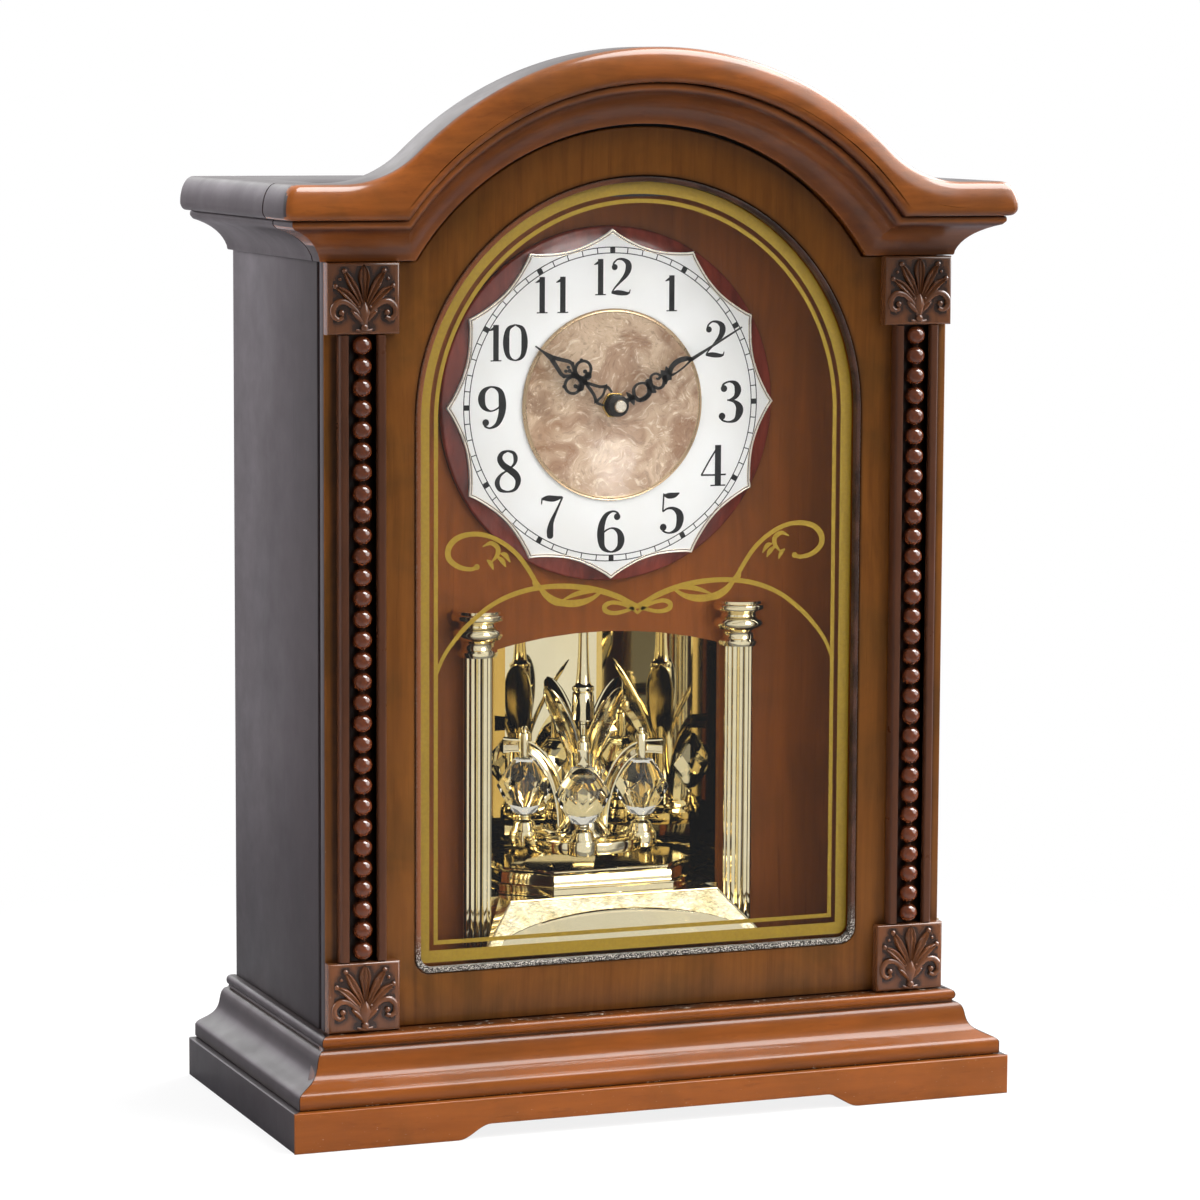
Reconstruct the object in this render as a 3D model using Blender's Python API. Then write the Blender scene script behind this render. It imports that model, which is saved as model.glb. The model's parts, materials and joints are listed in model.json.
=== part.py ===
# Arched mantel clock with a glazed door, a quartz movement and a rotating pendulum.
# Metres, +Z up, front towards -Y, right-hand side towards +X.
# The origin is the centre of the footprint, on the surface that the clock stands on.

from math import asin, atan2, cos, pi, radians, sin, sqrt, tan

import bmesh
import bpy
from mathutils import Matrix, Vector

# Overall sizes
CASE_WIDTH = 0.270
GAP = 0.0003
OVERRUN = 0.004
SMOOTH_ANGLE = radians(35)

# Base
BASE_PROJECTION = 0.021
PLINTH_HEIGHT = 0.0163
RAIL_THICKNESS = 0.012
BRACKET_HALF_SPAN = 0.0875
BRACKET_HEIGHT = 0.0058
BRACKET_RAMP = 0.0140
MOULDING_TOP = 0.042
MOULDING_BACKSET = 0.0083
BASE_BOARD_THICKNESS = 0.010

# Carcase
SIDE_THICKNESS = 0.009
DOOR_THICKNESS = 0.005
DOOR_GAP = 0.0036
ROOF_THICKNESS = 0.006
BACK_RECESS = 0.004
BACK_THICKNESS = 0.004
BACK_CLEARANCE = 0.0003
CHAMBER_REAR_SPACE = 0.0100

# Cornice
EAVE_RISE = 0.0615
CORNICE_HEIGHT = 0.0305
CORNICE_PROJECTION = 0.0225
CORNICE_LEDGE = 0.002
CORNICE_BACKSET = 0.0065
CORNICE_SEAM = 0.0013
COVE_HEIGHT = 0.0129
COVE_REACH = 0.0150
FILLET_HEIGHT = 0.0036
FILLET_STEP = 0.0013
NOSE_INSET = 0.0027
NOSE_TOP_RADIUS = 0.0048
NOSE_FOOT_RADIUS = 0.0030
NOSE_REAR_RADIUS = 0.0015
CORNER_RADIUS = 0.0035
ARCH_STILE = 0.0183
REVERSE_RADIUS = 0.045
BACKING_THICKNESS = 0.003

# Door
DOOR_FOOT_CLEARANCE = 0.0003
DOOR_ARCH_CLEARANCE = 0.0011
DOOR_STILE = 0.0380
DOOR_RAIL = 0.0210
OPENING_CORNER_RADIUS = 0.0065
OPENING_ARCH_DROP = 0.0025
BEAD_WIDTH = 0.0021
BEAD_PROUD = 0.0006
GLASS_SETBACK = 0.0028
GLASS_THICKNESS = 0.0020
BLOCK_SIZE = 0.0300
BLOCK_HEIGHT = 0.0282
BLOCK_PROUD = 0.0053
BLOCK_BEVEL = 0.0006
PILASTER_WIDTH = 0.0202
PILASTER_PROUD = 0.0048
STRIP_WIDTH = 0.0042
CHANNEL_PROUD = 0.0016
PEARL_RADIUS = 0.00315
PEARL_NECK_RADIUS = 0.0016
PEARL_RISE = 0.0016
PEARL_COUNT = 30

# Door hinges and catch
HINGE_AXIS_OUT = 0.0020
PIN_RADIUS = 0.0008
PIN_CLEARANCE = 0.0003
BARREL_RADIUS = 0.0017
LEAF_THICKNESS = 0.0008
LEAF_REACH = 0.0125
LEAF_HEIGHT = 0.026
HINGE_MARGIN = 0.0015
MAGNET_WIDTH = 0.012
MAGNET_DEPTH = 0.0135
MAGNET_HEIGHT = 0.016
STRIKE_THICKNESS = 0.0009
STRIKE_MARGIN = 0.002

# Dial board and dial
BOARD_SETBACK = 0.042
BOARD_THICKNESS = 0.003
DIAL_RADIUS = 0.072
DIAL_VALLEY_DEPTH = 0.0062
DIAL_POINTS = 12
DIAL_THICKNESS = 0.0014
RING_MARGIN = 0.0012
RING_BORE = 0.040
RING_THICKNESS = 0.0056
RING_BEVEL = 0.0020
DISC_RADIUS = 0.0395
DISC_THICKNESS = 0.0008
DISC_RIM = 0.0012
DISC_RIM_HEIGHT = 0.0004

# Movement
MOVEMENT_WIDTH = 0.056
MOVEMENT_ABOVE = 0.018
MOVEMENT_BELOW = 0.0385
MOVEMENT_DEPTH = 0.0150
MOVEMENT_WALL = 0.0015
MOVEMENT_COVER_THICKNESS = 0.002
GEAR_BAY_BELOW = 0.0200
BUSHING_RADIUS = 0.0042
BUSHING_BORE = 0.0030
BUSHING_REACH = 0.0140
HOUR_PIPE_RADIUS = 0.0026
HOUR_PIPE_BORE = 0.0018
MINUTE_ARBOR_RADIUS = 0.0014
ARBOR_RADIUS = 0.0011
NUT_RADIUS = 0.0056
NUT_THICKNESS = 0.0016
NUT_SIDES = 6
BATTERY_RADIUS = 0.0070
BATTERY_LENGTH = 0.0490
BATTERY_TERMINAL_RADIUS = 0.0026
BATTERY_TERMINAL_LENGTH = 0.0012
KNOB_RADIUS = 0.0060
KNOB_LENGTH = 0.0045
KNOB_STANDOFF = 0.0006
KNOB_RIBS = 16
KNOB_RIB_DEPTH = 0.0005
GEAR_CENTRES = 0.012
DRIVE_MODULE = 0.0005
HOUR_MODULE = 0.00048
MINUTE_TEETH = 12
WHEEL_TEETH = 36
HOUR_PINION_TEETH = 10
HOUR_TEETH = 40
GEAR_THICKNESS = 0.0012
PINION_EXTRA = 0.0004
HOUR_GEAR_SETBACK = 0.0020
DRIVE_GEAR_SETBACK = 0.0042

# Hands
HOUR_HAND_LENGTH = 0.0435
MINUTE_HAND_LENGTH = 0.0628
HAND_THICKNESS = 0.0006
HAND_BOSS_RADIUS = 0.0046
HOUR_HAND_STANDOFF = 0.0045
MINUTE_HAND_STANDOFF = 0.0068
HAND_NUT_RADIUS = 0.0026
HAND_NUT_LENGTH = 0.0018
HOUR_HAND_ANGLE = radians(305)
MINUTE_HAND_ANGLE = radians(60)

# Pendulum chamber
DIAL_SPACE = 0.0215
ALCOVE_SIDE_SPACE = 0.0157
ALCOVE_HEIGHT = 0.1020
ALCOVE_RISE = 0.0068
TRAY_RISE = 0.0185
TRAY_FOOT_RISE = 0.003
TRAY_SHELF_THICKNESS = 0.0038
TRAY_FRONT_SETBACK = 0.016
TRAY_CREST_SETBACK = 0.0285
TRAY_FOOT_FLARE = 0.010
TRAY_CREST_SPACE = 0.006
TRAY_ROOT_SPACE = 0.0045
WALL_THICKNESS = 0.0015
PENDULUM_CLEARANCE = 0.0022
FACET_CLEARANCE = 0.0057
WALL_RISE = 0.0097
COLUMN_RISE = 0.0117
COLUMN_RADIUS = 0.0057
COLUMN_FLUTES = 16
FLUTE_DEPTH = 0.0006
CAPITAL_RADIUS = 0.0092
CAPITAL_HEIGHT = 0.0185
PLINTH_SIDE_SPACE = 0.0075
PLINTH_FRONT_SETBACK = 0.0292
PLINTH_REAR_SPACE = 0.0145
PLINTH_CHAMFER = 0.0178
PLINTH_STEP_HEIGHT = 0.0045
PLINTH_STEP_INSET = 0.0040
PENDULUM_PLINTH_HEIGHT = 0.0105

# Pendulum
PENDULUM_FRONT_SPACE = 0.0249
PENDULUM_REST_TURN = radians(-21)
PLATFORM_LIFT = 0.0040
PLATFORM_HEIGHT = 0.0072
PLATFORM_RADIUS = 0.0262
PLATFORM_LOBE = 0.0034
LOBE_HALF_ANGLE = radians(17)
PLATFORM_BEVEL = 0.0012
CRYSTAL_ORBIT = 0.0246
CRYSTAL_RADIUS = 0.0117
CRYSTAL_LIFT = 0.0182
CRYSTAL_SIDES = 8
FINIAL_FOOT_RADIUS = 0.0052
FINIAL_NECK_RADIUS = 0.0024
HUB_RADIUS = 0.0056
HUB_HEIGHT = 0.0450
ARM_WIDTH = 0.0042
ARM_THICKNESS = 0.0034
ARM_RISE = 0.0340
ARM_FOOT_LIFT = 0.0055
ARM_END_MARGIN = 0.0023
ARM_INNER = 0.0072
ARM_END_LENGTH = 0.0062
ARM_PIN_RADIUS = 0.0013
ARM_PIN_RISE = 0.0040
LEAF_TIP_MARGIN = 0.0141
LEAF_RISE = 0.0405
LEAF_ROOT_DEPTH = 0.0205
LEAF_WIDTH = 0.0080
LEAF_DEPTH = 0.0018
STEM_SHANK_LENGTH = 0.0075
STEM_RING_RISE = 0.0155
STEM_RING_RADIUS = 0.0044
STEM_FOOT_RADIUS = 0.0050
STEM_TOP_RADIUS = 0.0020
STEM_SHANK_RADIUS = 0.0012
DRIVE_HALF_WIDTH = 0.017
DRIVE_REAR_REACH = 0.0193
DRIVE_SPACE = 0.0015
DRIVE_HEIGHT = 0.026
DRIVE_BORE_DEPTH = 0.0110

# Rear hatch
HATCH_HALF_WIDTH = 0.056
HATCH_BELOW_DIAL = 0.076
HATCH_ABOVE_DIAL = 0.048
HATCH_THICKNESS = 0.003
HATCH_CLEARANCE = 0.0006
HATCH_RIDGE_HALF_LENGTH = 0.015
HATCH_RIDGE_WIDTH = 0.003
HATCH_RIDGE_HEIGHT = 0.0018
HATCH_RIDGE_INSET = 0.008
HATCH_BARREL_RADIUS = 0.0013
HATCH_PIN_RADIUS = 0.0005
HATCH_LEAF_HEIGHT = 0.060
HATCH_LEAF_REACH = 0.011
HATCH_LEAF_THICKNESS = 0.0007

# Places worked out from the sizes, as setbacks from the door's face
GLASS_REAR_SETBACK = GLASS_SETBACK + GLASS_THICKNESS
PENDULUM_REACH = CRYSTAL_ORBIT + CRYSTAL_RADIUS
PENDULUM_SETBACK = GLASS_REAR_SETBACK + PENDULUM_FRONT_SPACE + PENDULUM_REACH
WALL_BACK_SETBACK = PENDULUM_SETBACK + PENDULUM_REACH + PENDULUM_CLEARANCE
PLINTH_REAR_SETBACK = WALL_BACK_SETBACK - PLINTH_REAR_SPACE
BACK_SETBACK = WALL_BACK_SETBACK + WALL_THICKNESS + CHAMBER_REAR_SPACE
FACET_REACH = (PENDULUM_REACH + FACET_CLEARANCE) * sqrt(2)
COLUMN_SETBACK = BOARD_SETBACK - GAP - COLUMN_RADIUS

# Depths
OVERALL_DEPTH = BASE_PROJECTION + BLOCK_PROUD + BACK_SETBACK + BACK_THICKNESS + BACK_RECESS
DOOR_FACE = -OVERALL_DEPTH / 2 + BASE_PROJECTION + BLOCK_PROUD
REAR = OVERALL_DEPTH / 2
CASE_FRONT = DOOR_FACE + DOOR_THICKNESS + DOOR_GAP
BASE_FRONT = DOOR_FACE - BLOCK_PROUD
BOARD_FRONT = DOOR_FACE + BOARD_SETBACK
BOARD_REAR = BOARD_FRONT + BOARD_THICKNESS
BACK_OUTER = REAR - BACK_RECESS
BACK_INNER = BACK_OUTER - BACK_THICKNESS
MOVEMENT_FRONT = BOARD_REAR + GAP
PENDULUM_Y = DOOR_FACE + PENDULUM_SETBACK
RING_FRONT = BOARD_FRONT - GAP - RING_THICKNESS
DIAL_FRONT = RING_FRONT - GAP - DIAL_THICKNESS
DISC_FRONT = DIAL_FRONT - GAP - DISC_THICKNESS
HOUR_HAND_FRONT = DISC_FRONT - HOUR_HAND_STANDOFF
MINUTE_HAND_FRONT = DISC_FRONT - MINUTE_HAND_STANDOFF

# Widths
HALF_WIDTH = CASE_WIDTH / 2
OPENING_HALF_WIDTH = HALF_WIDTH - DOOR_STILE
ARCH_RADIUS = OPENING_HALF_WIDTH + ARCH_STILE
RING_RADIUS = DIAL_RADIUS + RING_MARGIN
ALCOVE_HALF_WIDTH = PENDULUM_REACH + ALCOVE_SIDE_SPACE
WALL_BACK_HALF_WIDTH = FACET_REACH - (WALL_BACK_SETBACK - PENDULUM_SETBACK)
COLUMN_X = ALCOVE_HALF_WIDTH + GAP + COLUMN_RADIUS
TRAY_FOOT_HALF_WIDTH = ALCOVE_HALF_WIDTH + TRAY_FOOT_FLARE
TRAY_CREST_HALF_WIDTH = ALCOVE_HALF_WIDTH - TRAY_CREST_SPACE
TRAY_ROOT_HALF_WIDTH = ALCOVE_HALF_WIDTH - TRAY_ROOT_SPACE
PLINTH_HALF_WIDTH = ALCOVE_HALF_WIDTH - PLINTH_SIDE_SPACE
ARM_OUTER = PENDULUM_REACH - ARM_END_MARGIN
LEAF_TIP_ORBIT = PENDULUM_REACH - LEAF_TIP_MARGIN

# Heights
BASE_BOARD_BOTTOM = PLINTH_HEIGHT + GAP
BASE_BOARD_TOP = BASE_BOARD_BOTTOM + BASE_BOARD_THICKNESS
OPENING_FOOT = MOULDING_TOP + DOOR_RAIL
TRAY_FOOT = OPENING_FOOT + TRAY_FOOT_RISE
TRAY_TOP = TRAY_FOOT + TRAY_RISE
ALCOVE_SPRING_Z = TRAY_TOP + ALCOVE_HEIGHT
ALCOVE_CROWN_Z = ALCOVE_SPRING_Z + ALCOVE_RISE
WALL_TOP = ALCOVE_CROWN_Z + WALL_RISE
COLUMN_TOP = ALCOVE_CROWN_Z + COLUMN_RISE
ARCH_CENTRE_Z = ALCOVE_CROWN_Z + DIAL_SPACE + RING_RADIUS
OPENING_ARCH_Z = ARCH_CENTRE_Z - OPENING_ARCH_DROP
EAVE_SOFFIT = ARCH_CENTRE_Z + EAVE_RISE
CASE_TOP = EAVE_SOFFIT + CORNICE_HEIGHT
ROOF_BOTTOM = CASE_TOP - ROOF_THICKNESS
HATCH_BOTTOM = ARCH_CENTRE_Z - HATCH_BELOW_DIAL
HATCH_TOP = ARCH_CENTRE_Z + HATCH_ABOVE_DIAL
UPPER_HINGE_Z = EAVE_SOFFIT - HINGE_MARGIN - LEAF_HEIGHT / 2
LOWER_HINGE_Z = MOULDING_TOP + HINGE_MARGIN + LEAF_HEIGHT / 2
MAGNET_Z = (MOULDING_TOP + EAVE_SOFFIT) / 2
PLATFORM_BOTTOM = TRAY_TOP + GAP + PENDULUM_PLINTH_HEIGHT + PLATFORM_LIFT
PLATFORM_TOP = PLATFORM_BOTTOM + PLATFORM_HEIGHT
CRYSTAL_Z = PLATFORM_TOP + CRYSTAL_LIFT
HUB_TOP = PLATFORM_TOP + HUB_HEIGHT
ARM_FOOT = PLATFORM_TOP + ARM_FOOT_LIFT
ARM_TOP = ARM_FOOT + ARM_RISE
ARM_PIN_TOP = ARM_TOP + ARM_PIN_RISE
LEAF_ROOT_Z = HUB_TOP - LEAF_ROOT_DEPTH
LEAF_TIP_Z = LEAF_ROOT_Z + LEAF_RISE
STEM_RING_Z = HUB_TOP + STEM_RING_RISE
DRIVE_BOTTOM = WALL_TOP + DRIVE_SPACE
STEM_TOP = DRIVE_BOTTOM + STEM_SHANK_LENGTH

# Hinge axes
DOOR_HINGE_X = HALF_WIDTH + HINGE_AXIS_OUT
DOOR_HINGE_Y = DOOR_FACE + DOOR_THICKNESS + DOOR_GAP / 2
HATCH_HINGE_X = -HATCH_HALF_WIDTH
HATCH_HINGE_Y = BACK_OUTER + GAP + HATCH_BARREL_RADIUS

# Facet counts
ARC_STEPS = 16
EAVE_STEPS = 6
CORNER_STEPS = 3
ROUND_STEPS = 3
ROUND_SIDES = 24
SMALL_SIDES = 12
PEARL_SIDES = 8


def clear_scene():
    for obj in list(bpy.data.objects):
        bpy.data.objects.remove(obj, do_unlink=True)


def new_material(name, colour, roughness, metallic=0.0):
    material = bpy.data.materials.new(name)
    material.use_nodes = True
    shader = material.node_tree.nodes["Principled BSDF"]
    shader.inputs["Base Color"].default_value = (*colour, 1.0)
    shader.inputs["Roughness"].default_value = roughness
    shader.inputs["Metallic"].default_value = metallic
    material.diffuse_color = (*colour, 1.0)
    return material


def new_axis(name, location, turn=0.0):
    """An empty on a joint's axis, turned about +Z."""
    axis = bpy.data.objects.new(name, None)
    axis.location = location
    axis.rotation_euler = (0.0, 0.0, turn)
    bpy.context.collection.objects.link(axis)
    return axis


def add_object(name, bm, material, smooth=False, axis=None):
    """Make an object from a bmesh in world coordinates; under an axis it keeps that place."""
    bmesh.ops.recalc_face_normals(bm, faces=bm.faces[:])
    mesh = bpy.data.meshes.new(name)
    bm.to_mesh(mesh)
    bm.free()
    mesh.materials.append(material)
    if smooth:
        mesh.shade_smooth()
        mesh.set_sharp_from_angle(angle=SMOOTH_ANGLE)
    obj = bpy.data.objects.new(name, mesh)
    bpy.context.collection.objects.link(obj)
    if axis is not None:
        obj.parent = axis
        obj.matrix_parent_inverse = Matrix.Translation(-axis.location)
    return obj


def add_cutter(name, bm):
    """A tool for a Boolean: drawn as wire and left out of the model."""
    bmesh.ops.recalc_face_normals(bm, faces=bm.faces[:])
    mesh = bpy.data.meshes.new(name)
    bm.to_mesh(mesh)
    bm.free()
    tool = bpy.data.objects.new(name, mesh)
    bpy.context.collection.objects.link(tool)
    tool.hide_render = True
    tool.display_type = "WIRE"
    return tool


def combine(obj, bm, operation):
    """Cut, or join, another closed shape with an object."""
    tool = add_cutter(f"{obj.name}_{operation.lower()}_{len(obj.modifiers)}", bm)
    tool.parent = obj.parent
    tool.matrix_parent_inverse = obj.matrix_parent_inverse
    tool.matrix_basis = obj.matrix_basis
    modifier = obj.modifiers.new(tool.name, "BOOLEAN")
    modifier.object = tool
    modifier.operation = operation
    modifier.solver = "EXACT"


def along_x(u, v, w):
    return Vector((w, u, v))


def along_y(u, v, w):
    return Vector((u, w, v))


def along_z(u, v, w):
    return Vector((u, v, w))


def plate(loops, place, low, high):
    """A flat solid from low to high: the first loop is its outline, the others are holes."""
    bm = bmesh.new()
    edges = []
    for loop in loops:
        verts = [bm.verts.new(place(u, v, low)) for u, v in loop]
        edges += [bm.edges.new((verts[i - 1], verts[i])) for i in range(len(verts))]
    if len(loops) == 1:
        bm.faces.new(bm.verts[:])
    else:
        bmesh.ops.triangle_fill(bm, edges=edges, use_beauty=True)
    grown = bmesh.ops.extrude_face_region(bm, geom=bm.faces[:])["geom"]
    verts = [item for item in grown if isinstance(item, bmesh.types.BMVert)]
    bmesh.ops.translate(bm, verts=verts, vec=place(0, 0, high) - place(0, 0, low))
    return bm


def box(x0, x1, y0, y1, z0, z1):
    return plate([[(x0, y0), (x1, y0), (x1, y1), (x0, y1)]], along_z, z0, z1)


def bridge(loops, capped=True, cap_parts=None):
    """A solid through closed loops of equal count; its end caps may be bent, in flat parts."""
    bm = bmesh.new()
    rings = [[bm.verts.new(point) for point in loop] for loop in loops]
    for ring, following in zip(rings, rings[1:]):
        for i in range(len(ring)):
            bm.faces.new((ring[i - 1], ring[i], following[i], following[i - 1]))
    if capped:
        for ring in (rings[0], rings[-1]):
            for part in cap_parts or [range(len(ring))]:
                bm.faces.new([ring[i] for i in part])
    return bm


def turned(profile, centre, place, sides):
    """A turned solid: profile is (radius, height) from one end of the axis to the other."""
    bm = bmesh.new()
    rings = []
    for radius, height in profile:
        if radius == 0:
            rings.append([bm.verts.new(place(0, 0, height) + centre)])
            continue
        ring = []
        for k in range(sides):
            angle = 2 * pi * k / sides
            ring.append(bm.verts.new(place(radius * cos(angle), radius * sin(angle), height) + centre))
        rings.append(ring)
    for ring, following in zip(rings, rings[1:]):
        for k in range(sides):
            if len(ring) == 1:
                bm.faces.new((ring[0], following[k], following[k - 1]))
            elif len(following) == 1:
                bm.faces.new((ring[k - 1], ring[k], following[0]))
            else:
                bm.faces.new((ring[k - 1], ring[k], following[k], following[k - 1]))
    for ring in (rings[0], rings[-1]):
        if len(ring) > 1:
            bm.faces.new(ring)
    return bm


def tube(outer, inner, low, high, centre, place, sides):
    """A round pipe."""
    return plate([circle(outer, sides), circle(inner, sides)], lambda u, v, w: place(u, v, w) + centre, low, high)


def arc(centre_u, centre_v, radius, start, end, steps):
    """Points on an arc, both ends included; angles from +U towards +V."""
    angles = [start + (end - start) * k / steps for k in range(steps + 1)]
    return [(centre_u + radius * cos(a), centre_v + radius * sin(a)) for a in angles]


def circle(radius, sides):
    return [(radius * cos(2 * pi * k / sides), radius * sin(2 * pi * k / sides)) for k in range(sides)]


def mirrored(points):
    """A closed outline from its right half, listed from the foot to the top."""
    return points + [(-u, v) for u, v in reversed(points) if abs(u) > GAP]


def opening_outline(inset):
    """The arched glass opening, drawn in by an inset."""
    half = OPENING_HALF_WIDTH - inset
    corner = OPENING_CORNER_RADIUS - inset / 2
    foot = OPENING_FOOT + inset
    right = arc(half - corner, foot + corner, corner, -pi / 2, 0, 2 * ROUND_STEPS)
    right += arc(0, OPENING_ARCH_Z, half, 0, pi / 2, ARC_STEPS)
    return mirrored(right)


# Wood, metal, glass and plastic finishes
def make_finishes():
    return {
        "front_wood": new_material("front_wood", (0.33, 0.10, 0.025), 0.32),
        "side_wood": new_material("side_wood", (0.035, 0.028, 0.030), 0.28),
        "carved_wood": new_material("carved_wood", (0.17, 0.060, 0.022), 0.30),
        "board_wood": new_material("board_wood", (0.24, 0.075, 0.020), 0.45),
        "back_board": new_material("back_board", (0.10, 0.060, 0.035), 0.60),
        "bead_black": new_material("bead_black", (0.030, 0.028, 0.026), 0.35),
        "glass": new_material("glass", (0.90, 0.93, 0.92), 0.03),
        "dial_white": new_material("dial_white", (0.86, 0.86, 0.85), 0.35),
        "pearl": new_material("pearl", (0.60, 0.44, 0.33), 0.30),
        "rosewood": new_material("rosewood", (0.18, 0.035, 0.030), 0.20),
        "hand_black": new_material("hand_black", (0.012, 0.012, 0.012), 0.35),
        "gilt": new_material("gilt", (0.86, 0.68, 0.32), 0.14, 1.0),
        "brass": new_material("brass", (0.70, 0.50, 0.20), 0.25, 1.0),
        "crystal": new_material("crystal", (0.95, 0.93, 0.86), 0.02),
        "steel": new_material("steel", (0.55, 0.55, 0.56), 0.30, 1.0),
        "movement_plastic": new_material("movement_plastic", (0.020, 0.020, 0.022), 0.45),
        "gear_plastic": new_material("gear_plastic", (0.75, 0.73, 0.66), 0.45),
        "battery_sleeve": new_material("battery_sleeve", (0.05, 0.12, 0.10), 0.35),
        "magnet": new_material("magnet", (0.06, 0.06, 0.065), 0.50),
    }


# Base
def bracket_outline():
    """The front rail's elevation, with the low bracket cut-out between its two feet."""
    corner = HALF_WIDTH + BASE_PROJECTION
    inner = BRACKET_HALF_SPAN - BRACKET_RAMP
    ramp = []
    for k in range(2 * ROUND_STEPS + 1):
        share = k / (2 * ROUND_STEPS)
        rise = BRACKET_HEIGHT * (1 - cos(pi * share)) / 2
        ramp.append((BRACKET_HALF_SPAN - BRACKET_RAMP * share, rise))
    right = [(inner, BRACKET_HEIGHT)] + ramp[-2::-1] + [(corner, 0), (corner, PLINTH_HEIGHT)]
    return right + [(-u, v) for u, v in reversed(right)]


def make_plinth(finish):
    front = BASE_FRONT - BASE_PROJECTION
    outline = bracket_outline()
    corner = HALF_WIDTH + BASE_PROJECTION
    inner = corner - RAIL_THICKNESS
    face = [Vector((u, front, v)) for u, v in outline]
    rear = []
    for u, v in outline:
        end = abs(u) == corner
        rear.append(Vector((u if not end else inner * u / corner, front + RAIL_THICKNESS, v)))
    add_object("plinth_front_rail", bridge([face, rear]), finish["front_wood"])
    for side, word in ((-1, "left"), (1, "right")):
        outline = [
            (side * corner, front + GAP * sqrt(2)),
            (side * corner, REAR),
            (side * inner, REAR),
            (side * inner, front + RAIL_THICKNESS + GAP * sqrt(2)),
        ]
        rail = plate([outline], along_z, 0, PLINTH_HEIGHT)
        add_object(f"plinth_{word}_rail", rail, finish["side_wood"])


def base_moulding_profile():
    """(projection, height) from the top inner corner down: bead, quirk, ogee and fillet."""
    foot = PLINTH_HEIGHT + GAP
    height = MOULDING_TOP - foot
    bead_shares = ((0.12, 1.0), (0.17, 0.985), (0.20, 0.93), (0.205, 0.88), (0.19, 0.83), (0.165, 0.80))
    ogee_shares = (
        (0.24, 0.79), (0.30, 0.74), (0.335, 0.66), (0.36, 0.56), (0.40, 0.47), (0.47, 0.40),
        (0.57, 0.345), (0.68, 0.305), (0.78, 0.27), (0.84, 0.235), (0.865, 0.20), (0.865, 0.0),
    )
    points = []
    for out_share, height_share in bead_shares + ogee_shares:
        points.append((BASE_PROJECTION * out_share, foot + height * height_share))
    return points


def make_base_mouldings(finish):
    profile = base_moulding_profile()
    foot = PLINTH_HEIGHT + GAP
    backset = DOOR_FACE + MOULDING_BACKSET
    ends = []
    for side in (-1, 1):
        ring = [Vector((side * (HALF_WIDTH + out - GAP), BASE_FRONT - out, z)) for out, z in profile]
        for y, z in ((BASE_FRONT, foot), (backset, foot), (backset, MOULDING_TOP), (BASE_FRONT, MOULDING_TOP)):
            ring.append(Vector((side * (HALF_WIDTH - GAP), y, z)))
        ends.append(ring)
    count = len(profile)
    mitre_and_butt = [[*range(count + 1), count + 3], range(count, count + 4)]
    front = bridge(ends, cap_parts=mitre_and_butt)
    add_object("base_moulding_front", front, finish["front_wood"], smooth=True)
    inner = HALF_WIDTH + GAP
    for side, word in ((-1, "left"), (1, "right")):
        ends = []
        for at_rear in (False, True):
            ring = []
            for out, z in profile + [(0, foot), (0, MOULDING_TOP)]:
                x = max(inner, HALF_WIDTH + out)
                y = REAR if at_rear else BASE_FRONT - out
                ring.append(Vector((side * x, y, z)))
            ends.append(ring)
        add_object(f"base_moulding_{word}", bridge(ends), finish["side_wood"], smooth=True)


# Carcase
def make_carcase(finish):
    floor_front = DOOR_FACE + MOULDING_BACKSET + GAP
    board = box(-HALF_WIDTH, HALF_WIDTH, floor_front, BACK_INNER, BASE_BOARD_BOTTOM, BASE_BOARD_TOP)
    add_object("base_board", board, finish["back_board"])
    for side, word in ((-1, "left"), (1, "right")):
        x0, x1 = sorted((side * (HALF_WIDTH - SIDE_THICKNESS), side * HALF_WIDTH))
        panel = box(x0, x1, CASE_FRONT, REAR, BASE_BOARD_TOP + GAP, ROOF_BOTTOM - GAP)
        add_object(f"{word}_side_panel", panel, finish["side_wood"])
    backing_rear = DOOR_FACE + CORNICE_BACKSET + GAP + BACKING_THICKNESS
    roof = box(-HALF_WIDTH, HALF_WIDTH, backing_rear + GAP, REAR, ROOF_BOTTOM, CASE_TOP)
    add_object("roof_panel", roof, finish["side_wood"])
    outline = top_outline(BACKING_THICKNESS)
    inner = HALF_WIDTH - SIDE_THICKNESS - GAP
    keep = [(u, v) for u, v in outline if abs(u) < inner]
    level = CASE_TOP - BACKING_THICKNESS
    loop = [(-inner, ROOF_BOTTOM), (-inner, level)] + keep + [(inner, level), (inner, ROOF_BOTTOM)]
    backing = plate([loop], along_y, backing_rear - BACKING_THICKNESS, backing_rear)
    add_object("pediment_backing", backing, finish["side_wood"])


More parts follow.
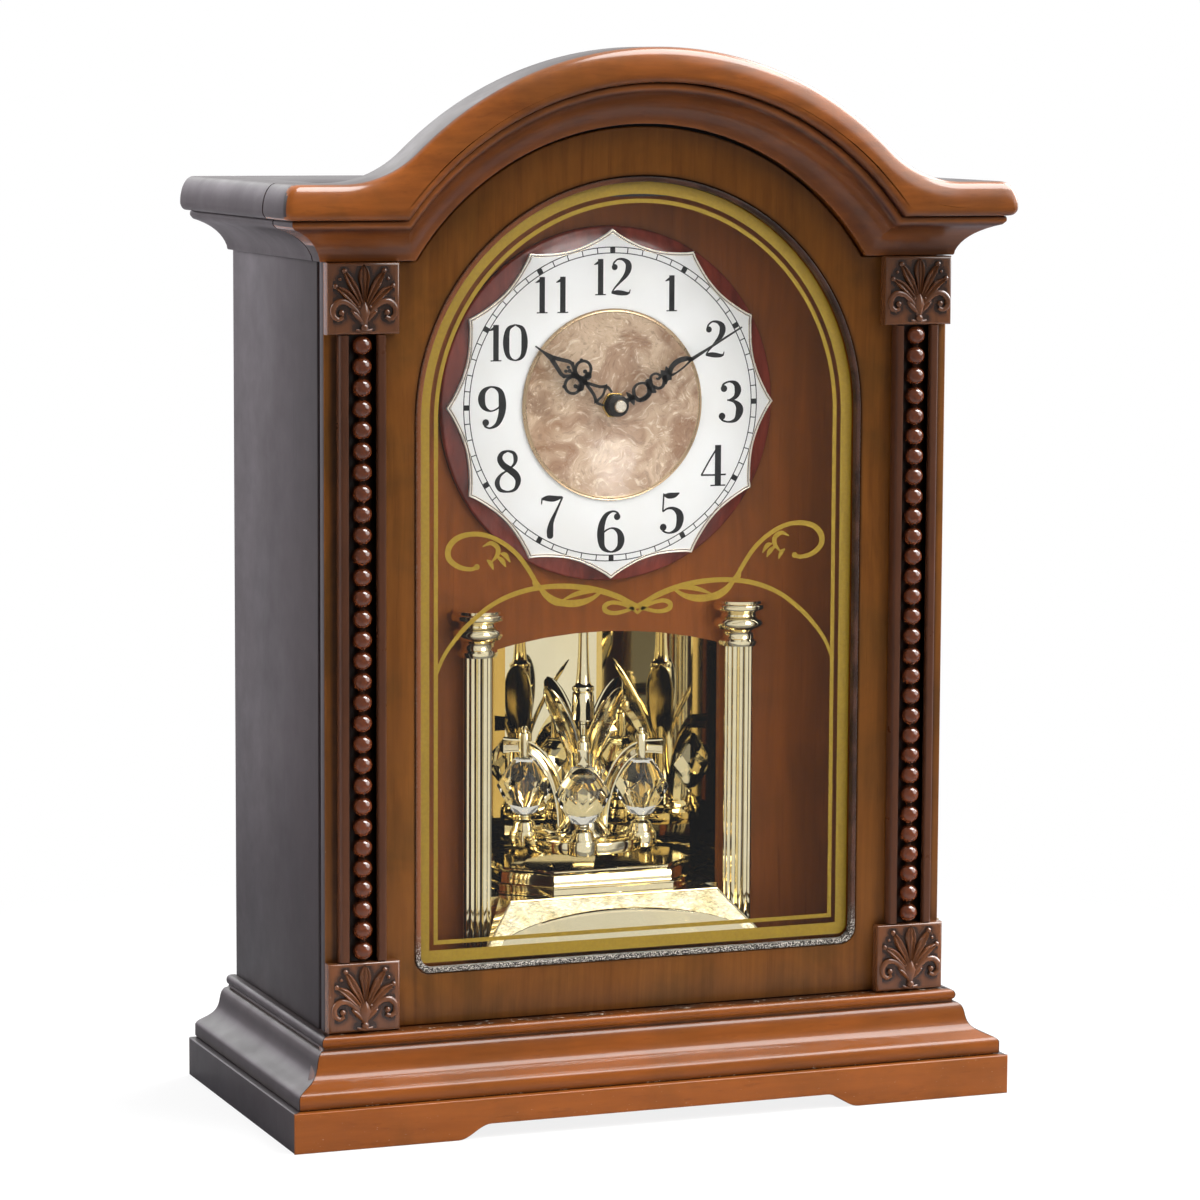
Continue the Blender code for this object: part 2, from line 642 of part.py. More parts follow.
# Cornice
def cornice_rows():
    """Rows of the cornice section: (kind, drop or rise, projection, plan corner radius)."""
    sharp = GAP
    rows = [("low", 0.0, -CORNICE_BACKSET, sharp), ("low", 0.0, CORNICE_LEDGE, sharp)]
    reach = CORNICE_LEDGE + COVE_REACH
    control_out, control_rise = CORNICE_LEDGE + COVE_REACH * 0.15, COVE_HEIGHT * 0.70
    for k in range(1, 6):
        t = k / 5
        out = (1 - t) ** 2 * CORNICE_LEDGE + 2 * t * (1 - t) * control_out + t * t * reach
        rise = 2 * t * (1 - t) * control_rise + t * t * COVE_HEIGHT
        rows.append(("low", rise, out, sharp))
    nose_foot = COVE_HEIGHT + FILLET_HEIGHT
    nose_out = CORNICE_PROJECTION - NOSE_INSET
    rows.append(("low", COVE_HEIGHT + FILLET_STEP, reach + FILLET_STEP, sharp))
    rows.append(("low", nose_foot - GAP, reach + FILLET_STEP, sharp))
    rows.append(("low", nose_foot, reach, sharp))
    for k in range(ROUND_STEPS + 1):
        angle = pi / 2 * k / ROUND_STEPS
        out = nose_out + NOSE_INSET * sin(angle)
        rows.append(("low", nose_foot + NOSE_FOOT_RADIUS * (1 - cos(angle)), out, CORNER_RADIUS))
    for k in range(ROUND_STEPS + 1):
        angle = pi / 2 * k / ROUND_STEPS
        out = CORNICE_PROJECTION - NOSE_TOP_RADIUS * (1 - cos(angle))
        rows.append(("top", NOSE_TOP_RADIUS * (1 - sin(angle)), out, CORNER_RADIUS))
    for k in range(ROUND_STEPS + 1):
        angle = pi / 2 * k / ROUND_STEPS
        out = NOSE_REAR_RADIUS * (1 - sin(angle)) - CORNICE_BACKSET
        rows.append(("rear", NOSE_REAR_RADIUS * (1 - cos(angle)), out, CORNER_RADIUS))
    return rows


def low_half_path(rise):
    """The lower edge raised by rise: from the eave end along the soffit, mitred into the arch."""
    level = EAVE_SOFFIT + rise
    radius = ARCH_RADIUS + rise
    height = level - ARCH_CENTRE_Z
    mitre = sqrt(radius ** 2 - height ** 2)
    start = atan2(height, mitre)
    arch = arc(0, ARCH_CENTRE_Z, radius, start, pi / 2, ARC_STEPS)
    return [None] * EAVE_STEPS + arch


def top_half_path(inset):
    """The top edge drawn in by inset: level eave, reverse curve, then the arch."""
    level = CASE_TOP - inset
    radius = ARCH_RADIUS + CORNICE_HEIGHT
    lift = CASE_TOP + REVERSE_RADIUS - ARCH_CENTRE_Z
    reach = sqrt((radius + REVERSE_RADIUS) ** 2 - lift ** 2)
    centre_z = CASE_TOP + REVERSE_RADIUS
    meeting = atan2(lift, reach)
    reverse = arc(reach, centre_z, REVERSE_RADIUS + inset, -pi / 2, meeting - pi, EAVE_STEPS)
    arch = arc(0, ARCH_CENTRE_Z, radius - inset, meeting, pi / 2, ARC_STEPS)
    return level, reverse[:-1] + arch


def top_outline(inset):
    """The whole top edge from left to right."""
    right = top_half_path(inset)[1]
    return [(-u, v) for u, v in right] + [(u, v) for u, v in reversed(right[:-1])]


def cornice_row_points(kind, amount, out, corner):
    """One row of the front cornice from the left rear end, round the front, to the right rear end."""
    tip = HALF_WIDTH + max(out, CORNICE_LEDGE)
    if kind == "rear":
        tip = HALF_WIDTH + CORNICE_PROJECTION - NOSE_TOP_RADIUS
    rear = DOOR_FACE + CORNICE_BACKSET
    front = DOOR_FACE - out
    if kind == "low":
        level = EAVE_SOFFIT + amount
        path = low_half_path(amount)
        start, end = tip - corner, path[EAVE_STEPS][0]
        path = [(start + (end - start) * (k + 1) / (EAVE_STEPS + 1), level) for k in range(EAVE_STEPS)] + path[EAVE_STEPS:]
    else:
        level, path = top_half_path(amount)
    half = [Vector((tip, rear, level))]
    for k in range(CORNER_STEPS + 1):
        angle = pi / 2 * k / CORNER_STEPS
        y = min(rear, front + corner * (1 - sin(angle)))
        half.append(Vector((tip - corner * (1 - cos(angle)), y, level)))
    half += [Vector((u, front, v)) for u, v in path]
    left = [Vector((-p.x, p.y, p.z)) for p in half]
    return left + list(reversed(half[:-1]))


def make_front_cornice(finish):
    bm = bmesh.new()
    grid = []
    for row in cornice_rows():
        grid.append([bm.verts.new(point) for point in cornice_row_points(*row)])
    for row, following in zip(grid, grid[1:]):
        for i in range(1, len(row)):
            bm.faces.new((row[i - 1], row[i], following[i], following[i - 1]))
    bmesh.ops.remove_doubles(bm, verts=bm.verts[:], dist=GAP / 10)
    rim = [edge for edge in bm.edges if edge.is_boundary]
    bmesh.ops.contextual_create(bm, geom=rim)
    bmesh.ops.triangulate(bm, faces=[face for face in bm.faces if len(face.verts) > 4])
    add_object("cornice_front", bm, finish["front_wood"], smooth=True)


def make_cornice_returns(finish):
    inner = HALF_WIDTH + GAP
    section = []
    for kind, amount, out, corner in cornice_rows():
        if kind == "rear" or out < 0:
            continue
        z = EAVE_SOFFIT + amount if kind == "low" else CASE_TOP - amount
        section.append((HALF_WIDTH + out, z))
    section += [(inner, CASE_TOP), (inner, EAVE_SOFFIT)]
    for side, word in ((-1, "left"), (1, "right")):
        loop = [(side * x, z) for x, z in section]
        moulding = plate([loop], along_y, DOOR_FACE + CORNICE_BACKSET + CORNICE_SEAM, REAR)
        add_object(f"cornice_{word}_return", moulding, finish["side_wood"], smooth=True)


# Door
def door_outline():
    """The door's arched outline, clear of the cornice above and the base below."""
    top = EAVE_SOFFIT - DOOR_FOOT_CLEARANCE
    foot = MOULDING_TOP + DOOR_FOOT_CLEARANCE
    radius = ARCH_RADIUS - DOOR_ARCH_CLEARANCE
    start = asin((top - ARCH_CENTRE_Z) / radius)
    right = [(HALF_WIDTH, foot), (HALF_WIDTH, top)]
    right += arc(0, ARCH_CENTRE_Z, radius, start, pi / 2, ARC_STEPS)
    return mirrored(right)


def make_door(finish, axis):
    door_rear = DOOR_FACE + DOOR_THICKNESS
    panel = plate([door_outline(), opening_outline(0)], along_y, DOOR_FACE, door_rear)
    add_object("door_panel", panel, finish["front_wood"], axis=axis)
    glass_front = DOOR_FACE + GLASS_SETBACK
    glass = plate([opening_outline(GAP)], along_y, glass_front, glass_front + GLASS_THICKNESS)
    add_object("glass_pane", glass, finish["glass"], axis=axis)
    loops = [opening_outline(GAP), opening_outline(GAP + BEAD_WIDTH)]
    bead = plate(loops, along_y, DOOR_FACE - BEAD_PROUD, glass_front - GAP)
    add_object("glass_bead", bead, finish["bead_black"], axis=axis)


def rosette_places():
    """Block centres by name: upper and lower, left and right."""
    upper = EAVE_SOFFIT - DOOR_FOOT_CLEARANCE - BLOCK_HEIGHT / 2
    lower = MOULDING_TOP + DOOR_FOOT_CLEARANCE + BLOCK_HEIGHT / 2
    side = HALF_WIDTH - BLOCK_SIZE / 2
    return {
        "upper_left_rosette": (-side, upper),
        "upper_right_rosette": (side, upper),
        "lower_left_rosette": (-side, lower),
        "lower_right_rosette": (side, lower),
    }


def make_rosettes(finish, axis):
    for name, (x, z) in rosette_places().items():
        half, tall = BLOCK_SIZE / 2, BLOCK_HEIGHT / 2
        loops = []
        for inset, proud in ((0, GAP), (0, BLOCK_PROUD - BLOCK_BEVEL), (BLOCK_BEVEL, BLOCK_PROUD)):
            corners = ((-1, -1), (1, -1), (1, 1), (-1, 1))
            loop = [Vector((x + u * (half - inset), DOOR_FACE - proud, z + v * (tall - inset))) for u, v in corners]
            loops.append(loop)
        add_object(name, bridge(loops), finish["carved_wood"], axis=axis)


def make_pilasters(finish, axis):
    places = rosette_places()
    low = places["lower_left_rosette"][1] + BLOCK_HEIGHT / 2 + GAP
    high = places["upper_left_rosette"][1] - BLOCK_HEIGHT / 2 - GAP
    pitch = (high - low) / PEARL_COUNT
    half = PILASTER_WIDTH / 2
    channel = half - STRIP_WIDTH
    section = [
        (-half, GAP), (-half, PILASTER_PROUD), (-channel, PILASTER_PROUD), (-channel, CHANNEL_PROUD),
        (channel, CHANNEL_PROUD), (channel, PILASTER_PROUD), (half, PILASTER_PROUD), (half, GAP),
    ]
    profile = [(0, low + GAP)]
    for pearl in range(PEARL_COUNT):
        start = low + pitch * pearl
        if pearl:
            profile.append((PEARL_NECK_RADIUS, start))
        for height_share, radius_share in ((0.27, 0.94), (0.73, 0.94)):
            profile.append((PEARL_RADIUS * radius_share, start + pitch * height_share))
    profile.append((0, high - GAP))
    for side, word in ((-1, "left"), (1, "right")):
        x = side * (HALF_WIDTH - BLOCK_SIZE / 2)
        loop = [(x + u, DOOR_FACE - proud) for u, proud in section]
        pilaster = add_object(f"{word}_pilaster", plate([loop], along_z, low, high), finish["carved_wood"], axis=axis)
        centre = Vector((x, DOOR_FACE - CHANNEL_PROUD - PEARL_RISE, 0))
        combine(pilaster, turned(profile, centre, along_z, PEARL_SIDES), "UNION")


def hinge_leaves(x, y, z, turn_side, sizes):
    """Shapes of one butt hinge with its pin along Z at (x, y).

    The first leaf holds the pin and the two outer barrels; the second has the middle barrel.
    turn_side gives each leaf's direction from the pin and the y range of its plate.
    """
    barrel, pin, thickness, reach, height = sizes
    centre = Vector((x, y, 0))
    third = height / 3
    bottom = z - height / 2
    bore = pin + PIN_CLEARANCE
    shapes = []
    for number, (direction, plate_low) in enumerate(turn_side):
        clear = barrel + GAP
        x0, x1 = sorted((x + direction * clear, x + direction * reach))
        leaf = box(x0, x1, plate_low, plate_low + thickness, bottom, bottom + height)
        joins = []
        spans = [(0, third), (2 * third, height)] if number == 0 else [(third, 2 * third)]
        for start, end in spans:
            slack = GAP if number == 1 else 0
            low, high = bottom + start + slack, bottom + end - slack
            solid = turned([(barrel, low), (barrel, high)], centre, along_z, SMALL_SIDES)
            tab_x0, tab_x1 = sorted((x + direction * pin, x + direction * (clear + thickness)))
            tab = box(tab_x0, tab_x1, plate_low, plate_low + thickness, low, high)
            joins += [("UNION", solid), ("UNION", tab)]
        if number == 0:
            joins.append(("UNION", turned([(pin, bottom + GAP), (pin, bottom + height - GAP)], centre, along_z, SMALL_SIDES)))
        else:
            cut = turned([(bore, bottom), (bore, bottom + height)], centre, along_z, SMALL_SIDES)
            joins.append(("DIFFERENCE", cut))
        shapes.append((leaf, joins))
    return shapes


def add_hinge(names, shapes, material, axes):
    for name, (leaf, joins), axis in zip(names, shapes, axes):
        obj = add_object(name, leaf, material, axis=axis)
        for operation, shape in joins:
            combine(obj, shape, operation)


def make_door_fittings(finish, axis):
    door_rear = DOOR_FACE + DOOR_THICKNESS
    sizes = (BARREL_RADIUS, PIN_RADIUS, LEAF_THICKNESS, LEAF_REACH, LEAF_HEIGHT)
    plates = ((-1, CASE_FRONT - GAP - LEAF_THICKNESS), (-1, door_rear + GAP))
    for word, z in (("upper", UPPER_HINGE_Z), ("lower", LOWER_HINGE_Z)):
        shapes = hinge_leaves(DOOR_HINGE_X, DOOR_HINGE_Y, z, plates, sizes)
        names = (f"{word}_door_hinge_case_leaf", f"{word}_door_hinge_door_leaf")
        add_hinge(names, shapes, finish["brass"], (None, axis))
    wall = -(HALF_WIDTH - SIDE_THICKNESS) + GAP
    strike_rear = door_rear + GAP + STRIKE_THICKNESS
    low, high = MAGNET_Z - MAGNET_HEIGHT / 2, MAGNET_Z + MAGNET_HEIGHT / 2
    magnet = box(wall, wall + MAGNET_WIDTH, strike_rear + GAP, strike_rear + GAP + MAGNET_DEPTH, low, high)
    add_object("door_magnet", magnet, finish["magnet"])
    strike_x = wall + STRIKE_MARGIN
    strike = box(
        strike_x, strike_x + MAGNET_WIDTH, door_rear + GAP, strike_rear,
        low + STRIKE_MARGIN, high - STRIKE_MARGIN,
    )
    add_object("door_strike_plate", strike, finish["steel"], axis=axis)


# Dial
def alcove_arch():
    """The alcove's segmental head from its right springing to its left one."""
    radius = (ALCOVE_HALF_WIDTH ** 2 + ALCOVE_RISE ** 2) / (2 * ALCOVE_RISE)
    centre_z = ALCOVE_SPRING_Z + ALCOVE_RISE - radius
    half_angle = asin(ALCOVE_HALF_WIDTH / radius)
    return arc(0, centre_z, radius, pi / 2 - half_angle, pi / 2 + half_angle, 2 * ROUND_STEPS + 2)


def make_dial_board(finish):
    half = HALF_WIDTH - SIDE_THICKNESS - GAP
    low, high = BASE_BOARD_TOP + GAP, ROOF_BOTTOM - GAP
    outline = [(-half, low), (half, low), (half, high), (-half, high)]
    foot = TRAY_TOP - TRAY_SHELF_THICKNESS - GAP
    alcove = [(-ALCOVE_HALF_WIDTH, foot), (ALCOVE_HALF_WIDTH, foot)] + alcove_arch()
    bore = [(u, ARCH_CENTRE_Z + v) for u, v in circle(BUSHING_RADIUS + GAP, SMALL_SIDES)]
    board = plate([outline, alcove, bore], along_y, BOARD_FRONT, BOARD_REAR)
    add_object("dial_board", board, finish["board_wood"])


def star_outline(radius, valley_depth):
    """Twelve points with hollow sides between them."""
    points = []
    side_steps = 4
    for k in range(DIAL_POINTS * side_steps):
        share = (k % side_steps) / side_steps
        dip = valley_depth * sin(pi * share) ** 0.8
        angle = 2 * pi * k / (DIAL_POINTS * side_steps)
        points.append(((radius - dip) * sin(angle), (radius - dip) * cos(angle)))
    return points


def shifted(points, dz):
    return [(u, v + dz) for u, v in points]


def make_dial(finish):
    centre = Vector((0, 0, ARCH_CENTRE_Z))
    rear = BOARD_FRONT - GAP
    profile = [
        (RING_RADIUS, rear), (RING_RADIUS, RING_FRONT + RING_BEVEL),
        (RING_RADIUS - RING_BEVEL, RING_FRONT), (RING_BORE, RING_FRONT), (RING_BORE, rear),
    ]
    loops = []
    sides = 2 * ROUND_SIDES
    for k in range(sides):
        angle = 2 * pi * k / sides
        loops.append([Vector((r * cos(angle), y, r * sin(angle))) + centre for r, y in profile])
    bm = bridge(loops + loops[:1], capped=False)
    bmesh.ops.remove_doubles(bm, verts=bm.verts[:], dist=GAP / 10)
    add_object("dial_backing_ring", bm, finish["rosewood"], smooth=True)
    bore = shifted(circle(BUSHING_RADIUS + GAP, SMALL_SIDES), ARCH_CENTRE_Z)
    star = shifted(star_outline(DIAL_RADIUS, DIAL_VALLEY_DEPTH), ARCH_CENTRE_Z)
    dial = plate([star, bore], along_y, DIAL_FRONT, DIAL_FRONT + DIAL_THICKNESS)
    add_object("dial_plate", dial, finish["dial_white"])
    disc = tube(DISC_RADIUS, BUSHING_RADIUS + GAP, DISC_FRONT, DISC_FRONT + DISC_THICKNESS, centre, along_y, 2 * ROUND_SIDES)
    add_object("dial_centre_disc", disc, finish["pearl"])


# Gears
def gear_outline(teeth, module, phase):
    """Trapezoid teeth, thinned for backlash; phase is the first tooth's angle from +X."""
    pitch_radius = teeth * module / 2
    tip, root = pitch_radius + 0.9 * module, pitch_radius - 1.2 * module
    step = 2 * pi / teeth
    points = []
    for k in range(teeth):
        angle = phase + k * step
        for offset_share, radius in ((-0.26, root), (-0.09, tip), (0.09, tip), (0.26, root)):
            a = angle + step * offset_share
            points.append((radius * cos(a), radius * sin(a)))
    return points


def gear_plate(teeth, module, phase, x, z, front, thickness, bore=0.0):
    loops = [[(u + x, v + z) for u, v in gear_outline(teeth, module, phase)]]
    if bore:
        loops.append([(u + x, v + z) for u, v in circle(bore, SMALL_SIDES)])
    return plate(loops, along_y, front, front + thickness)


def make_movement(finish, axes):
    half = MOVEMENT_WIDTH / 2
    top, bottom = ARCH_CENTRE_Z + MOVEMENT_ABOVE, ARCH_CENTRE_Z - MOVEMENT_BELOW
    front, rear = MOVEMENT_FRONT, MOVEMENT_FRONT + MOVEMENT_DEPTH
    wall = MOVEMENT_WALL
    bay_floor = ARCH_CENTRE_Z - GEAR_BAY_BELOW
    centre = Vector((0, 0, ARCH_CENTRE_Z))
    case = add_object("movement_case", box(-half, half, front, rear, bottom, top), finish["movement_plastic"])
    combine(case, box(-half + wall, half - wall, front + wall, rear + OVERRUN, bay_floor, top - wall), "DIFFERENCE")
    battery_roof = bay_floor - wall
    combine(case, box(-half + wall, half - wall, front + wall / 2, rear + OVERRUN, bottom + wall, battery_roof), "DIFFERENCE")
    bushing_tip = front - BUSHING_REACH
    bushing = turned([(BUSHING_RADIUS, bushing_tip), (BUSHING_RADIUS, front + wall / 2)], centre, along_y, SMALL_SIDES)
    combine(case, bushing, "UNION")
    bore = turned([(BUSHING_BORE, bushing_tip - OVERRUN), (BUSHING_BORE, front + 2 * wall)], centre, along_y, SMALL_SIDES)
    combine(case, bore, "DIFFERENCE")

    nut_rear = DISC_FRONT - GAP
    hexagon = [shifted(circle(NUT_RADIUS, NUT_SIDES), ARCH_CENTRE_Z)]
    hexagon.append(shifted(circle(BUSHING_RADIUS + GAP, SMALL_SIDES), ARCH_CENTRE_Z))
    add_object("mounting_nut", plate(hexagon, along_y, nut_rear - NUT_THICKNESS, nut_rear), finish["brass"])

    cover_front = rear + GAP
    cover_rear = cover_front + MOVEMENT_COVER_THICKNESS
    wheel_x = -GEAR_CENTRES
    knob_z = ARCH_CENTRE_Z - GEAR_CENTRES
    holes = [(0, ARCH_CENTRE_Z, MINUTE_ARBOR_RADIUS), (wheel_x, ARCH_CENTRE_Z, ARBOR_RADIUS), (wheel_x, knob_z, ARBOR_RADIUS)]
    loops = [[(-half, battery_roof), (half, battery_roof), (half, top), (-half, top)]]
    for x, z, radius in holes:
        loops.append([(u + x, v + z) for u, v in circle(radius + GAP, SMALL_SIDES)])
    add_object("movement_cover", plate(loops, along_y, cover_front, cover_rear), finish["movement_plastic"])

    battery_z = (bottom + wall + battery_roof) / 2
    battery_y = front + wall / 2 + GAP + BATTERY_RADIUS
    start = -BATTERY_LENGTH / 2
    end = start + BATTERY_LENGTH
    profile = [
        (BATTERY_RADIUS, start), (BATTERY_RADIUS, end),
        (BATTERY_TERMINAL_RADIUS, end), (BATTERY_TERMINAL_RADIUS, end + BATTERY_TERMINAL_LENGTH),
    ]
    cell = turned(profile, Vector((0, battery_y, battery_z)), along_x, ROUND_SIDES)
    add_object("battery", cell, finish["battery_sleeve"], smooth=True)

    drive_front = front + DRIVE_GEAR_SETBACK
    hour_front = front + HOUR_GEAR_SETBACK
    pinion_thick = GEAR_THICKNESS + PINION_EXTRA
    arbor_rear = cover_rear - GAP
    minute_tip = MINUTE_HAND_FRONT - HAND_NUT_LENGTH
    arbor = turned([(MINUTE_ARBOR_RADIUS, minute_tip), (MINUTE_ARBOR_RADIUS, arbor_rear)], centre, along_y, SMALL_SIDES)
    minute = add_object("minute_arbor", arbor, finish["steel"], smooth=True, axis=axes["minute"])
    combine(minute, gear_plate(MINUTE_TEETH, DRIVE_MODULE, pi / MINUTE_TEETH, 0, ARCH_CENTRE_Z, drive_front, pinion_thick), "UNION")

    wheel_centre = Vector((wheel_x, 0, ARCH_CENTRE_Z))
    hour_pinion_front = hour_front - PINION_EXTRA / 2
    spindle = turned([(ARBOR_RADIUS, hour_pinion_front), (ARBOR_RADIUS, arbor_rear)], wheel_centre, along_y, SMALL_SIDES)
    wheel = add_object("intermediate_wheel", spindle, finish["gear_plastic"], axis=axes["intermediate"])
    combine(wheel, gear_plate(WHEEL_TEETH, DRIVE_MODULE, 0, wheel_x, ARCH_CENTRE_Z, drive_front + PINION_EXTRA / 2, GEAR_THICKNESS), "UNION")
    pinion = gear_plate(HOUR_PINION_TEETH, HOUR_MODULE, 0, wheel_x, ARCH_CENTRE_Z, hour_pinion_front + GAP, pinion_thick - GAP)
    combine(wheel, pinion, "UNION")

    hour_phase = pi / HOUR_TEETH
    hour = gear_plate(HOUR_TEETH, HOUR_MODULE, hour_phase, 0, ARCH_CENTRE_Z, hour_front, GEAR_THICKNESS, HOUR_PIPE_BORE)
    hour_wheel = add_object("hour_wheel", hour, finish["gear_plastic"], axis=axes["hour"])
    pipe_tip = HOUR_HAND_FRONT - GAP
    pipe = tube(HOUR_PIPE_RADIUS, HOUR_PIPE_BORE, pipe_tip, hour_front + GEAR_THICKNESS / 2, centre, along_y, SMALL_SIDES)
    combine(hour_wheel, pipe, "UNION")

    knob_centre = Vector((wheel_x, 0, knob_z))
    knob_front = cover_rear + KNOB_STANDOFF
    shaft = turned([(ARBOR_RADIUS, drive_front), (ARBOR_RADIUS, knob_front + GAP)], knob_centre, along_y, SMALL_SIDES)
    knob = add_object("setting_knob", shaft, finish["movement_plastic"], axis=axes["setting"])
    combine(knob, gear_plate(MINUTE_TEETH, DRIVE_MODULE, pi / MINUTE_TEETH, wheel_x, knob_z, drive_front + GAP / 2, pinion_thick), "UNION")
    ribs = []
    for k in range(2 * KNOB_RIBS):
        angle = pi * k / KNOB_RIBS
        radius = KNOB_RADIUS - KNOB_RIB_DEPTH * (k % 2)
        ribs.append((wheel_x + radius * cos(angle), knob_z + radius * sin(angle)))
    combine(knob, plate([ribs], along_y, knob_front, knob_front + KNOB_LENGTH), "UNION")


# Hands
HOUR_HAND_SHARES = ((0.10, 0.026), (0.20, 0.020), (0.27, 0.085), (0.36, 0.120), (0.44, 0.060),
                    (0.52, 0.120), (0.60, 0.085), (0.66, 0.030), (0.76, 0.042), (0.88, 0.022))
MINUTE_HAND_SHARES = ((0.10, 0.020), (0.16, 0.048), (0.25, 0.055), (0.31, 0.026), (0.37, 0.050),
                      (0.45, 0.052), (0.52, 0.020), (0.60, 0.030), (0.70, 0.012), (0.85, 0.008))


def hand_outline(length, shares, boss):
    """A hand that points up from its boss; shares are (height, half width) along its length."""
    tip_half = HAND_THICKNESS / 4
    right = [(share_w * length, share_l * length) for share_l, share_w in shares] + [(tip_half, length)]
    opening = asin(min(1.0, right[0][0] / boss))
    ring = arc(0, 0, boss, pi / 2 + opening - 2 * pi, pi / 2 - opening, ROUND_SIDES)
    right = [point for point in right if point[1] > boss]
    left = [(-u, v) for u, v in reversed(right)]
    return ring + right + left


def turned_outline(points, angle):
    """Points turned clockwise on the dial and moved to its centre."""
    return [(u * cos(angle) + v * sin(angle), ARCH_CENTRE_Z + v * cos(angle) - u * sin(angle)) for u, v in points]


def make_hands(finish, axes):
    hands = (
        ("hour_hand", HOUR_HAND_LENGTH, HOUR_HAND_SHARES, HOUR_HAND_ANGLE, HOUR_PIPE_RADIUS, HOUR_HAND_FRONT, "hour"),
        ("minute_hand", MINUTE_HAND_LENGTH, MINUTE_HAND_SHARES, MINUTE_HAND_ANGLE, MINUTE_ARBOR_RADIUS, MINUTE_HAND_FRONT, "minute"),
    )
    for name, length, shares, angle, post, front, body in hands:
        outline = turned_outline(hand_outline(length, shares, HAND_BOSS_RADIUS), angle)
        bore = turned_outline(circle(post + GAP, SMALL_SIDES), 0)
        hand = plate([outline, bore], along_y, front, front + HAND_THICKNESS)
        add_object(name, hand, finish["hand_black"], axis=axes[body])
    centre = Vector((0, 0, ARCH_CENTRE_Z))
    nut_rear = MINUTE_HAND_FRONT - GAP
    nut_front = nut_rear - HAND_NUT_LENGTH
    bore = MINUTE_ARBOR_RADIUS + GAP
    nut = turned(
        [(HAND_NUT_RADIUS * 0.8, nut_front - GAP), (HAND_NUT_RADIUS, nut_front + GAP), (HAND_NUT_RADIUS, nut_rear)],
        centre, along_y, ROUND_SIDES,
    )
    cap = add_object("hand_nut", nut, finish["brass"], smooth=True, axis=axes["minute"])
    arbor_tip = MINUTE_HAND_FRONT - HAND_NUT_LENGTH
    combine(cap, turned([(bore, arbor_tip - GAP), (bore, nut_rear + OVERRUN)], centre, along_y, SMALL_SIDES), "DIFFERENCE")


# Pendulum chamber
def make_tray(finish):
    front, crest = DOOR_FACE + TRAY_FRONT_SETBACK, DOOR_FACE + TRAY_CREST_SETBACK
    root = BOARD_FRONT - GAP
    loops = []
    for side in (-1, 1):
        loops.append([
            Vector((side * TRAY_FOOT_HALF_WIDTH, front, TRAY_FOOT)),
            Vector((side * TRAY_CREST_HALF_WIDTH, crest, TRAY_TOP)),
            Vector((side * TRAY_CREST_HALF_WIDTH, root, TRAY_TOP)),
            Vector((side * TRAY_ROOT_HALF_WIDTH, root, TRAY_FOOT)),
        ])
    tray = add_object("chamber_tray", bridge(loops), finish["gilt"])
    shelf_low = TRAY_TOP - TRAY_SHELF_THICKNESS
    wide = ALCOVE_HALF_WIDTH - GAP
    crest = TRAY_CREST_HALF_WIDTH - GAP
    right = [(crest, root - BOARD_THICKNESS), (crest, BOARD_FRONT), (wide, BOARD_FRONT), (wide, BOARD_REAR + GAP)]
    right += chamber_plan(WALL_THICKNESS)
    outline = right + [(-u, v) for u, v in reversed(right)]
    combine(tray, plate([outline], along_z, shelf_low, TRAY_TOP - GAP / 3), "UNION")


def chamber_plan(outset):
    """The right half of the chamber in plan, from its mouth: a side, a slanting facet and the back."""
    mitre = outset * tan(pi / 8)
    side = ALCOVE_HALF_WIDTH + outset
    corner = PENDULUM_Y + FACET_REACH - ALCOVE_HALF_WIDTH + mitre
    return [(side, BOARD_REAR + GAP), (side, corner), (WALL_BACK_HALF_WIDTH + mitre, DOOR_FACE + WALL_BACK_SETBACK + outset)]


def make_chamber_walls(finish):
    """Five mirrored facets: two sides, two slanting facets and a flat back."""
    inner, outer = chamber_plan(0), chamber_plan(WALL_THICKNESS)
    inner += [(-u, v) for u, v in reversed(inner)]
    outer += [(-u, v) for u, v in reversed(outer)]
    walls = plate([inner + outer[::-1]], along_z, TRAY_TOP + GAP, WALL_TOP)
    add_object("chamber_walls", walls, finish["gilt"])


def make_columns(finish):
    capital_foot = COLUMN_TOP - CAPITAL_HEIGHT
    shaft = []
    for k in range(2 * COLUMN_FLUTES):
        angle = pi * k / COLUMN_FLUTES
        radius = COLUMN_RADIUS - FLUTE_DEPTH * (k % 2)
        shaft.append((radius * cos(angle), radius * sin(angle)))
    capital_shares = (
        (0.62, 0.0), (0.70, 0.06), (0.72, 0.13), (0.62, 0.20), (0.60, 0.30), (0.80, 0.38), (0.94, 0.50),
        (0.86, 0.60), (0.72, 0.68), (0.78, 0.76), (1.0, 0.84), (1.0, 0.95), (0.90, 1.0),
    )
    for side, word in ((-1, "left"), (1, "right")):
        centre = Vector((side * COLUMN_X, DOOR_FACE + COLUMN_SETBACK, 0))
        outline = [(u + centre.x, v + centre.y) for u, v in shaft]
        column = add_object(f"{word}_column", plate([outline], along_z, TRAY_FOOT, capital_foot + GAP), finish["gilt"])
        profile = [(CAPITAL_RADIUS * r, capital_foot + CAPITAL_HEIGHT * h) for r, h in capital_shares]
        combine(column, turned(profile, centre, along_z, ROUND_SIDES), "UNION")
        reach = CAPITAL_RADIUS + OVERRUN
        flat = box(
            centre.x - reach, centre.x + reach, BOARD_FRONT - GAP, BOARD_FRONT + 2 * OVERRUN,
            TRAY_FOOT - OVERRUN, COLUMN_TOP + OVERRUN,
        )
        combine(column, flat, "DIFFERENCE")


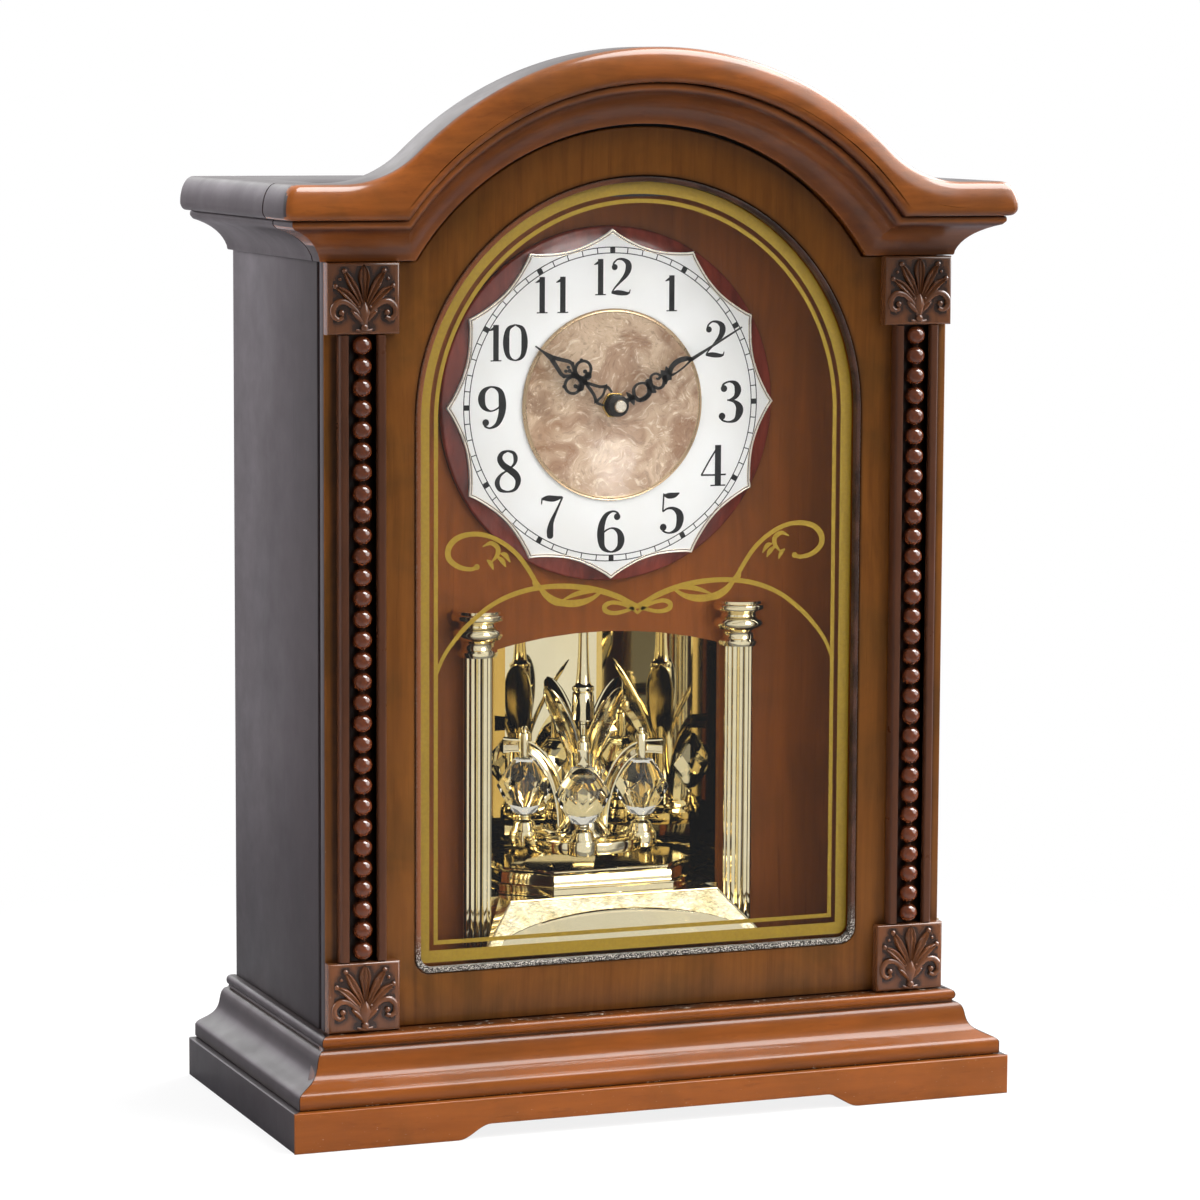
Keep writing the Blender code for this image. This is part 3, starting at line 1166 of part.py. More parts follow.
def make_pendulum_plinth(finish):
    front, rear = DOOR_FACE + PLINTH_FRONT_SETBACK, DOOR_FACE + PLINTH_REAR_SETBACK
    rear_half = PLINTH_HALF_WIDTH - PLINTH_CHAMFER
    half, chamfer = PLINTH_HALF_WIDTH, PLINTH_CHAMFER
    waist = front + chamfer
    base = TRAY_TOP + GAP
    levels = (
        (0.0, 0.0), (0.0, 0.38), (0.55, 0.50), (0.65, 0.62), (0.80, 0.80), (1.0, 0.88), (1.0, 1.0),
    )
    loops = []
    for inset_share, height_share in levels:
        inset = PLINTH_STEP_INSET * inset_share
        z = base + PENDULUM_PLINTH_HEIGHT * height_share
        loops.append([
            Vector((-half + chamfer + inset / 2, front + inset, z)),
            Vector((half - chamfer - inset / 2, front + inset, z)),
            Vector((half - inset, waist + inset / 2, z)),
            Vector((rear_half - inset / 2, rear - inset, z)),
            Vector((-rear_half + inset / 2, rear - inset, z)),
            Vector((-half + inset, waist + inset / 2, z)),
        ])
    add_object("pendulum_plinth", bridge(loops), finish["gilt"])


# Pendulum: its own axis is the local Z axis of the turned empty
def add_pendulum_piece(name, bm, material, axis, smooth=False):
    obj = add_object(name, bm, material, smooth=smooth)
    obj.parent = axis
    return obj


def around(radius, angle, z):
    """A point on the pendulum: angle 0 is its front, towards local -Y."""
    return Vector((radius * sin(angle), -radius * cos(angle), z))


def arm_shape(angle):
    """A quarter-arched arm that rises beside the hub and ends flat over its crystal."""
    loops = []
    steps = 7
    half, thick = ARM_WIDTH / 2, ARM_THICKNESS
    span = ARM_OUTER - ARM_END_LENGTH - ARM_INNER
    rise = ARM_TOP - ARM_FOOT
    path = []
    for k in range(steps + 1):
        t = pi / 2 * k / steps
        path.append((ARM_INNER + span * (1 - cos(t)), ARM_FOOT + rise * sin(t), t))
    path.append((ARM_OUTER, ARM_TOP, pi / 2))
    for radius, z, t in path:
        out = Vector((sin(t), -cos(t)))
        loop = []
        for across, lift in ((-half, -0.5), (half, -0.5), (half, 0.5), (-half, 0.5)):
            r = radius - out.y * -thick * lift
            height = z + out.x * thick * lift
            side = Vector((cos(angle), sin(angle), 0)) * across
            loop.append(around(r, angle, height) + side)
        loops.append(loop)
    return bridge(loops)


def leaf_shape(angle):
    """A pointed leaf that leans out from the hub, ridged along its middle."""
    loops = []
    steps = 6
    side = Vector((cos(angle), sin(angle), 0))
    root_orbit = HUB_RADIUS * 0.55
    for k in range(steps + 1):
        t = k / steps
        orbit = root_orbit + (LEAF_TIP_ORBIT - root_orbit) * t ** 1.5
        z = LEAF_ROOT_Z + (LEAF_TIP_Z - LEAF_ROOT_Z) * t
        half = LEAF_WIDTH / 2 * (0.45 + 0.55 * sin(pi * min(1.0, t * 1.25) * 0.8)) * (1 - t ** 4) + GAP
        thick = LEAF_DEPTH / 2 * (1 - 0.7 * t)
        centre = around(orbit, angle, z)
        out = around(1, angle, 0)
        loops.append([centre - side * half, centre + out * thick, centre + side * half, centre - out * thick])
    return bridge(loops)


def make_pendulum(finish, axis):
    outline = []
    sides = 2 * ROUND_SIDES
    for k in range(sides):
        angle = 2 * pi * k / sides
        turn = abs((angle + pi / 4) % (pi / 2) - pi / 4)
        outline.append((PLATFORM_RADIUS + (PLATFORM_LOBE if turn < LOBE_HALF_ANGLE else 0), angle))
    top = PLATFORM_TOP
    loops = []
    for inset, z in ((PLATFORM_BEVEL, PLATFORM_BOTTOM), (0, PLATFORM_BOTTOM + PLATFORM_BEVEL), (0, top - PLATFORM_BEVEL), (2 * PLATFORM_BEVEL, top)):
        loops.append([around(radius - inset, angle, z) for radius, angle in outline])
    crown = add_pendulum_piece("pendulum_crown", bridge(loops), finish["gilt"], axis)
    centre = Vector((0, 0, 0))
    hub_shares = ((1.9, 0.0), (1.7, 0.10), (1.1, 0.22), (0.95, 0.5), (1.0, 1.0))
    base = top - PLATFORM_BEVEL
    hub = [(HUB_RADIUS * r, base + (HUB_TOP - base) * h) for r, h in hub_shares]
    combine(crown, turned(hub, centre, along_z, SMALL_SIDES), "UNION")
    finial_top = CRYSTAL_Z - CRYSTAL_RADIUS - GAP
    finial_shares = ((1.0, 0.0), (0.92, 0.35), (0.62, 0.75), (0.46, 1.0))
    for k in range(4):
        angle = pi / 2 * k
        spot = around(CRYSTAL_ORBIT, angle, 0)
        finial = [(FINIAL_FOOT_RADIUS * r, base + (finial_top - base) * h) for r, h in finial_shares]
        combine(crown, turned(finial, spot, along_z, SMALL_SIDES), "UNION")
        combine(crown, arm_shape(angle), "UNION")
        pin_foot = CRYSTAL_Z + CRYSTAL_RADIUS + GAP
        pin = [(ARM_PIN_RADIUS, pin_foot), (ARM_PIN_RADIUS, ARM_PIN_TOP - ARM_PIN_RADIUS), (ARM_PIN_RADIUS / 2, ARM_PIN_TOP)]
        combine(crown, turned(pin, spot, along_z, PEARL_SIDES), "UNION")
        combine(crown, leaf_shape(angle + pi / 4), "UNION")
    rod = STEM_TOP - HUB_TOP
    ring = (STEM_RING_Z - HUB_TOP) / rod
    stem = [
        (STEM_FOOT_RADIUS, HUB_TOP + GAP), (STEM_RING_RADIUS * 0.86, STEM_RING_Z - rod * 0.05),
        (STEM_RING_RADIUS, HUB_TOP + rod * (ring - 0.02)), (STEM_RING_RADIUS, STEM_RING_Z),
        (STEM_RING_RADIUS * 0.70, STEM_RING_Z + rod * 0.02), (STEM_RING_RADIUS * 0.56, STEM_RING_Z + rod * 0.14),
        (STEM_TOP_RADIUS, DRIVE_BOTTOM - OVERRUN / 2), (STEM_SHANK_RADIUS, DRIVE_BOTTOM - OVERRUN / 2),
        (STEM_SHANK_RADIUS, STEM_TOP),
    ]
    add_pendulum_piece("pendulum_stem", turned(stem, centre, along_z, SMALL_SIDES), finish["gilt"], axis, smooth=True)
    facet_shares = ((0.38, -1.0), (0.78, -0.62), (1.0, -0.16), (1.0, 0.16), (0.78, 0.62), (0.38, 1.0))
    names = ("front_crystal", "right_crystal", "rear_crystal", "left_crystal")
    for k, name in enumerate(names):
        spot = around(CRYSTAL_ORBIT, pi / 2 * k, 0)
        gem = [(CRYSTAL_RADIUS * r, CRYSTAL_Z + CRYSTAL_RADIUS * h) for r, h in facet_shares]
        add_pendulum_piece(name, turned(gem, spot, along_z, CRYSTAL_SIDES), finish["crystal"], axis)


def make_drive_unit(finish):
    front = BOARD_REAR + GAP
    body = box(-DRIVE_HALF_WIDTH, DRIVE_HALF_WIDTH, front, PENDULUM_Y + DRIVE_REAR_REACH, DRIVE_BOTTOM, DRIVE_BOTTOM + DRIVE_HEIGHT)
    unit = add_object("pendulum_drive_unit", body, finish["movement_plastic"])
    bore = STEM_SHANK_RADIUS + GAP
    centre = Vector((0, PENDULUM_Y, 0))
    hole = turned([(bore, DRIVE_BOTTOM - OVERRUN), (bore, DRIVE_BOTTOM + DRIVE_BORE_DEPTH)], centre, along_z, SMALL_SIDES)
    combine(unit, hole, "DIFFERENCE")


# Back panel and hatch
def make_back(finish, axis):
    half = HALF_WIDTH - SIDE_THICKNESS - BACK_CLEARANCE
    low, high = BASE_BOARD_BOTTOM, ROOF_BOTTOM - BACK_CLEARANCE
    outline = [(-half, low), (half, low), (half, high), (-half, high)]
    window = [
        (-HATCH_HALF_WIDTH, HATCH_BOTTOM), (HATCH_HALF_WIDTH, HATCH_BOTTOM),
        (HATCH_HALF_WIDTH, HATCH_TOP), (-HATCH_HALF_WIDTH, HATCH_TOP),
    ]
    panel = plate([outline, window], along_y, BACK_INNER + GAP, BACK_OUTER)
    add_object("back_panel", panel, finish["back_board"])
    slack = HATCH_CLEARANCE
    edge = HATCH_HALF_WIDTH - slack
    cover = box(-edge, edge, BACK_OUTER - HATCH_THICKNESS, BACK_OUTER, HATCH_BOTTOM + slack, HATCH_TOP - slack)
    hatch = add_object("rear_hatch", cover, finish["movement_plastic"], axis=axis)
    ridge_x = edge - HATCH_RIDGE_INSET
    middle = (HATCH_BOTTOM + HATCH_TOP) / 2
    ridge = box(
        ridge_x, ridge_x + HATCH_RIDGE_WIDTH, BACK_OUTER - GAP, BACK_OUTER + HATCH_RIDGE_HEIGHT,
        middle - HATCH_RIDGE_HALF_LENGTH, middle + HATCH_RIDGE_HALF_LENGTH,
    )
    combine(hatch, ridge, "UNION")
    sizes = (HATCH_BARREL_RADIUS, HATCH_PIN_RADIUS, HATCH_LEAF_THICKNESS, HATCH_LEAF_REACH, HATCH_LEAF_HEIGHT)
    plates = ((-1, BACK_OUTER + GAP), (1, BACK_OUTER + GAP))
    shapes = hinge_leaves(HATCH_HINGE_X, HATCH_HINGE_Y, middle, plates, sizes)
    add_hinge(("hatch_hinge_case_leaf", "hatch_hinge_hatch_leaf"), shapes, finish["brass"], (None, axis))


def main():
    clear_scene()
    finish = make_finishes()
    wheel_x = -GEAR_CENTRES
    hand_axes = {
        "minute": new_axis("minute_axis", (0, DISC_FRONT, ARCH_CENTRE_Z)),
        "hour": new_axis("hour_axis", (0, DISC_FRONT, ARCH_CENTRE_Z)),
        "intermediate": new_axis("intermediate_axis", (wheel_x, MOVEMENT_FRONT, ARCH_CENTRE_Z)),
        "setting": new_axis("setting_axis", (wheel_x, MOVEMENT_FRONT, ARCH_CENTRE_Z - GEAR_CENTRES)),
    }
    door_axis = new_axis("door_axis", (DOOR_HINGE_X, DOOR_HINGE_Y, MOULDING_TOP))
    hatch_axis = new_axis("hatch_axis", (HATCH_HINGE_X, HATCH_HINGE_Y, HATCH_BOTTOM))
    pendulum_axis = new_axis("pendulum_axis", (0, PENDULUM_Y, 0), PENDULUM_REST_TURN)
    make_plinth(finish)
    make_base_mouldings(finish)
    make_carcase(finish)
    make_front_cornice(finish)
    make_cornice_returns(finish)
    make_door(finish, door_axis)
    make_rosettes(finish, door_axis)
    make_pilasters(finish, door_axis)
    make_door_fittings(finish, door_axis)
    make_dial_board(finish)
    make_dial(finish)
    make_movement(finish, hand_axes)
    make_hands(finish, hand_axes)
    make_tray(finish)
    make_chamber_walls(finish)
    make_columns(finish)
    make_pendulum_plinth(finish)
    make_pendulum(finish, pendulum_axis)
    make_drive_unit(finish)
    make_back(finish, hatch_axis)


main()
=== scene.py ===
"""Looks of an arched mantel clock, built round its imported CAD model.

The file is laid out as an add-on and is run as a script. Metres, +Z up, front towards -Y.
"""

import json
from math import asin, atan2, cos, pi, radians, sin, sqrt

import bmesh
import bpy
from bpy.props import FloatProperty, FloatVectorProperty, IntProperty, PointerProperty
from mathutils import Matrix, Vector

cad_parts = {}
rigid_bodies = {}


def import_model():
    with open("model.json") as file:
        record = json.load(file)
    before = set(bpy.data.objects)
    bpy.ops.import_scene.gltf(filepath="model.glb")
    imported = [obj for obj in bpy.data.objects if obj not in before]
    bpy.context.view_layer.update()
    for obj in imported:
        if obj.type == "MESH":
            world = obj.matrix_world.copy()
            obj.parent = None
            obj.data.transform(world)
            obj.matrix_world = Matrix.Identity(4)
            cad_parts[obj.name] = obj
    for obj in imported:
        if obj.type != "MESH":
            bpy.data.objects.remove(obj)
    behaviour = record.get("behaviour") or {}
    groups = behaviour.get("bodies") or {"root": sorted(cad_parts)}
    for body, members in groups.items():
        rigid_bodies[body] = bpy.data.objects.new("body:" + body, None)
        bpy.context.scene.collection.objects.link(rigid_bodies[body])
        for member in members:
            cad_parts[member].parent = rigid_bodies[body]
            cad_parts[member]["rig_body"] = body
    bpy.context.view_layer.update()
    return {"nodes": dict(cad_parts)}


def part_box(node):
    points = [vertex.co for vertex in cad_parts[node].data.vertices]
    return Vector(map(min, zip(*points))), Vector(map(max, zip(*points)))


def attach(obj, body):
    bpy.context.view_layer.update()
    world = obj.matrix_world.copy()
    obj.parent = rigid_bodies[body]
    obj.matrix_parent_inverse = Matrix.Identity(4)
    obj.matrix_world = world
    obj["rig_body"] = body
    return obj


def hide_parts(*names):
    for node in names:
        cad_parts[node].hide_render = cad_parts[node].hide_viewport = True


bl_info = {
    "name": "Arched Mantel Clock",
    "version": (1, 0, 0),
    "blender": (4, 5, 0),
    "location": "3D View > Sidebar > Clock",
    "description": "Visible pieces, finishes and stage of an arched mantel clock",
    "category": "Object",
}

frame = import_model()
SPAN = {name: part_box(name) for name in frame["nodes"]}
BODY_OF = {name: obj["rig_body"] for name, obj in frame["nodes"].items()}


def low(node):
    return SPAN[node][0]


def high(node):
    return SPAN[node][1]


def middle(node):
    return (SPAN[node][0] + SPAN[node][1]) / 2


# Left and right: direction along x, and the word in the names of pieces
SIDES = ((-1, "left"), (1, "right"))
# Clearance between the faces of neighbouring pieces
SLACK = 0.0003

# Places read from the frame
DOOR_FACE, DOOR_REAR = low("door_panel").y, high("door_panel").y
HALF_WIDTH = high("door_panel").x
REAR = high("roof_panel").y
SOFFIT, CROWN = low("cornice_front").z, high("cornice_front").z
EAVE_TOP = high("roof_panel").z
CORNICE_HEIGHT = EAVE_TOP - SOFFIT
CORNICE_OUT = DOOR_FACE - low("cornice_front").y
CORNICE_REAR = high("cornice_front").y
RETURN_FRONT = low("cornice_left_return").y
BASE_FRONT = low("plinth_front_rail").y
BASE_HALF = high("plinth_front_rail").x
PLINTH_TOP = high("plinth_front_rail").z
MOULDING_FOOT, MOULDING_TOP = low("base_moulding_front").z, high("base_moulding_front").z
BASE_OUT = BASE_HALF - HALF_WIDTH
OPENING_HALF = high("glass_pane").x + SLACK
OPENING_FOOT = low("glass_pane").z - SLACK
OPENING_SPRING = high("glass_pane").z + SLACK - OPENING_HALF
GLASS_FRONT, GLASS_REAR = low("glass_pane").y, high("glass_pane").y
BOARD_FRONT = low("dial_board").y
DIAL_Z = middle("dial_backing_ring").z
RING_RADIUS = high("dial_backing_ring").x
RING_FRONT = low("dial_backing_ring").y
DIAL_RADIUS = high("dial_plate").x
DIAL_FRONT = low("dial_plate").y
DISC_RADIUS = high("dial_centre_disc").x
DISC_FRONT = low("dial_centre_disc").y
ARCH_RADIUS = CROWN - CORNICE_HEIGHT - DIAL_Z
PENDULUM_Y = middle("pendulum_stem").y
PLATFORM_BOTTOM = low("pendulum_crown").z
BACK_OUTER = high("back_panel").y

# Sections of the cornice and the base, and other sizes that the frame's boxes don't give
COVE_HEIGHT, COVE_REACH, CORNICE_LEDGE = 0.0129, 0.015, 0.002
FILLET_HEIGHT, FILLET_STEP = 0.0036, 0.0013
NOSE_INSET, NOSE_TOP, NOSE_SHOULDER, NOSE_FOOT, NOSE_REAR = 0.0027, 0.0056, 0.0105, 0.0034, 0.0015
CORNER_RADIUS, REVERSE_RADIUS = 0.0035, 0.045
RAIL_THICKNESS = 0.012
OPENING_STEPS = 64
BRACKET_HALF, BRACKET_RISE, BRACKET_RAMP = 0.0875, 0.0058, 0.014
PENDULUM_TURN = radians(-21)
HOUR_ANGLE, MINUTE_ANGLE = radians(305), radians(60)


def length_property(name, description, default):
    return FloatProperty(name=name, description=description, default=default, unit="LENGTH")


def power_property(name, description, default):
    return FloatProperty(name=name, description=description, default=default, unit="POWER")


class ClockSizes(bpy.types.PropertyGroup):
    pearl_radius: length_property("Pearl radius", "Radius of the turned pearls in the pilasters", 0.004)
    pearl_count: IntProperty(name="Pearls", description="Pearls in each pilaster", default=30, min=4)
    carving_rise: length_property("Carving rise", "How far the palmettes stand proud of their blocks", 0.0021)
    edge_round: length_property("Edge rounding", "Radius on the edges of boards and rails", 0.0007)
    flute_count: IntProperty(name="Flutes", description="Flutes round each column", default=16, min=6)
    numeral_height: length_property("Numeral height", "Height of the dial's smaller numerals", 0.0144)
    numeral_orbit: length_property("Numeral orbit", "From the dial's centre to the numerals' centres", 0.0525)


def linear(code):
    """A linear colour from a screen colour such as C08040."""
    parts = [int(code[i:i + 2], 16) / 255 for i in (0, 2, 4)]
    return (*[part / 12.92 if part <= 0.04045 else ((part + 0.055) / 1.055) ** 2.4 for part in parts], 1.0)


def colour_property(name, description, code):
    return FloatVectorProperty(
        name=name, description=description, subtype="COLOR", size=4, min=0, max=1, default=linear(code),
    )


class ClockColours(bpy.types.PropertyGroup):
    nose: colour_property("Nose", "Bright stain on the cornice's nose and fillets", "864818")
    door: colour_property("Door", "Stain on the door's frame", "6E421A")
    plinth: colour_property("Plinth", "Stain on the plinth and base moulding", "7B4114")
    carved: colour_property("Carving", "Stain on the carved blocks and pearls", "623A22")
    board: colour_property("Dial board", "Stain on the board behind the glass", "874813")
    # The glazing colour also paints shade into recesses, coves, grooves and under edges.
    glaze: colour_property("Glaze", "Dark glaze that fills the recesses", "2B1A12")
    side: colour_property("Sides", "Near-black lacquer on the sides and returns", "322B2F")
    gilt: colour_property("Gilding", "Plated metal of the alcove and pendulum", "FAEDC6")
    print: colour_property("Gold print", "Bands and scrolls printed on the glass", "987A18")
    dial: colour_property("Dial", "Enamel of the dial", "F4F4F2")


class ClockStage(bpy.types.PropertyGroup):
    key_power: power_property("Key", "Power of the main softbox", 9.5)
    fill_power: power_property("Fill", "Power of the large softbox on the left", 7.0)
    top_power: power_property("Top", "Power of the overhead softbox", 10.0)
    room: FloatProperty(name="Room", description="Level of the dim room in front of the clock", default=0.2)


# Shapes
def along_x(u, v, w):
    return Vector((w, u, v))


def along_y(u, v, w):
    return Vector((u, w, v))


def along_z(u, v, w):
    return Vector((u, v, w))


def arc(centre_u, centre_v, radius, start, end, steps):
    angles = [start + (end - start) * k / steps for k in range(steps + 1)]
    return [(centre_u + radius * cos(a), centre_v + radius * sin(a)) for a in angles]


def circle(radius, sides=64, u=0.0, v=0.0):
    return arc(u, v, radius, 0, 2 * pi, sides)[:-1]


def mirrored(points):
    """A closed outline from its right half, listed from the foot to the top."""
    return points + [(-u, v) for u, v in reversed(points) if abs(u) > SLACK]


def filleted(points, radius, steps=4):
    """A closed loop with its corners rounded."""
    loop = []
    for i, point in enumerate(points):
        corner = Vector(point)
        back, forth = Vector(points[i - 1]) - corner, Vector(points[(i + 1) % len(points)]) - corner
        reach = min(radius, back.length * 0.45, forth.length * 0.45)
        start, end = corner + back.normalized() * reach, corner + forth.normalized() * reach
        for k in range(steps + 1):
            t = k / steps
            loop.append(tuple(start * (1 - t) ** 2 + corner * (2 * t * (1 - t)) + end * t ** 2))
    return loop


def offset(loop, distance):
    """A closed loop moved to its left by a distance, mitred at its corners."""
    moved = []
    for i, point in enumerate(loop):
        a = (Vector(point) - Vector(loop[i - 1])).normalized()
        b = (Vector(loop[(i + 1) % len(loop)]) - Vector(point)).normalized()
        first, second = Vector((-a.y, a.x)), Vector((-b.y, b.x))
        both = first + second
        moved.append(tuple(Vector(point) + both * (distance / max(0.3, both.dot(first)))))
    return moved


def area(loop):
    return sum(a[0] * b[1] - b[0] * a[1] for a, b in zip(loop, loop[1:] + loop[:1])) / 2


def spline(points, steps):
    """Points along a smooth curve through the given ones."""
    given = [Vector(point) for point in points]
    ends = [given[0] * 2 - given[1], *given, given[-1] * 2 - given[-2]]
    curve = []
    for a, b, c, d in zip(ends, ends[1:], ends[2:], ends[3:]):
        for k in range(steps):
            t = k / steps
            square, cube = (a * 2 - b * 5 + c * 4 - d) * t * t, (b * 3 - c * 3 + d - a) * t ** 3
            curve.append((b * 2 + (c - a) * t + square + cube) / 2)
    return curve + [given[-1]]


class Shape:
    """A mesh in the making. Each point has a shade, which is painted shade laid on as dark glazing, and a wear for
    rubbed edges.
    """

    def __init__(self):
        self.bm = bmesh.new()
        self.shade = self.bm.verts.layers.float.new("shade")
        self.wear = self.bm.verts.layers.float.new("wear")

    def ring(self, points, shade=0.0, wear=0.0):
        made = []
        for i, point in enumerate(points):
            vert = self.bm.verts.new(point)
            vert[self.shade] = shade[i] if isinstance(shade, list) else shade
            vert[self.wear] = wear
            made.append(vert)
        return made

    def fill(self, verts, finish=0, smooth=False):
        face = self.bm.faces.new(verts)
        face.material_index = finish
        face.smooth = smooth

    def bridge(self, rings, closed, finish, smooth):
        for ring, following in zip(rings, rings[1:]):
            for i in range(0 if closed else 1, len(ring)):
                self.fill((ring[i - 1], ring[i], following[i], following[i - 1]), finish, smooth)

    def grid(self, rows, closed=False, ends=False, finish=0, smooth=True, shades=None, wears=None):
        """A skin over rows of points; closed joins each row's ends, and ends fills the first and last row."""
        shades, wears = shades or [0.0] * len(rows), wears or [0.0] * len(rows)
        rings = [self.ring(*row) for row in zip(rows, shades, wears)]
        self.bridge(rings, closed, finish, smooth)
        if ends:
            self.fill(rings[0], finish)
            self.fill(rings[-1], finish)
        return rings

    def plate(self, loops, place, start, end, finish=0, round_start=0.0, round_end=0.0, steps=3, wear=0.0):
        """A flat solid: the first loop is its outline, the others are holes. The edges at each end may be rounded."""
        turn = 1 if end > start else -1
        levels = []
        for k in range(steps + 1 if round_start else 1):
            a = pi / 2 * (1 - k / steps)
            rubbed_and_lit = wear if k == 1 else 0.0
            levels.append((round_start * (1 - cos(a)), start + turn * round_start * (1 - sin(a)), rubbed_and_lit))
        for k in range(steps + 1 if round_end else 1):
            a = pi / 2 * k / steps
            levels.append((round_end * (1 - cos(a)), end - turn * round_end * (1 - sin(a)), 0.0))
        caps_at = ([], [])
        for number, loop in enumerate(loops):
            if (area(loop) > 0) == (number > 0):
                loop = loop[::-1]
            rings = []
            for inset, level, rubbed_and_lit in levels:
                points = offset(loop, inset) if inset else loop
                rings.append(self.ring([place(u, v, level) for u, v in points], 0.0, rubbed_and_lit))
            self.bridge(rings, True, finish, True)
            caps_at[0].append(rings[0])
            caps_at[1].append(rings[-1])
        for caps in caps_at:
            if len(caps) == 1:
                self.fill(caps[0], finish)
                continue
            edges = [self.bm.edges.get((ring[i - 1], ring[i])) for ring in caps for i in range(len(ring))]
            for made in bmesh.ops.triangle_fill(self.bm, edges=edges, use_beauty=True)["geom"]:
                if isinstance(made, bmesh.types.BMFace):
                    made.material_index = finish
                    made.smooth = False

    def turned(self, profile, centre, place=along_z, sides=48, shades=None, limit=None):
        """A turned solid: profile is (radius, height). limit cuts it flat at a greatest y."""
        rows = []
        for radius, height in profile:
            row = []
            for k in range(sides):
                a = 2 * pi * (k + 0.5) / sides
                point = place(radius * cos(a), radius * sin(a), height) + centre
                if limit is not None:
                    point.y = min(point.y, limit)
                row.append(point)
            rows.append(row)
        self.grid(rows, closed=True, ends=True, shades=shades)

    def tube(self, path, radii, normal, sides=10):
        """A round rod along a path; normal is a direction that the path never runs along."""
        rows = []
        turns = [2 * pi * k / sides for k in range(sides)]
        for i, point in enumerate(path):
            before, after = path[max(0, i - 1)], path[min(len(path) - 1, i + 1)]
            across = (after - before).cross(normal).normalized()
            radius = radii[i] if isinstance(radii, list) else radii
            rows.append([point + (normal * sin(a) + across * cos(a)) * radius for a in turns])
        self.grid(rows, closed=True, ends=True)

    def ribbon(self, points, place, start, end, finish=0):
        """A flat band along (u, v, width) points."""
        rows = []
        for i, (u, v, width) in enumerate(points):
            before, after = points[max(0, i - 1)], points[min(len(points) - 1, i + 1)]
            along = Vector((after[0] - before[0], after[1] - before[1])).normalized()
            du, dv = -along.y * width / 2, along.x * width / 2
            left, right = (u + du, v + dv), (u - du, v - dv)
            rows.append([place(*left, start), place(*right, start), place(*right, end), place(*left, end)])
        self.grid(rows, closed=True, ends=True, finish=finish, smooth=False)

    def copy_of(self, node, soften=0.0):
        """The CAD node's own solid, with its straight edges softened."""
        bm = bmesh.new()
        bm.from_mesh(frame["nodes"][node].data)
        bmesh.ops.remove_doubles(bm, verts=bm.verts[:], dist=SLACK / 30)
        bmesh.ops.dissolve_limit(bm, angle_limit=radians(1), verts=bm.verts[:], edges=bm.edges[:])
        if soften:
            sharp = [e for e in bm.edges if len(e.link_faces) == 2 and e.calc_face_angle() > radians(40)]
            bmesh.ops.bevel(
                bm, geom=sharp, offset=soften, segments=2, profile=0.5, affect="EDGES", clamp_overlap=True,
            )
        self.take(bm)

    def take(self, bm, shift=Vector()):
        """Adds another mesh's points and faces, moved by a shift."""
        made = {vert: self.bm.verts.new(vert.co + shift) for vert in bm.verts}
        for face in bm.faces:
            self.fill([made[vert] for vert in face.verts])
        bm.free()


def piece(name, shape, finishes, nodes=(), body=None, crease=38):
    """Makes the scene's object from a shape; nodes are the CAD nodes that it stands for."""
    bm = shape.bm
    bmesh.ops.remove_doubles(bm, verts=bm.verts[:], dist=SLACK / 300)
    bmesh.ops.recalc_face_normals(bm, faces=bm.faces[:])
    mesh = bpy.data.meshes.new(name)
    bm.to_mesh(mesh)
    bm.free()
    for word in finishes:
        mesh.materials.append(finish(word))
    mesh.set_sharp_from_angle(angle=radians(crease))
    obj = bpy.data.objects.new(name, mesh)
    bpy.context.scene.collection.objects.link(obj)
    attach(obj, body or BODY_OF[nodes[0]])
    if nodes:
        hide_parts(*nodes)
    return obj


def darken_ends(shape, reach):
    """Gives the faces that look sideways, further out than a reach, the second finish."""
    shape.bm.normal_update()
    for face in shape.bm.faces:
        if abs(face.normal.x) > 0.75 and abs(face.calc_center_median().x) > reach:
            face.material_index = 1


def dress(word, *nodes):
    """Gives CAD nodes that keep their own shape a finish."""
    for name in nodes:
        for slot in frame["nodes"][name].material_slots:
            slot.material = finish(word)


# Shader helpers and shared effects
def plug(tree, value, socket):
    """Links another node's output to a socket, or sets the socket to a plain value."""
    if isinstance(value, bpy.types.NodeSocket):
        tree.links.new(value, socket)
    else:
        socket.default_value = value


def node(tree, kind, sockets=None, **settings):
    made = tree.nodes.new("ShaderNode" + kind)
    for name, value in settings.items():
        setattr(made, name, value)
    for name, value in (sockets or {}).items():
        plug(tree, value, made.inputs[name])
    return made


def math(tree, operation, a, b=0.0, c=0.0, clamp=False):
    return node(tree, "Math", {0: a, 1: b, 2: c}, operation=operation, use_clamp=clamp).outputs[0]


def times(tree, a, b, clamp=False):
    return math(tree, "MULTIPLY", a, b, clamp=clamp)


def inverse(tree, value):
    return math(tree, "SUBTRACT", 1.0, value)


def greater(tree, a, b):
    return math(tree, "MAXIMUM", a, b)


def blend_colour(tree, factor, a, b, mode="MIX"):
    made = node(tree, "Mix", {"Factor": factor}, data_type="RGBA", blend_type=mode)
    for name, value in (("A", a), ("B", b)):
        plug(tree, value, [s for s in made.inputs if s.name == name and s.type == "RGBA"][0])
    return [s for s in made.outputs if s.type == "RGBA"][0]


def ramp(tree, value, start, end):
    """0 below start, 1 above end, smooth between."""
    made = node(tree, "MapRange", {"Value": value, "From Min": start, "From Max": end}, interpolation_type="SMOOTHSTEP")
    return made.outputs["Result"]


def noise(tree, vector, scale, detail=3.0, roughness=0.5, distortion=0.0):
    sockets = {"Vector": vector, "Scale": scale, "Detail": detail, "Roughness": roughness, "Distortion": distortion}
    return node(tree, "TexNoise", sockets).outputs["Fac"]


def scaled(tree, vector, factors):
    return node(tree, "VectorMath", {0: vector, 1: factors}, operation="MULTIPLY").outputs["Vector"]


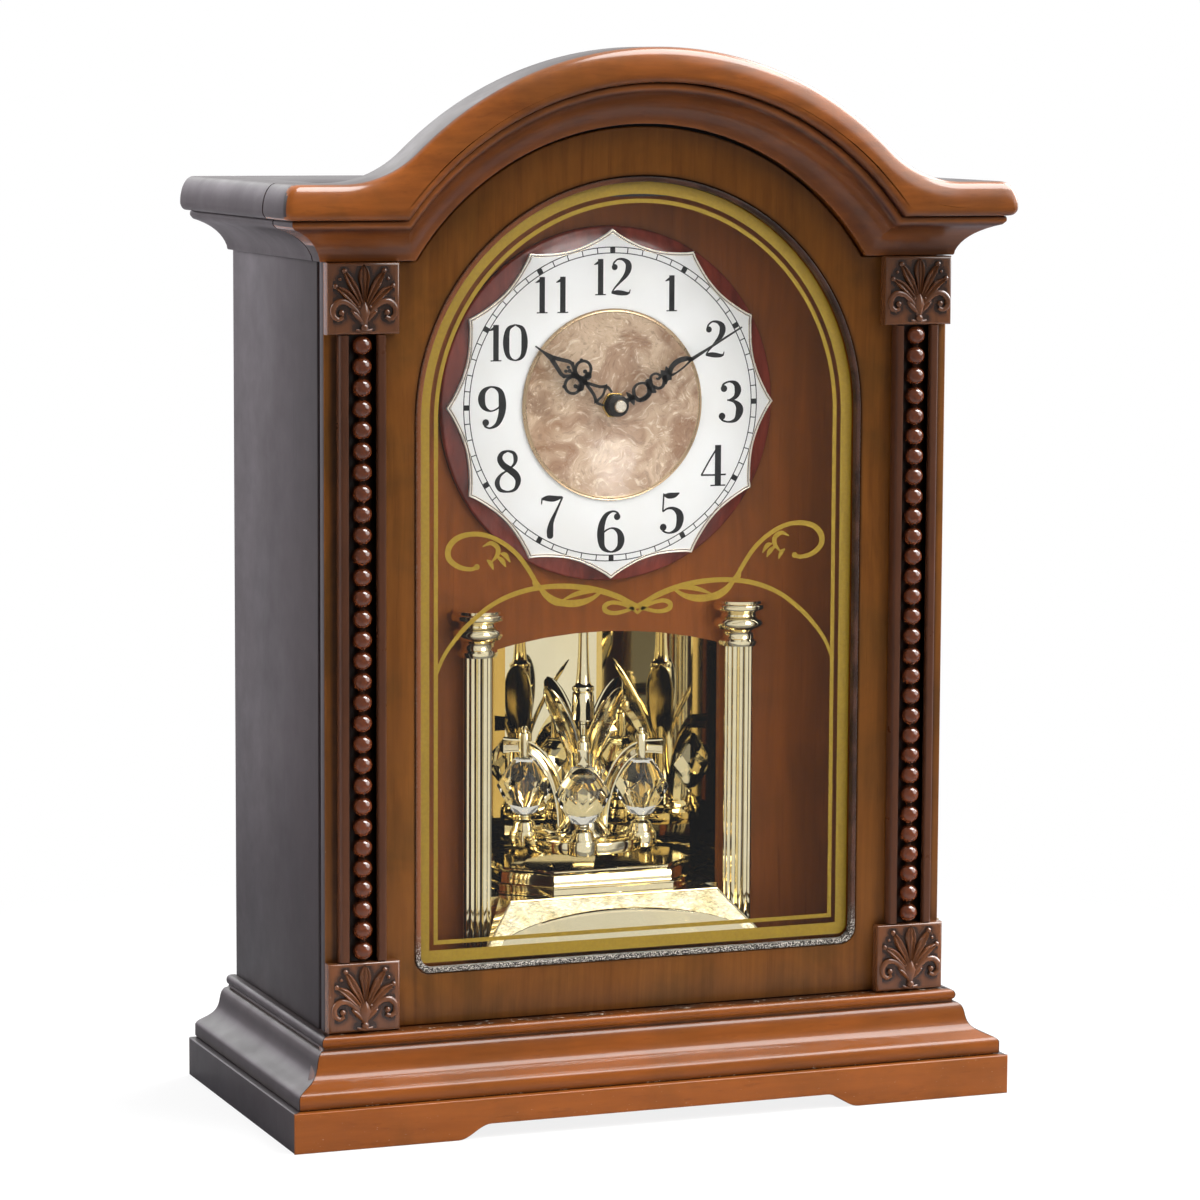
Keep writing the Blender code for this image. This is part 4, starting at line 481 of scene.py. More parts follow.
def group(name, inputs, outputs):
    """A new node group: (tree, its inputs by name, its output node)."""
    tree = bpy.data.node_groups.new(name, "ShaderNodeTree")
    kinds = {"value": "NodeSocketFloat", "colour": "NodeSocketColor", "vector": "NodeSocketVector"}
    for label, kind, default in inputs:
        socket = tree.interface.new_socket(label, in_out="INPUT", socket_type=kinds[kind])
        if default is not None:
            socket.default_value = default
    for label, kind in outputs:
        tree.interface.new_socket(label, in_out="OUTPUT", socket_type=kinds[kind])
    source = tree.nodes.new("NodeGroupInput")
    return tree, source.outputs, tree.nodes.new("NodeGroupOutput")


def close_group(tree, target, **results):
    for name, socket in results.items():
        tree.links.new(socket, target.inputs[name])


def place_group(tree, name, sockets):
    return node(tree, "Group", sockets, node_tree=bpy.data.node_groups[name]).outputs


def make_grain_group():
    """Wood figure: fine streaks along the grain, broad bands, blotches of stain and open pores."""
    inputs = (
        ("Vector", "vector", None), ("Stretch", "vector", (90.0, 90.0, 6.0)),
        ("Stain", "colour", (0.3, 0.1, 0.03, 1.0)), ("Contrast", "value", 0.5), ("Blotch", "value", 0.5),
    )
    tree, given, target = group("grain", inputs, (("Color", "colour"), ("Height", "value")))
    along = scaled(tree, given["Vector"], given["Stretch"])
    wander = noise(tree, given["Vector"], 9.0, 2.0)
    bent = node(tree, "VectorMath", {0: along, 1: wander}, operation="ADD").outputs["Vector"]
    streaks = noise(tree, bent, 3.2, 6.0, 0.62)
    bands = noise(tree, bent, 0.55, 3.0, 0.5, 0.6)
    blotches = noise(tree, given["Vector"], 22.0, 4.0, 0.6, 0.5)
    pores = ramp(tree, noise(tree, scaled(tree, along, (3.4, 3.4, 1.6)), 4.2, 2.0, 0.5), 0.62, 0.7)
    dark = blend_colour(tree, 1.0, given["Stain"], (0.42, 0.36, 0.34, 1.0), "MULTIPLY")
    light = blend_colour(tree, 1.0, given["Stain"], (1.32, 1.34, 1.25, 1.0), "MULTIPLY")
    mixed = math(tree, "MULTIPLY_ADD", streaks, 0.55, times(tree, bands, 0.45))
    centred = math(tree, "SUBTRACT", mixed, 0.5)
    spread = math(tree, "MULTIPLY_ADD", centred, times(tree, given["Contrast"], 4.0), 0.62, clamp=True)
    figure = blend_colour(tree, spread, dark, light)
    olive = blend_colour(tree, 1.0, figure, (0.62, 0.72, 0.8, 1.0), "MULTIPLY")
    stained_and_lit = times(tree, ramp(tree, blotches, 0.42, 0.68), given["Blotch"])
    blotched = blend_colour(tree, stained_and_lit, figure, olive)
    pored = blend_colour(tree, times(tree, pores, 0.2), blotched, dark)
    height = math(tree, "SUBTRACT", streaks, times(tree, pores, 0.6))
    close_group(tree, target, Color=pored, Height=height)


def make_glaze_group():
    """Painted shade: dark glazing where the shade is high, with an uneven wiped edge, and pale flecks where the wear is
    high.
    """
    inputs = (
        ("Vector", "vector", None), ("Color", "colour", (0.3, 0.1, 0.03, 1.0)),
        ("Glaze", "colour", (0.02, 0.01, 0.006, 1.0)), ("Shade", "value", 0.0), ("Wear", "value", 0.0),
        ("Fleck", "colour", (0.55, 0.5, 0.42, 1.0)),
    )
    tree, given, target = group("glaze", inputs, (("Color", "colour"), ("Mask", "value")))
    uneven = noise(tree, given["Vector"], 160.0, 3.0, 0.6)
    centred = times(tree, math(tree, "SUBTRACT", uneven, 0.5), 0.5)
    edge = times(tree, given["Shade"], math(tree, "ADD", centred, 1.0), clamp=True)
    dark = blend_colour(tree, edge, given["Color"], given["Glaze"])
    specks = noise(tree, scaled(tree, given["Vector"], (1.0, 1.0, 2.4)), 620.0, 2.0, 0.5)
    patches = noise(tree, given["Vector"], 90.0, 2.0, 0.5)
    chance = times(tree, times(tree, given["Wear"], patches), 0.42)
    limit = math(tree, "SUBTRACT", 0.78, chance)
    flecks = times(tree, ramp(tree, math(tree, "SUBTRACT", specks, limit), 0.0, 0.05), given["Wear"])
    close_group(tree, target, Color=blend_colour(tree, flecks, dark, given["Fleck"]), Mask=edge)


def make_polish_group():
    """Uneven gloss and a faint ripple, as on sprayed lacquer, moulded plastic or plated metal."""
    inputs = (
        ("Vector", "vector", None), ("Low", "value", 0.2), ("High", "value", 0.4), ("Scale", "value", 40.0),
        ("Ripple", "value", 0.1), ("Height", "value", 0.5), ("Depth", "value", 0.0),
    )
    tree, given, target = group("polish", inputs, (("Roughness", "value"), ("Normal", "vector")))
    clouds = noise(tree, given["Vector"], given["Scale"], 4.0, 0.6)
    span = {"From Min": 0.3, "From Max": 0.7, "To Min": given["Low"], "To Max": given["High"]}
    rough = node(tree, "MapRange", {"Value": clouds, **span})
    ripple = noise(tree, given["Vector"], times(tree, given["Scale"], 3.0), 2.0, 0.5)
    tall = math(tree, "MULTIPLY_ADD", given["Height"], given["Depth"], times(tree, ripple, given["Ripple"]))
    bump = node(tree, "Bump", {"Strength": 1.0, "Distance": 0.0004, "Height": tall})
    close_group(tree, target, Roughness=rough.outputs["Result"], Normal=bump.outputs["Normal"])


def make_shared_effects():
    make_grain_group()
    make_glaze_group()
    make_polish_group()


# Finishes
def colour(word):
    """A linear colour from the panel's name for it, such as door, or from a screen colour."""
    chosen = getattr(bpy.context.scene.clock_colours, word, None)
    return linear(word) if chosen is None else tuple(chosen)


def new_material(name, plain, **fixed):
    """(material, its tree, its Principled shader, object coordinates); fixed values go on the shader's own sockets."""
    material = bpy.data.materials.new(name)
    material.use_nodes = True
    material.diffuse_color = plain
    tree = material.node_tree
    shader = tree.nodes["Principled BSDF"]
    shader.inputs["Base Color"].default_value = plain
    for label, value in fixed.items():
        shader.inputs[label.replace("_", " ")].default_value = value
    return material, tree, shader, node(tree, "TexCoord").outputs["Object"]


def attribute(tree, name):
    return node(tree, "Attribute", attribute_name=name).outputs["Fac"]


def feed(tree, shader, **sockets):
    for label, socket in sockets.items():
        tree.links.new(socket, shader.inputs[label.replace("_", " ")])


def mix_shaders(tree, share, first, second):
    """Makes a mix of two shaders the material's surface."""
    mix = node(tree, "MixShader", {"Fac": share, 1: first.outputs[0], 2: second.outputs[0]})
    tree.links.new(mix.outputs[0], tree.nodes["Material Output"].inputs["Surface"])


def polish(tree, shader, vector, low_gloss, high_gloss, scale, ripple, height=None, depth=0.0):
    sockets = {"Vector": vector, "Low": low_gloss, "High": high_gloss, "Scale": scale, "Ripple": ripple, "Depth": depth}
    if height is not None:
        sockets["Height"] = height
    out = place_group(tree, "polish", sockets)
    feed(tree, shader, Roughness=out["Roughness"], Normal=out["Normal"])


def wood(name, stain, stretch, contrast, blotch, gloss, coat, specular=0.35, glaze="glaze", mask=None, depth=0.1):
    plain = colour(stain)
    material, tree, shader, vector = new_material(
        name, plain, Coat_Weight=coat, Coat_Roughness=0.12, Specular_IOR_Level=specular,
    )
    grain = place_group(tree, "grain", {
        "Vector": vector, "Stretch": stretch, "Stain": plain, "Contrast": contrast, "Blotch": blotch,
    })
    # Painted shade: the shade attribute and the mask lay dark glazing where shade falls.
    shade = attribute(tree, "shade")
    if mask is not None:
        shade = greater(tree, shade, mask(tree, vector))
    shaded_and_worn = place_group(tree, "glaze", {
        "Vector": vector, "Color": grain["Color"], "Glaze": colour(glaze), "Shade": shade,
        "Wear": attribute(tree, "wear"),
    })
    feed(tree, shader, Base_Color=shaded_and_worn["Color"])
    polish(tree, shader, vector, *gloss, 55.0, 0.05, grain["Height"], depth)
    return material


def near_openings(tree, vector):
    """Painted shade as dark glazing beside the glazed opening, under the cornice's arch and in the recess beside each
    pilaster, with the door darker towards its foot.
    """
    split = node(tree, "SeparateXYZ", {"Vector": vector}).outputs

    def near_arch(spring, radius, width, strength):
        rise = greater(tree, math(tree, "SUBTRACT", split["Z"], spring), 0.0)
        squares = math(tree, "POWER", split["X"], 2.0), math(tree, "POWER", rise, 2.0)
        reach = math(tree, "SQRT", math(tree, "ADD", *squares))
        gap = math(tree, "ABSOLUTE", math(tree, "SUBTRACT", reach, radius))
        return times(tree, inverse(tree, ramp(tree, gap, 0.0, width)), strength)

    def window(value, opens, open_at, closes, closed_at):
        return times(tree, ramp(tree, value, opens, open_at), inverse(tree, ramp(tree, value, closes, closed_at)))

    # Painted shade: dark beside the opening's bead, under the cornice's arch and in the recess beside each pilaster
    # strip.
    bead = near_arch(OPENING_SPRING, OPENING_HALF, 0.002, 0.45)
    cornice = near_arch(DIAL_Z, ARCH_RADIUS, 0.01, 0.25)
    strip = math(tree, "SUBTRACT", math(tree, "ABSOLUTE", split["X"]), high("right_pilaster").x)
    beside = window(strip, -0.001, 0.0, 0.0008, 0.0034)
    between = window(split["Z"], 0.069, 0.072, 0.319, 0.322)
    shade_in_recess = times(tree, times(tree, beside, between), 0.85)
    darker_towards_foot = math(tree, "MULTIPLY_ADD", ramp(tree, split["Z"], 0.08, 0.3), -0.24, 0.24)
    return greater(tree, greater(tree, bead, cornice), greater(tree, shade_in_recess, darker_towards_foot))


def back_board(name):
    """Hardboard with short fibres."""
    material, tree, shader, vector = new_material(name, colour("7A5A3C"), Specular_IOR_Level=0.3)
    fibres = noise(tree, vector, 900.0, 3.0, 0.7)
    clouds = noise(tree, vector, 18.0, 4.0, 0.6)
    mixed = math(tree, "MULTIPLY_ADD", fibres, 0.6, times(tree, clouds, 0.4))
    tone = ramp(tree, mixed, 0.35, 0.65)
    feed(tree, shader, Base_Color=blend_colour(tree, tone, colour("5C4129"), colour("8B6947")))
    polish(tree, shader, vector, 0.55, 0.75, 60.0, 0.1, fibres, 0.25)
    return material


def bead_black(name):
    """Glazed bead with painted light and shade: black in its grooves as painted shade, brown on its left as painted
    light and dark on its right, with silvery specks that are thickest at its foot.
    """
    material, tree, shader, vector = new_material(
        name, colour("3A241B"), Coat_Weight=0.1, Coat_Roughness=0.2, Specular_IOR_Level=0.3,
    )
    specks = ramp(tree, noise(tree, vector, 2000.0, 2.0, 0.6), 0.5, 0.6)
    split = node(tree, "SeparateXYZ", {"Vector": vector}).outputs
    foot = inverse(tree, ramp(tree, split["Z"], OPENING_FOOT + 0.002, OPENING_FOOT + 0.02))
    groove_shade = attribute(tree, "shade")
    worn = times(tree, specks, greater(tree, foot, times(tree, groove_shade, 0.22)))
    # Painted light on the bead's left; painted shade in its groove and on its right.
    rubbed_and_lit = inverse(tree, ramp(tree, split["X"], -0.06, 0.02))
    clouds = ramp(tree, noise(tree, vector, 70.0), 0.4, 0.6)
    brown = blend_colour(tree, clouds, colour("35231C"), colour("503429"))
    stained_and_lit = blend_colour(tree, rubbed_and_lit, brown, colour("7E4A2C"))
    shade_in_groove = times(tree, groove_shade, math(tree, "MULTIPLY_ADD", rubbed_and_lit, -0.55, 1.0))
    dark = blend_colour(tree, greater(tree, shade_in_groove, foot), stained_and_lit, colour("15100E"))
    feed(tree, shader, Base_Color=blend_colour(tree, worn, dark, colour("CFC8BE")))
    polish(tree, shader, vector, 0.3, 0.45, 90.0, 0.3, specks, 0.35)
    return material


def see_through(name, plain, tint, ior, gleam):
    """Clear material that lets the lamps' light through to what is behind it."""
    material, tree, shader, vector = new_material(
        name, plain, IOR=ior, Transmission_Weight=1.0, Roughness=0.0, Specular_IOR_Level=gleam,
    )
    clouds = noise(tree, vector, 25.0, 3.0, 0.5)
    feed(tree, shader, Base_Color=blend_colour(tree, ramp(tree, clouds, 0.3, 0.7), plain, tint))
    clear = node(tree, "BsdfTransparent", {"Color": tint})
    rays = node(tree, "LightPath").outputs
    mix_shaders(tree, rays["Is Shadow Ray"], shader, clear)
    return material


def enamel(name, plain, pale):
    material, tree, shader, vector = new_material(name, colour(plain), Coat_Weight=0.2, Coat_Roughness=0.1)
    clouds = ramp(tree, noise(tree, vector, 35.0, 3.0, 0.5), 0.3, 0.7)
    feed(tree, shader, Base_Color=blend_colour(tree, clouds, colour(plain), colour(pale)))
    polish(tree, shader, vector, 0.34, 0.42, 200.0, 0.02)
    return material


def rosewood(name, plain, stain):
    material, tree, shader, vector = new_material(name, colour(plain), Coat_Weight=0.25, Coat_Roughness=0.06)
    grain = place_group(tree, "grain", {
        "Vector": vector, "Stretch": (70.0, 70.0, 9.0), "Stain": colour(stain), "Contrast": 0.9, "Blotch": 0.2,
    })
    feed(tree, shader, Base_Color=grain["Color"])
    polish(tree, shader, vector, 0.16, 0.24, 60.0, 0.04, grain["Height"], 0.05)
    return material


def pearl(name):
    """Mother-of-pearl: cloudy beige and brown patches, each with bright wrinkles running its own way."""
    material, tree, shader, vector = new_material(name, colour("C9A98F"), Coat_Weight=0.5, Coat_Roughness=0.08)
    clouds = noise(tree, vector, 40.0, 4.0, 0.6, 0.8)
    bend = node(tree, "TexNoise", {"Vector": vector, "Scale": 42.0, "Detail": 2.0}).outputs["Color"]
    sockets = {0: bend, 1: (0.05, 0.05, 0.05), 2: vector}
    moved = node(tree, "VectorMath", sockets, operation="MULTIPLY_ADD").outputs["Vector"]
    tone = ramp(tree, noise(tree, moved, 26.0, 3.0, 0.6, 1.0), 0.36, 0.62)
    wrinkles = noise(tree, scaled(tree, moved, (1.0, 1.0, 0.32)), 520.0, 5.0, 0.7, 0.6)
    creases = noise(tree, scaled(tree, moved, (0.3, 1.0, 1.0)), 380.0, 5.0, 0.7, 0.6)
    patches = ramp(tree, noise(tree, vector, 55.0), 0.44, 0.56)
    folds = node(tree, "Mix", {0: patches, 2: wrinkles, 3: creases}, data_type="FLOAT").outputs[0]
    base = blend_colour(tree, tone, colour("A07A5C"), colour("D6BA9C"))
    brown = blend_colour(tree, times(tree, ramp(tree, clouds, 0.52, 0.72), 0.7), base, colour("8C6A50"))
    hollows = times(tree, inverse(tree, ramp(tree, folds, 0.36, 0.47)), 0.45)
    shadows = blend_colour(tree, hollows, brown, colour("76563F"))
    veins = times(tree, ramp(tree, folds, 0.54, 0.64), math(tree, "MULTIPLY_ADD", tone, 0.6, 0.35))
    feed(tree, shader, Base_Color=blend_colour(tree, veins, shadows, colour("F4E2C8")))
    polish(tree, shader, vector, 0.22, 0.34, 90.0, 0.05, folds, 0.35)
    return material


def ink(name, plain, low_gloss, high_gloss):
    material, tree, shader, vector = new_material(name, colour(plain), Specular_IOR_Level=0.4)
    worn = ramp(tree, noise(tree, vector, 300.0, 3.0, 0.6), 0.3, 0.7)
    pale = tuple(min(1.0, c * 1.35 + 0.004) for c in colour(plain)[:3])
    feed(tree, shader, Base_Color=blend_colour(tree, worn, colour(plain), (*pale, 1.0)))
    polish(tree, shader, vector, low_gloss, high_gloss, 200.0, 0.03)
    return material


def printed_gold(name, word):
    plain = colour(word)
    material, tree, shader, vector = new_material(name, plain, Specular_IOR_Level=0.3)
    flake = ramp(tree, noise(tree, vector, 700.0, 2.0, 0.5), 0.3, 0.7)
    pale = (min(1, plain[0] * 1.12), min(1, plain[1] * 1.12), plain[2] * 1.1, 1.0)
    feed(tree, shader, Base_Color=blend_colour(tree, flake, plain, pale))
    polish(tree, shader, vector, 0.42, 0.55, 200.0, 0.02)
    return material


def metal(name, plain, dark, low_gloss, high_gloss, scale=60.0, ripple=0.02, tarnish=0.3):
    material, tree, shader, vector = new_material(name, colour(plain), Metallic=1.0)
    clouds = times(tree, ramp(tree, noise(tree, vector, scale, 4.0, 0.6), 0.35, 0.75), tarnish)
    feed(tree, shader, Base_Color=blend_colour(tree, clouds, colour(plain), colour(dark)))
    polish(tree, shader, vector, low_gloss, high_gloss, scale * 1.7, ripple)
    return material


def plastic(name, plain, pale, low_gloss, high_gloss, ripple=0.25):
    material, tree, shader, vector = new_material(name, colour(plain))
    clouds = ramp(tree, noise(tree, vector, 50.0, 4.0, 0.6), 0.3, 0.75)
    feed(tree, shader, Base_Color=blend_colour(tree, clouds, colour(plain), colour(pale)))
    polish(tree, shader, vector, low_gloss, high_gloss, 420.0, ripple)
    return material


def battery_sleeve(name):
    """A plain cell: dark sleeve with a copper-coloured end."""
    material, tree, shader, vector = new_material(name, colour("1C3A33"), Coat_Weight=0.5, Coat_Roughness=0.1)
    across = node(tree, "SeparateXYZ", {"Vector": vector}).outputs["X"]
    tip = high("battery").x
    end = ramp(tree, across, tip - 0.0162, tip - 0.0158)
    cap = ramp(tree, across, tip - 0.0016, tip - 0.0012)
    scuffs = ramp(tree, noise(tree, vector, 160.0, 4.0, 0.6), 0.45, 0.8)
    body = blend_colour(tree, end, colour("1C3A33"), colour("A9622F"))
    capped = blend_colour(tree, cap, body, colour("B8B8B4"))
    feed(tree, shader, Base_Color=blend_colour(tree, times(tree, scuffs, 0.2), capped, colour("0E0E0E")))
    polish(tree, shader, vector, 0.2, 0.35, 90.0, 0.03)
    return material


# (maker, its settings); a wood's are stain, stretch, contrast, blotches, gloss, coat, specular, the colour of its
# glazing and painted shade, the mask of painted shade and depth
FINISHES = {
    "door_wood": (wood, "door", (90.0, 90.0, 6.0), 0.44, 0.8, (0.3, 0.42), 0.2, 0.12, "glaze", near_openings),
    "nose_wood": (wood, "nose", (10.0, 80.0, 90.0), 0.46, 0.75, (0.3, 0.42), 0.8, 0.15, "3E2119"),
    "plinth_wood": (wood, "plinth", (8.0, 90.0, 100.0), 0.28, 0.45, (0.3, 0.42), 0.45, 0.12),
    "carved_wood": (wood, "carved", (60.0, 60.0, 9.0), 0.3, 0.55, (0.14, 0.22), 0.8, 0.6),
    "pearl_wood": (wood, "5C2B13", (60.0, 60.0, 9.0), 0.25, 0.3, (0.1, 0.18), 0.9, 0.6),
    "strip_wood": (wood, "4A2A1A", (60.0, 60.0, 5.0), 0.3, 0.4, (0.26, 0.36), 0.2),
    # A dark stain with painted shade: near black where the pearls shade the sunk channel.
    "channel_wood": (wood, "21150F", (60.0, 60.0, 6.0), 0.4, 0.4, (0.35, 0.5), 0.1),
    "board_wood": (wood, "board", (70.0, 70.0, 4.0), 0.34, 0.4, (0.36, 0.48), 0.0, 0.15),
    "side_wood": (wood, "side", (50.0, 50.0, 4.0), 0.25, 0.3, (0.34, 0.44), 0.0, 0.42, "glaze", None, 0.04),
    "back_board": (back_board,),
    "bead_black": (bead_black,),
    "glass": (see_through, (0.998, 0.999, 0.998, 1.0), (0.994, 0.996, 0.995, 1.0), 1.45, 0.12),
    "crystal": (see_through, (1.0, 0.975, 0.88, 1.0), (1.0, 0.95, 0.8, 1.0), 1.52, 0.5),
    "dial_white": (enamel, "dial", "EFEEEA"),
    "rosewood": (rosewood, "742C20", "7C3123"),
    "pearl": (pearl,),
    "gold_print": (printed_gold, "print"),
    "dial_ink": (ink, "0B0B0B", 0.4, 0.55),
    "hand_black": (ink, "14110F", 0.3, 0.42),
    "dial_line": (ink, "5E4632", 0.4, 0.5),
    "dial_rim": (metal, "F4EBDA", "B9A88C", 0.22, 0.34),
    "gilt": (metal, "gilt", "E2CB8C", 0.05, 0.1),
    "brushed_gilt": (metal, "gilt", "B99A48", 0.1, 0.24, 130.0, 0.1, 0.6),
    "mirror": (metal, "gilt", "E0C98A", 0.02, 0.04, 25.0, 0.0, 0.2),
    "bronze_rim": (metal, "C9AE8C", "6F573F", 0.22, 0.34),
    "brass": (metal, "D8B668", "8F6F34", 0.18, 0.3),
    "steel": (metal, "BDBDC0", "77777B", 0.25, 0.38),
    "screw_steel": (metal, "C9C7BE", "77746A", 0.25, 0.38),
    "movement_plastic": (plastic, "1A1A1C", "262628", 0.38, 0.5),
    "hatch_plastic": (plastic, "19191A", "242425", 0.42, 0.55, 0.4),
    "gear_plastic": (plastic, "DAD6C8", "EAE7DC", 0.35, 0.45, 0.1),
    "magnet": (plastic, "3B3B3E", "4C4C50", 0.45, 0.6),
    "battery_sleeve": (battery_sleeve,),
}


def finish(word):
    """The material of a finish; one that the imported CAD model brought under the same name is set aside."""
    found = bpy.data.materials.get(word)
    if found is None or "clock_finish" not in found:
        if found is not None:
            found.name = word + "_cad"
        maker, *settings = FINISHES[word]
        found = maker(word, *settings)
        found["clock_finish"] = True
    return found


# Outlines shared by several pieces
def opening_outline(inset):
    """The arched glass opening, drawn in by an inset."""
    half, foot = OPENING_HALF - inset, OPENING_FOOT + inset
    corner = 0.0065 - inset / 2
    right = arc(half - corner, foot + corner, corner, -pi / 2, 0, 10)
    return mirrored(right + arc(0, OPENING_SPRING, half, 0, pi / 2, OPENING_STEPS))


def band_outline(half, foot, corner):
    """The outline of a printed band, which follows the opening's arch."""
    right = [(half, foot)] if not corner else arc(half - corner, foot + corner, corner, -pi / 2, 0, 6)
    return mirrored(right + arc(0, OPENING_SPRING, half, 0, pi / 2, OPENING_STEPS))


def box_outline(left, right, foot, top):
    return [(left, foot), (right, foot), (right, top), (left, top)]


# Cornice: steps along its arch, each eave, the level part of an eave's top and each rounded corner
ARC_STEPS, EAVE_STEPS, LEVEL_STEPS, CORNER_STEPS = 56, 20, 7, 7
# Painted shade down the cove, darkest up under the fillet.
COVE_SHADES = (0.42, 0.54, 0.56, 0.5, 0.46, 0.46, 0.5, 0.6, 0.78, 0.95)


def cornice_rows():
    """Rows of the section: (kind, drop or rise, reach, corner radius, shade, wear)."""
    reach = CORNICE_LEDGE + COVE_REACH
    control_out, control_rise = CORNICE_LEDGE + COVE_REACH * 0.15, COVE_HEIGHT * 0.7
    nose_foot = COVE_HEIGHT + FILLET_HEIGHT
    fillet = reach + FILLET_STEP
    # The shade column is painted shade: dark at the back of the soffit, in the cove, the quirk and under the nose, and
    # towards the back of the top.
    rows = [
        ("low", 0.0, DOOR_FACE - CORNICE_REAR, SLACK, 0.8, 0.0),
        ("low", 0.0, CORNICE_LEDGE, SLACK, 0.35, 0.0),
        ("low", 0.0004, CORNICE_LEDGE + 0.0003, SLACK, 0.25, 0.2),
    ]
    for k, shade in enumerate(COVE_SHADES, 1):
        t = k / len(COVE_SHADES)
        out = (1 - t) ** 2 * CORNICE_LEDGE + 2 * t * (1 - t) * control_out + t * t * reach
        rows.append(("low", 2 * t * (1 - t) * control_rise + t * t * COVE_HEIGHT, out, SLACK, shade, 0.0))
    rows += [
        ("low", COVE_HEIGHT + FILLET_STEP * 0.9, fillet - 0.0002, SLACK, 0.15, 0.0),
        ("low", COVE_HEIGHT + FILLET_STEP * 1.3, fillet, SLACK, 0.0, 0.1),
        ("low", nose_foot - SLACK * 3, fillet, SLACK, 0.1, 0.0),
        ("low", nose_foot - SLACK, fillet - 0.0003, SLACK, 0.85, 0.0),
        ("low", nose_foot, reach, SLACK, 1.0, 0.0),
    ]
    for k in range(7):
        a = pi / 2 * k / 6
        out = CORNICE_OUT - NOSE_INSET + NOSE_INSET * sin(a)
        rows.append(("low", nose_foot + NOSE_FOOT * (1 - cos(a)), out, CORNER_RADIUS, 0.95 * (1 - k / 6) ** 1.6, 0.0))
    for k in range(13):
        a = pi / 2 * k / 12
        out = CORNICE_OUT - NOSE_TOP * (1 - cos(a))
        shade = 0.55 * max(0.0, k - 9) / 3
        rows.append(("top", NOSE_SHOULDER * (1 - sin(a)), out, CORNER_RADIUS, shade, 0.0))
    for k in range(4):
        a = pi / 2 * k / 3
        out = NOSE_REAR * (1 - sin(a)) - (CORNICE_REAR - DOOR_FACE)
        rows.append(("rear", NOSE_REAR * (1 - cos(a)), out, CORNER_RADIUS, 0.1 + 0.6 * k / 3, 0.0))
    return rows


def low_half_path(rise, tip):
    """The right half of a row below the nose: level from the tip to the mitre, then round the arch."""
    level, radius = SOFFIT + rise, ARCH_RADIUS + rise
    height = level - DIAL_Z
    mitre = sqrt(radius ** 2 - height ** 2)
    arch = arc(0, DIAL_Z, radius, atan2(height, mitre), pi / 2, ARC_STEPS)
    return [(tip + (mitre - tip) * (k + 1) / (EAVE_STEPS + 1), level) for k in range(EAVE_STEPS)] + arch


def top_half_path(inset, tip):
    """The right half of a row on top: level, then a reverse curve, then round the arch."""
    radius = ARCH_RADIUS + CORNICE_HEIGHT
    lift = EAVE_TOP + REVERSE_RADIUS - DIAL_Z
    reach = sqrt((radius + REVERSE_RADIUS) ** 2 - lift ** 2)
    meeting = atan2(lift, reach)
    level = [(tip + (reach - tip) * (k + 1) / (LEVEL_STEPS + 1), EAVE_TOP - inset) for k in range(LEVEL_STEPS)]
    reverse_steps = EAVE_STEPS - LEVEL_STEPS
    reverse = arc(reach, EAVE_TOP + REVERSE_RADIUS, REVERSE_RADIUS + inset, -pi / 2, meeting - pi, reverse_steps)
    return level + reverse[:-1] + arc(0, DIAL_Z, radius - inset, meeting, pi / 2, ARC_STEPS)


def cornice_row_points(kind, amount, out, corner, *_):
    """A row from the left eave's rear corner round the front to the right one."""
    tip = HALF_WIDTH + (CORNICE_OUT - NOSE_TOP if kind == "rear" else max(out, CORNICE_LEDGE))
    front = DOOR_FACE - out
    level, path = SOFFIT + amount, low_half_path
    if kind != "low":
        level, path = EAVE_TOP - amount, top_half_path
    half = [Vector((tip, CORNICE_REAR, level))]
    for k in range(CORNER_STEPS + 1):
        a = pi / 2 * k / CORNER_STEPS
        y = min(CORNICE_REAR, front + corner * (1 - sin(a)))
        half.append(Vector((tip - corner * (1 - cos(a)), y, level)))
    half += [Vector((u, front, v)) for u, v in path(amount, tip - corner)]
    return [Vector((-p.x, p.y, p.z)) for p in half] + list(reversed(half[:-1]))


class CLOCK_OT_cornice(bpy.types.Operator):
    """Build the arched front cornice and its two side returns"""

    bl_idname = "clock.cornice"
    bl_label = "Cornice"

    def execute(self, context):
        rows = cornice_rows()
        shape = Shape()
        points = [cornice_row_points(*row) for row in rows]
        shape.grid(points, shades=[row[4] for row in rows], wears=[row[5] for row in rows])
        bmesh.ops.remove_doubles(shape.bm, verts=shape.bm.verts[:], dist=SLACK / 30)
        rim = [edge for edge in shape.bm.edges if edge.is_boundary]
        bmesh.ops.contextual_create(shape.bm, geom=rim)
        bmesh.ops.recalc_face_normals(shape.bm, faces=shape.bm.faces[:])
        darken_ends(shape, HALF_WIDTH)
        top_edge = DOOR_FACE - CORNICE_OUT + NOSE_TOP * 0.9
        for face in shape.bm.faces:
            upwards = face.normal.z > 0.1 and abs(face.normal.y) < 0.2
            if upwards and face.calc_center_median().y > top_edge:
                face.material_index = 1
        piece("front_cornice_moulding", shape, ["nose_wood", "side_wood"], ["cornice_front"])
        section = [
            (HALF_WIDTH + out, SOFFIT + amount if kind == "low" else EAVE_TOP - amount)
            for kind, amount, out, *_ in rows if kind != "rear" and out > 0
        ]
        inner = HALF_WIDTH + SLACK
        section += [(inner, EAVE_TOP), (inner, SOFFIT)]
        for side, word in SIDES:
            shape = Shape()
            shape.plate([[(side * u, v) for u, v in section]], along_y, RETURN_FRONT, REAR)
            piece(f"{word}_cornice_moulding", shape, ["side_wood"], [f"cornice_{word}_return"])
        return {"FINISHED"}


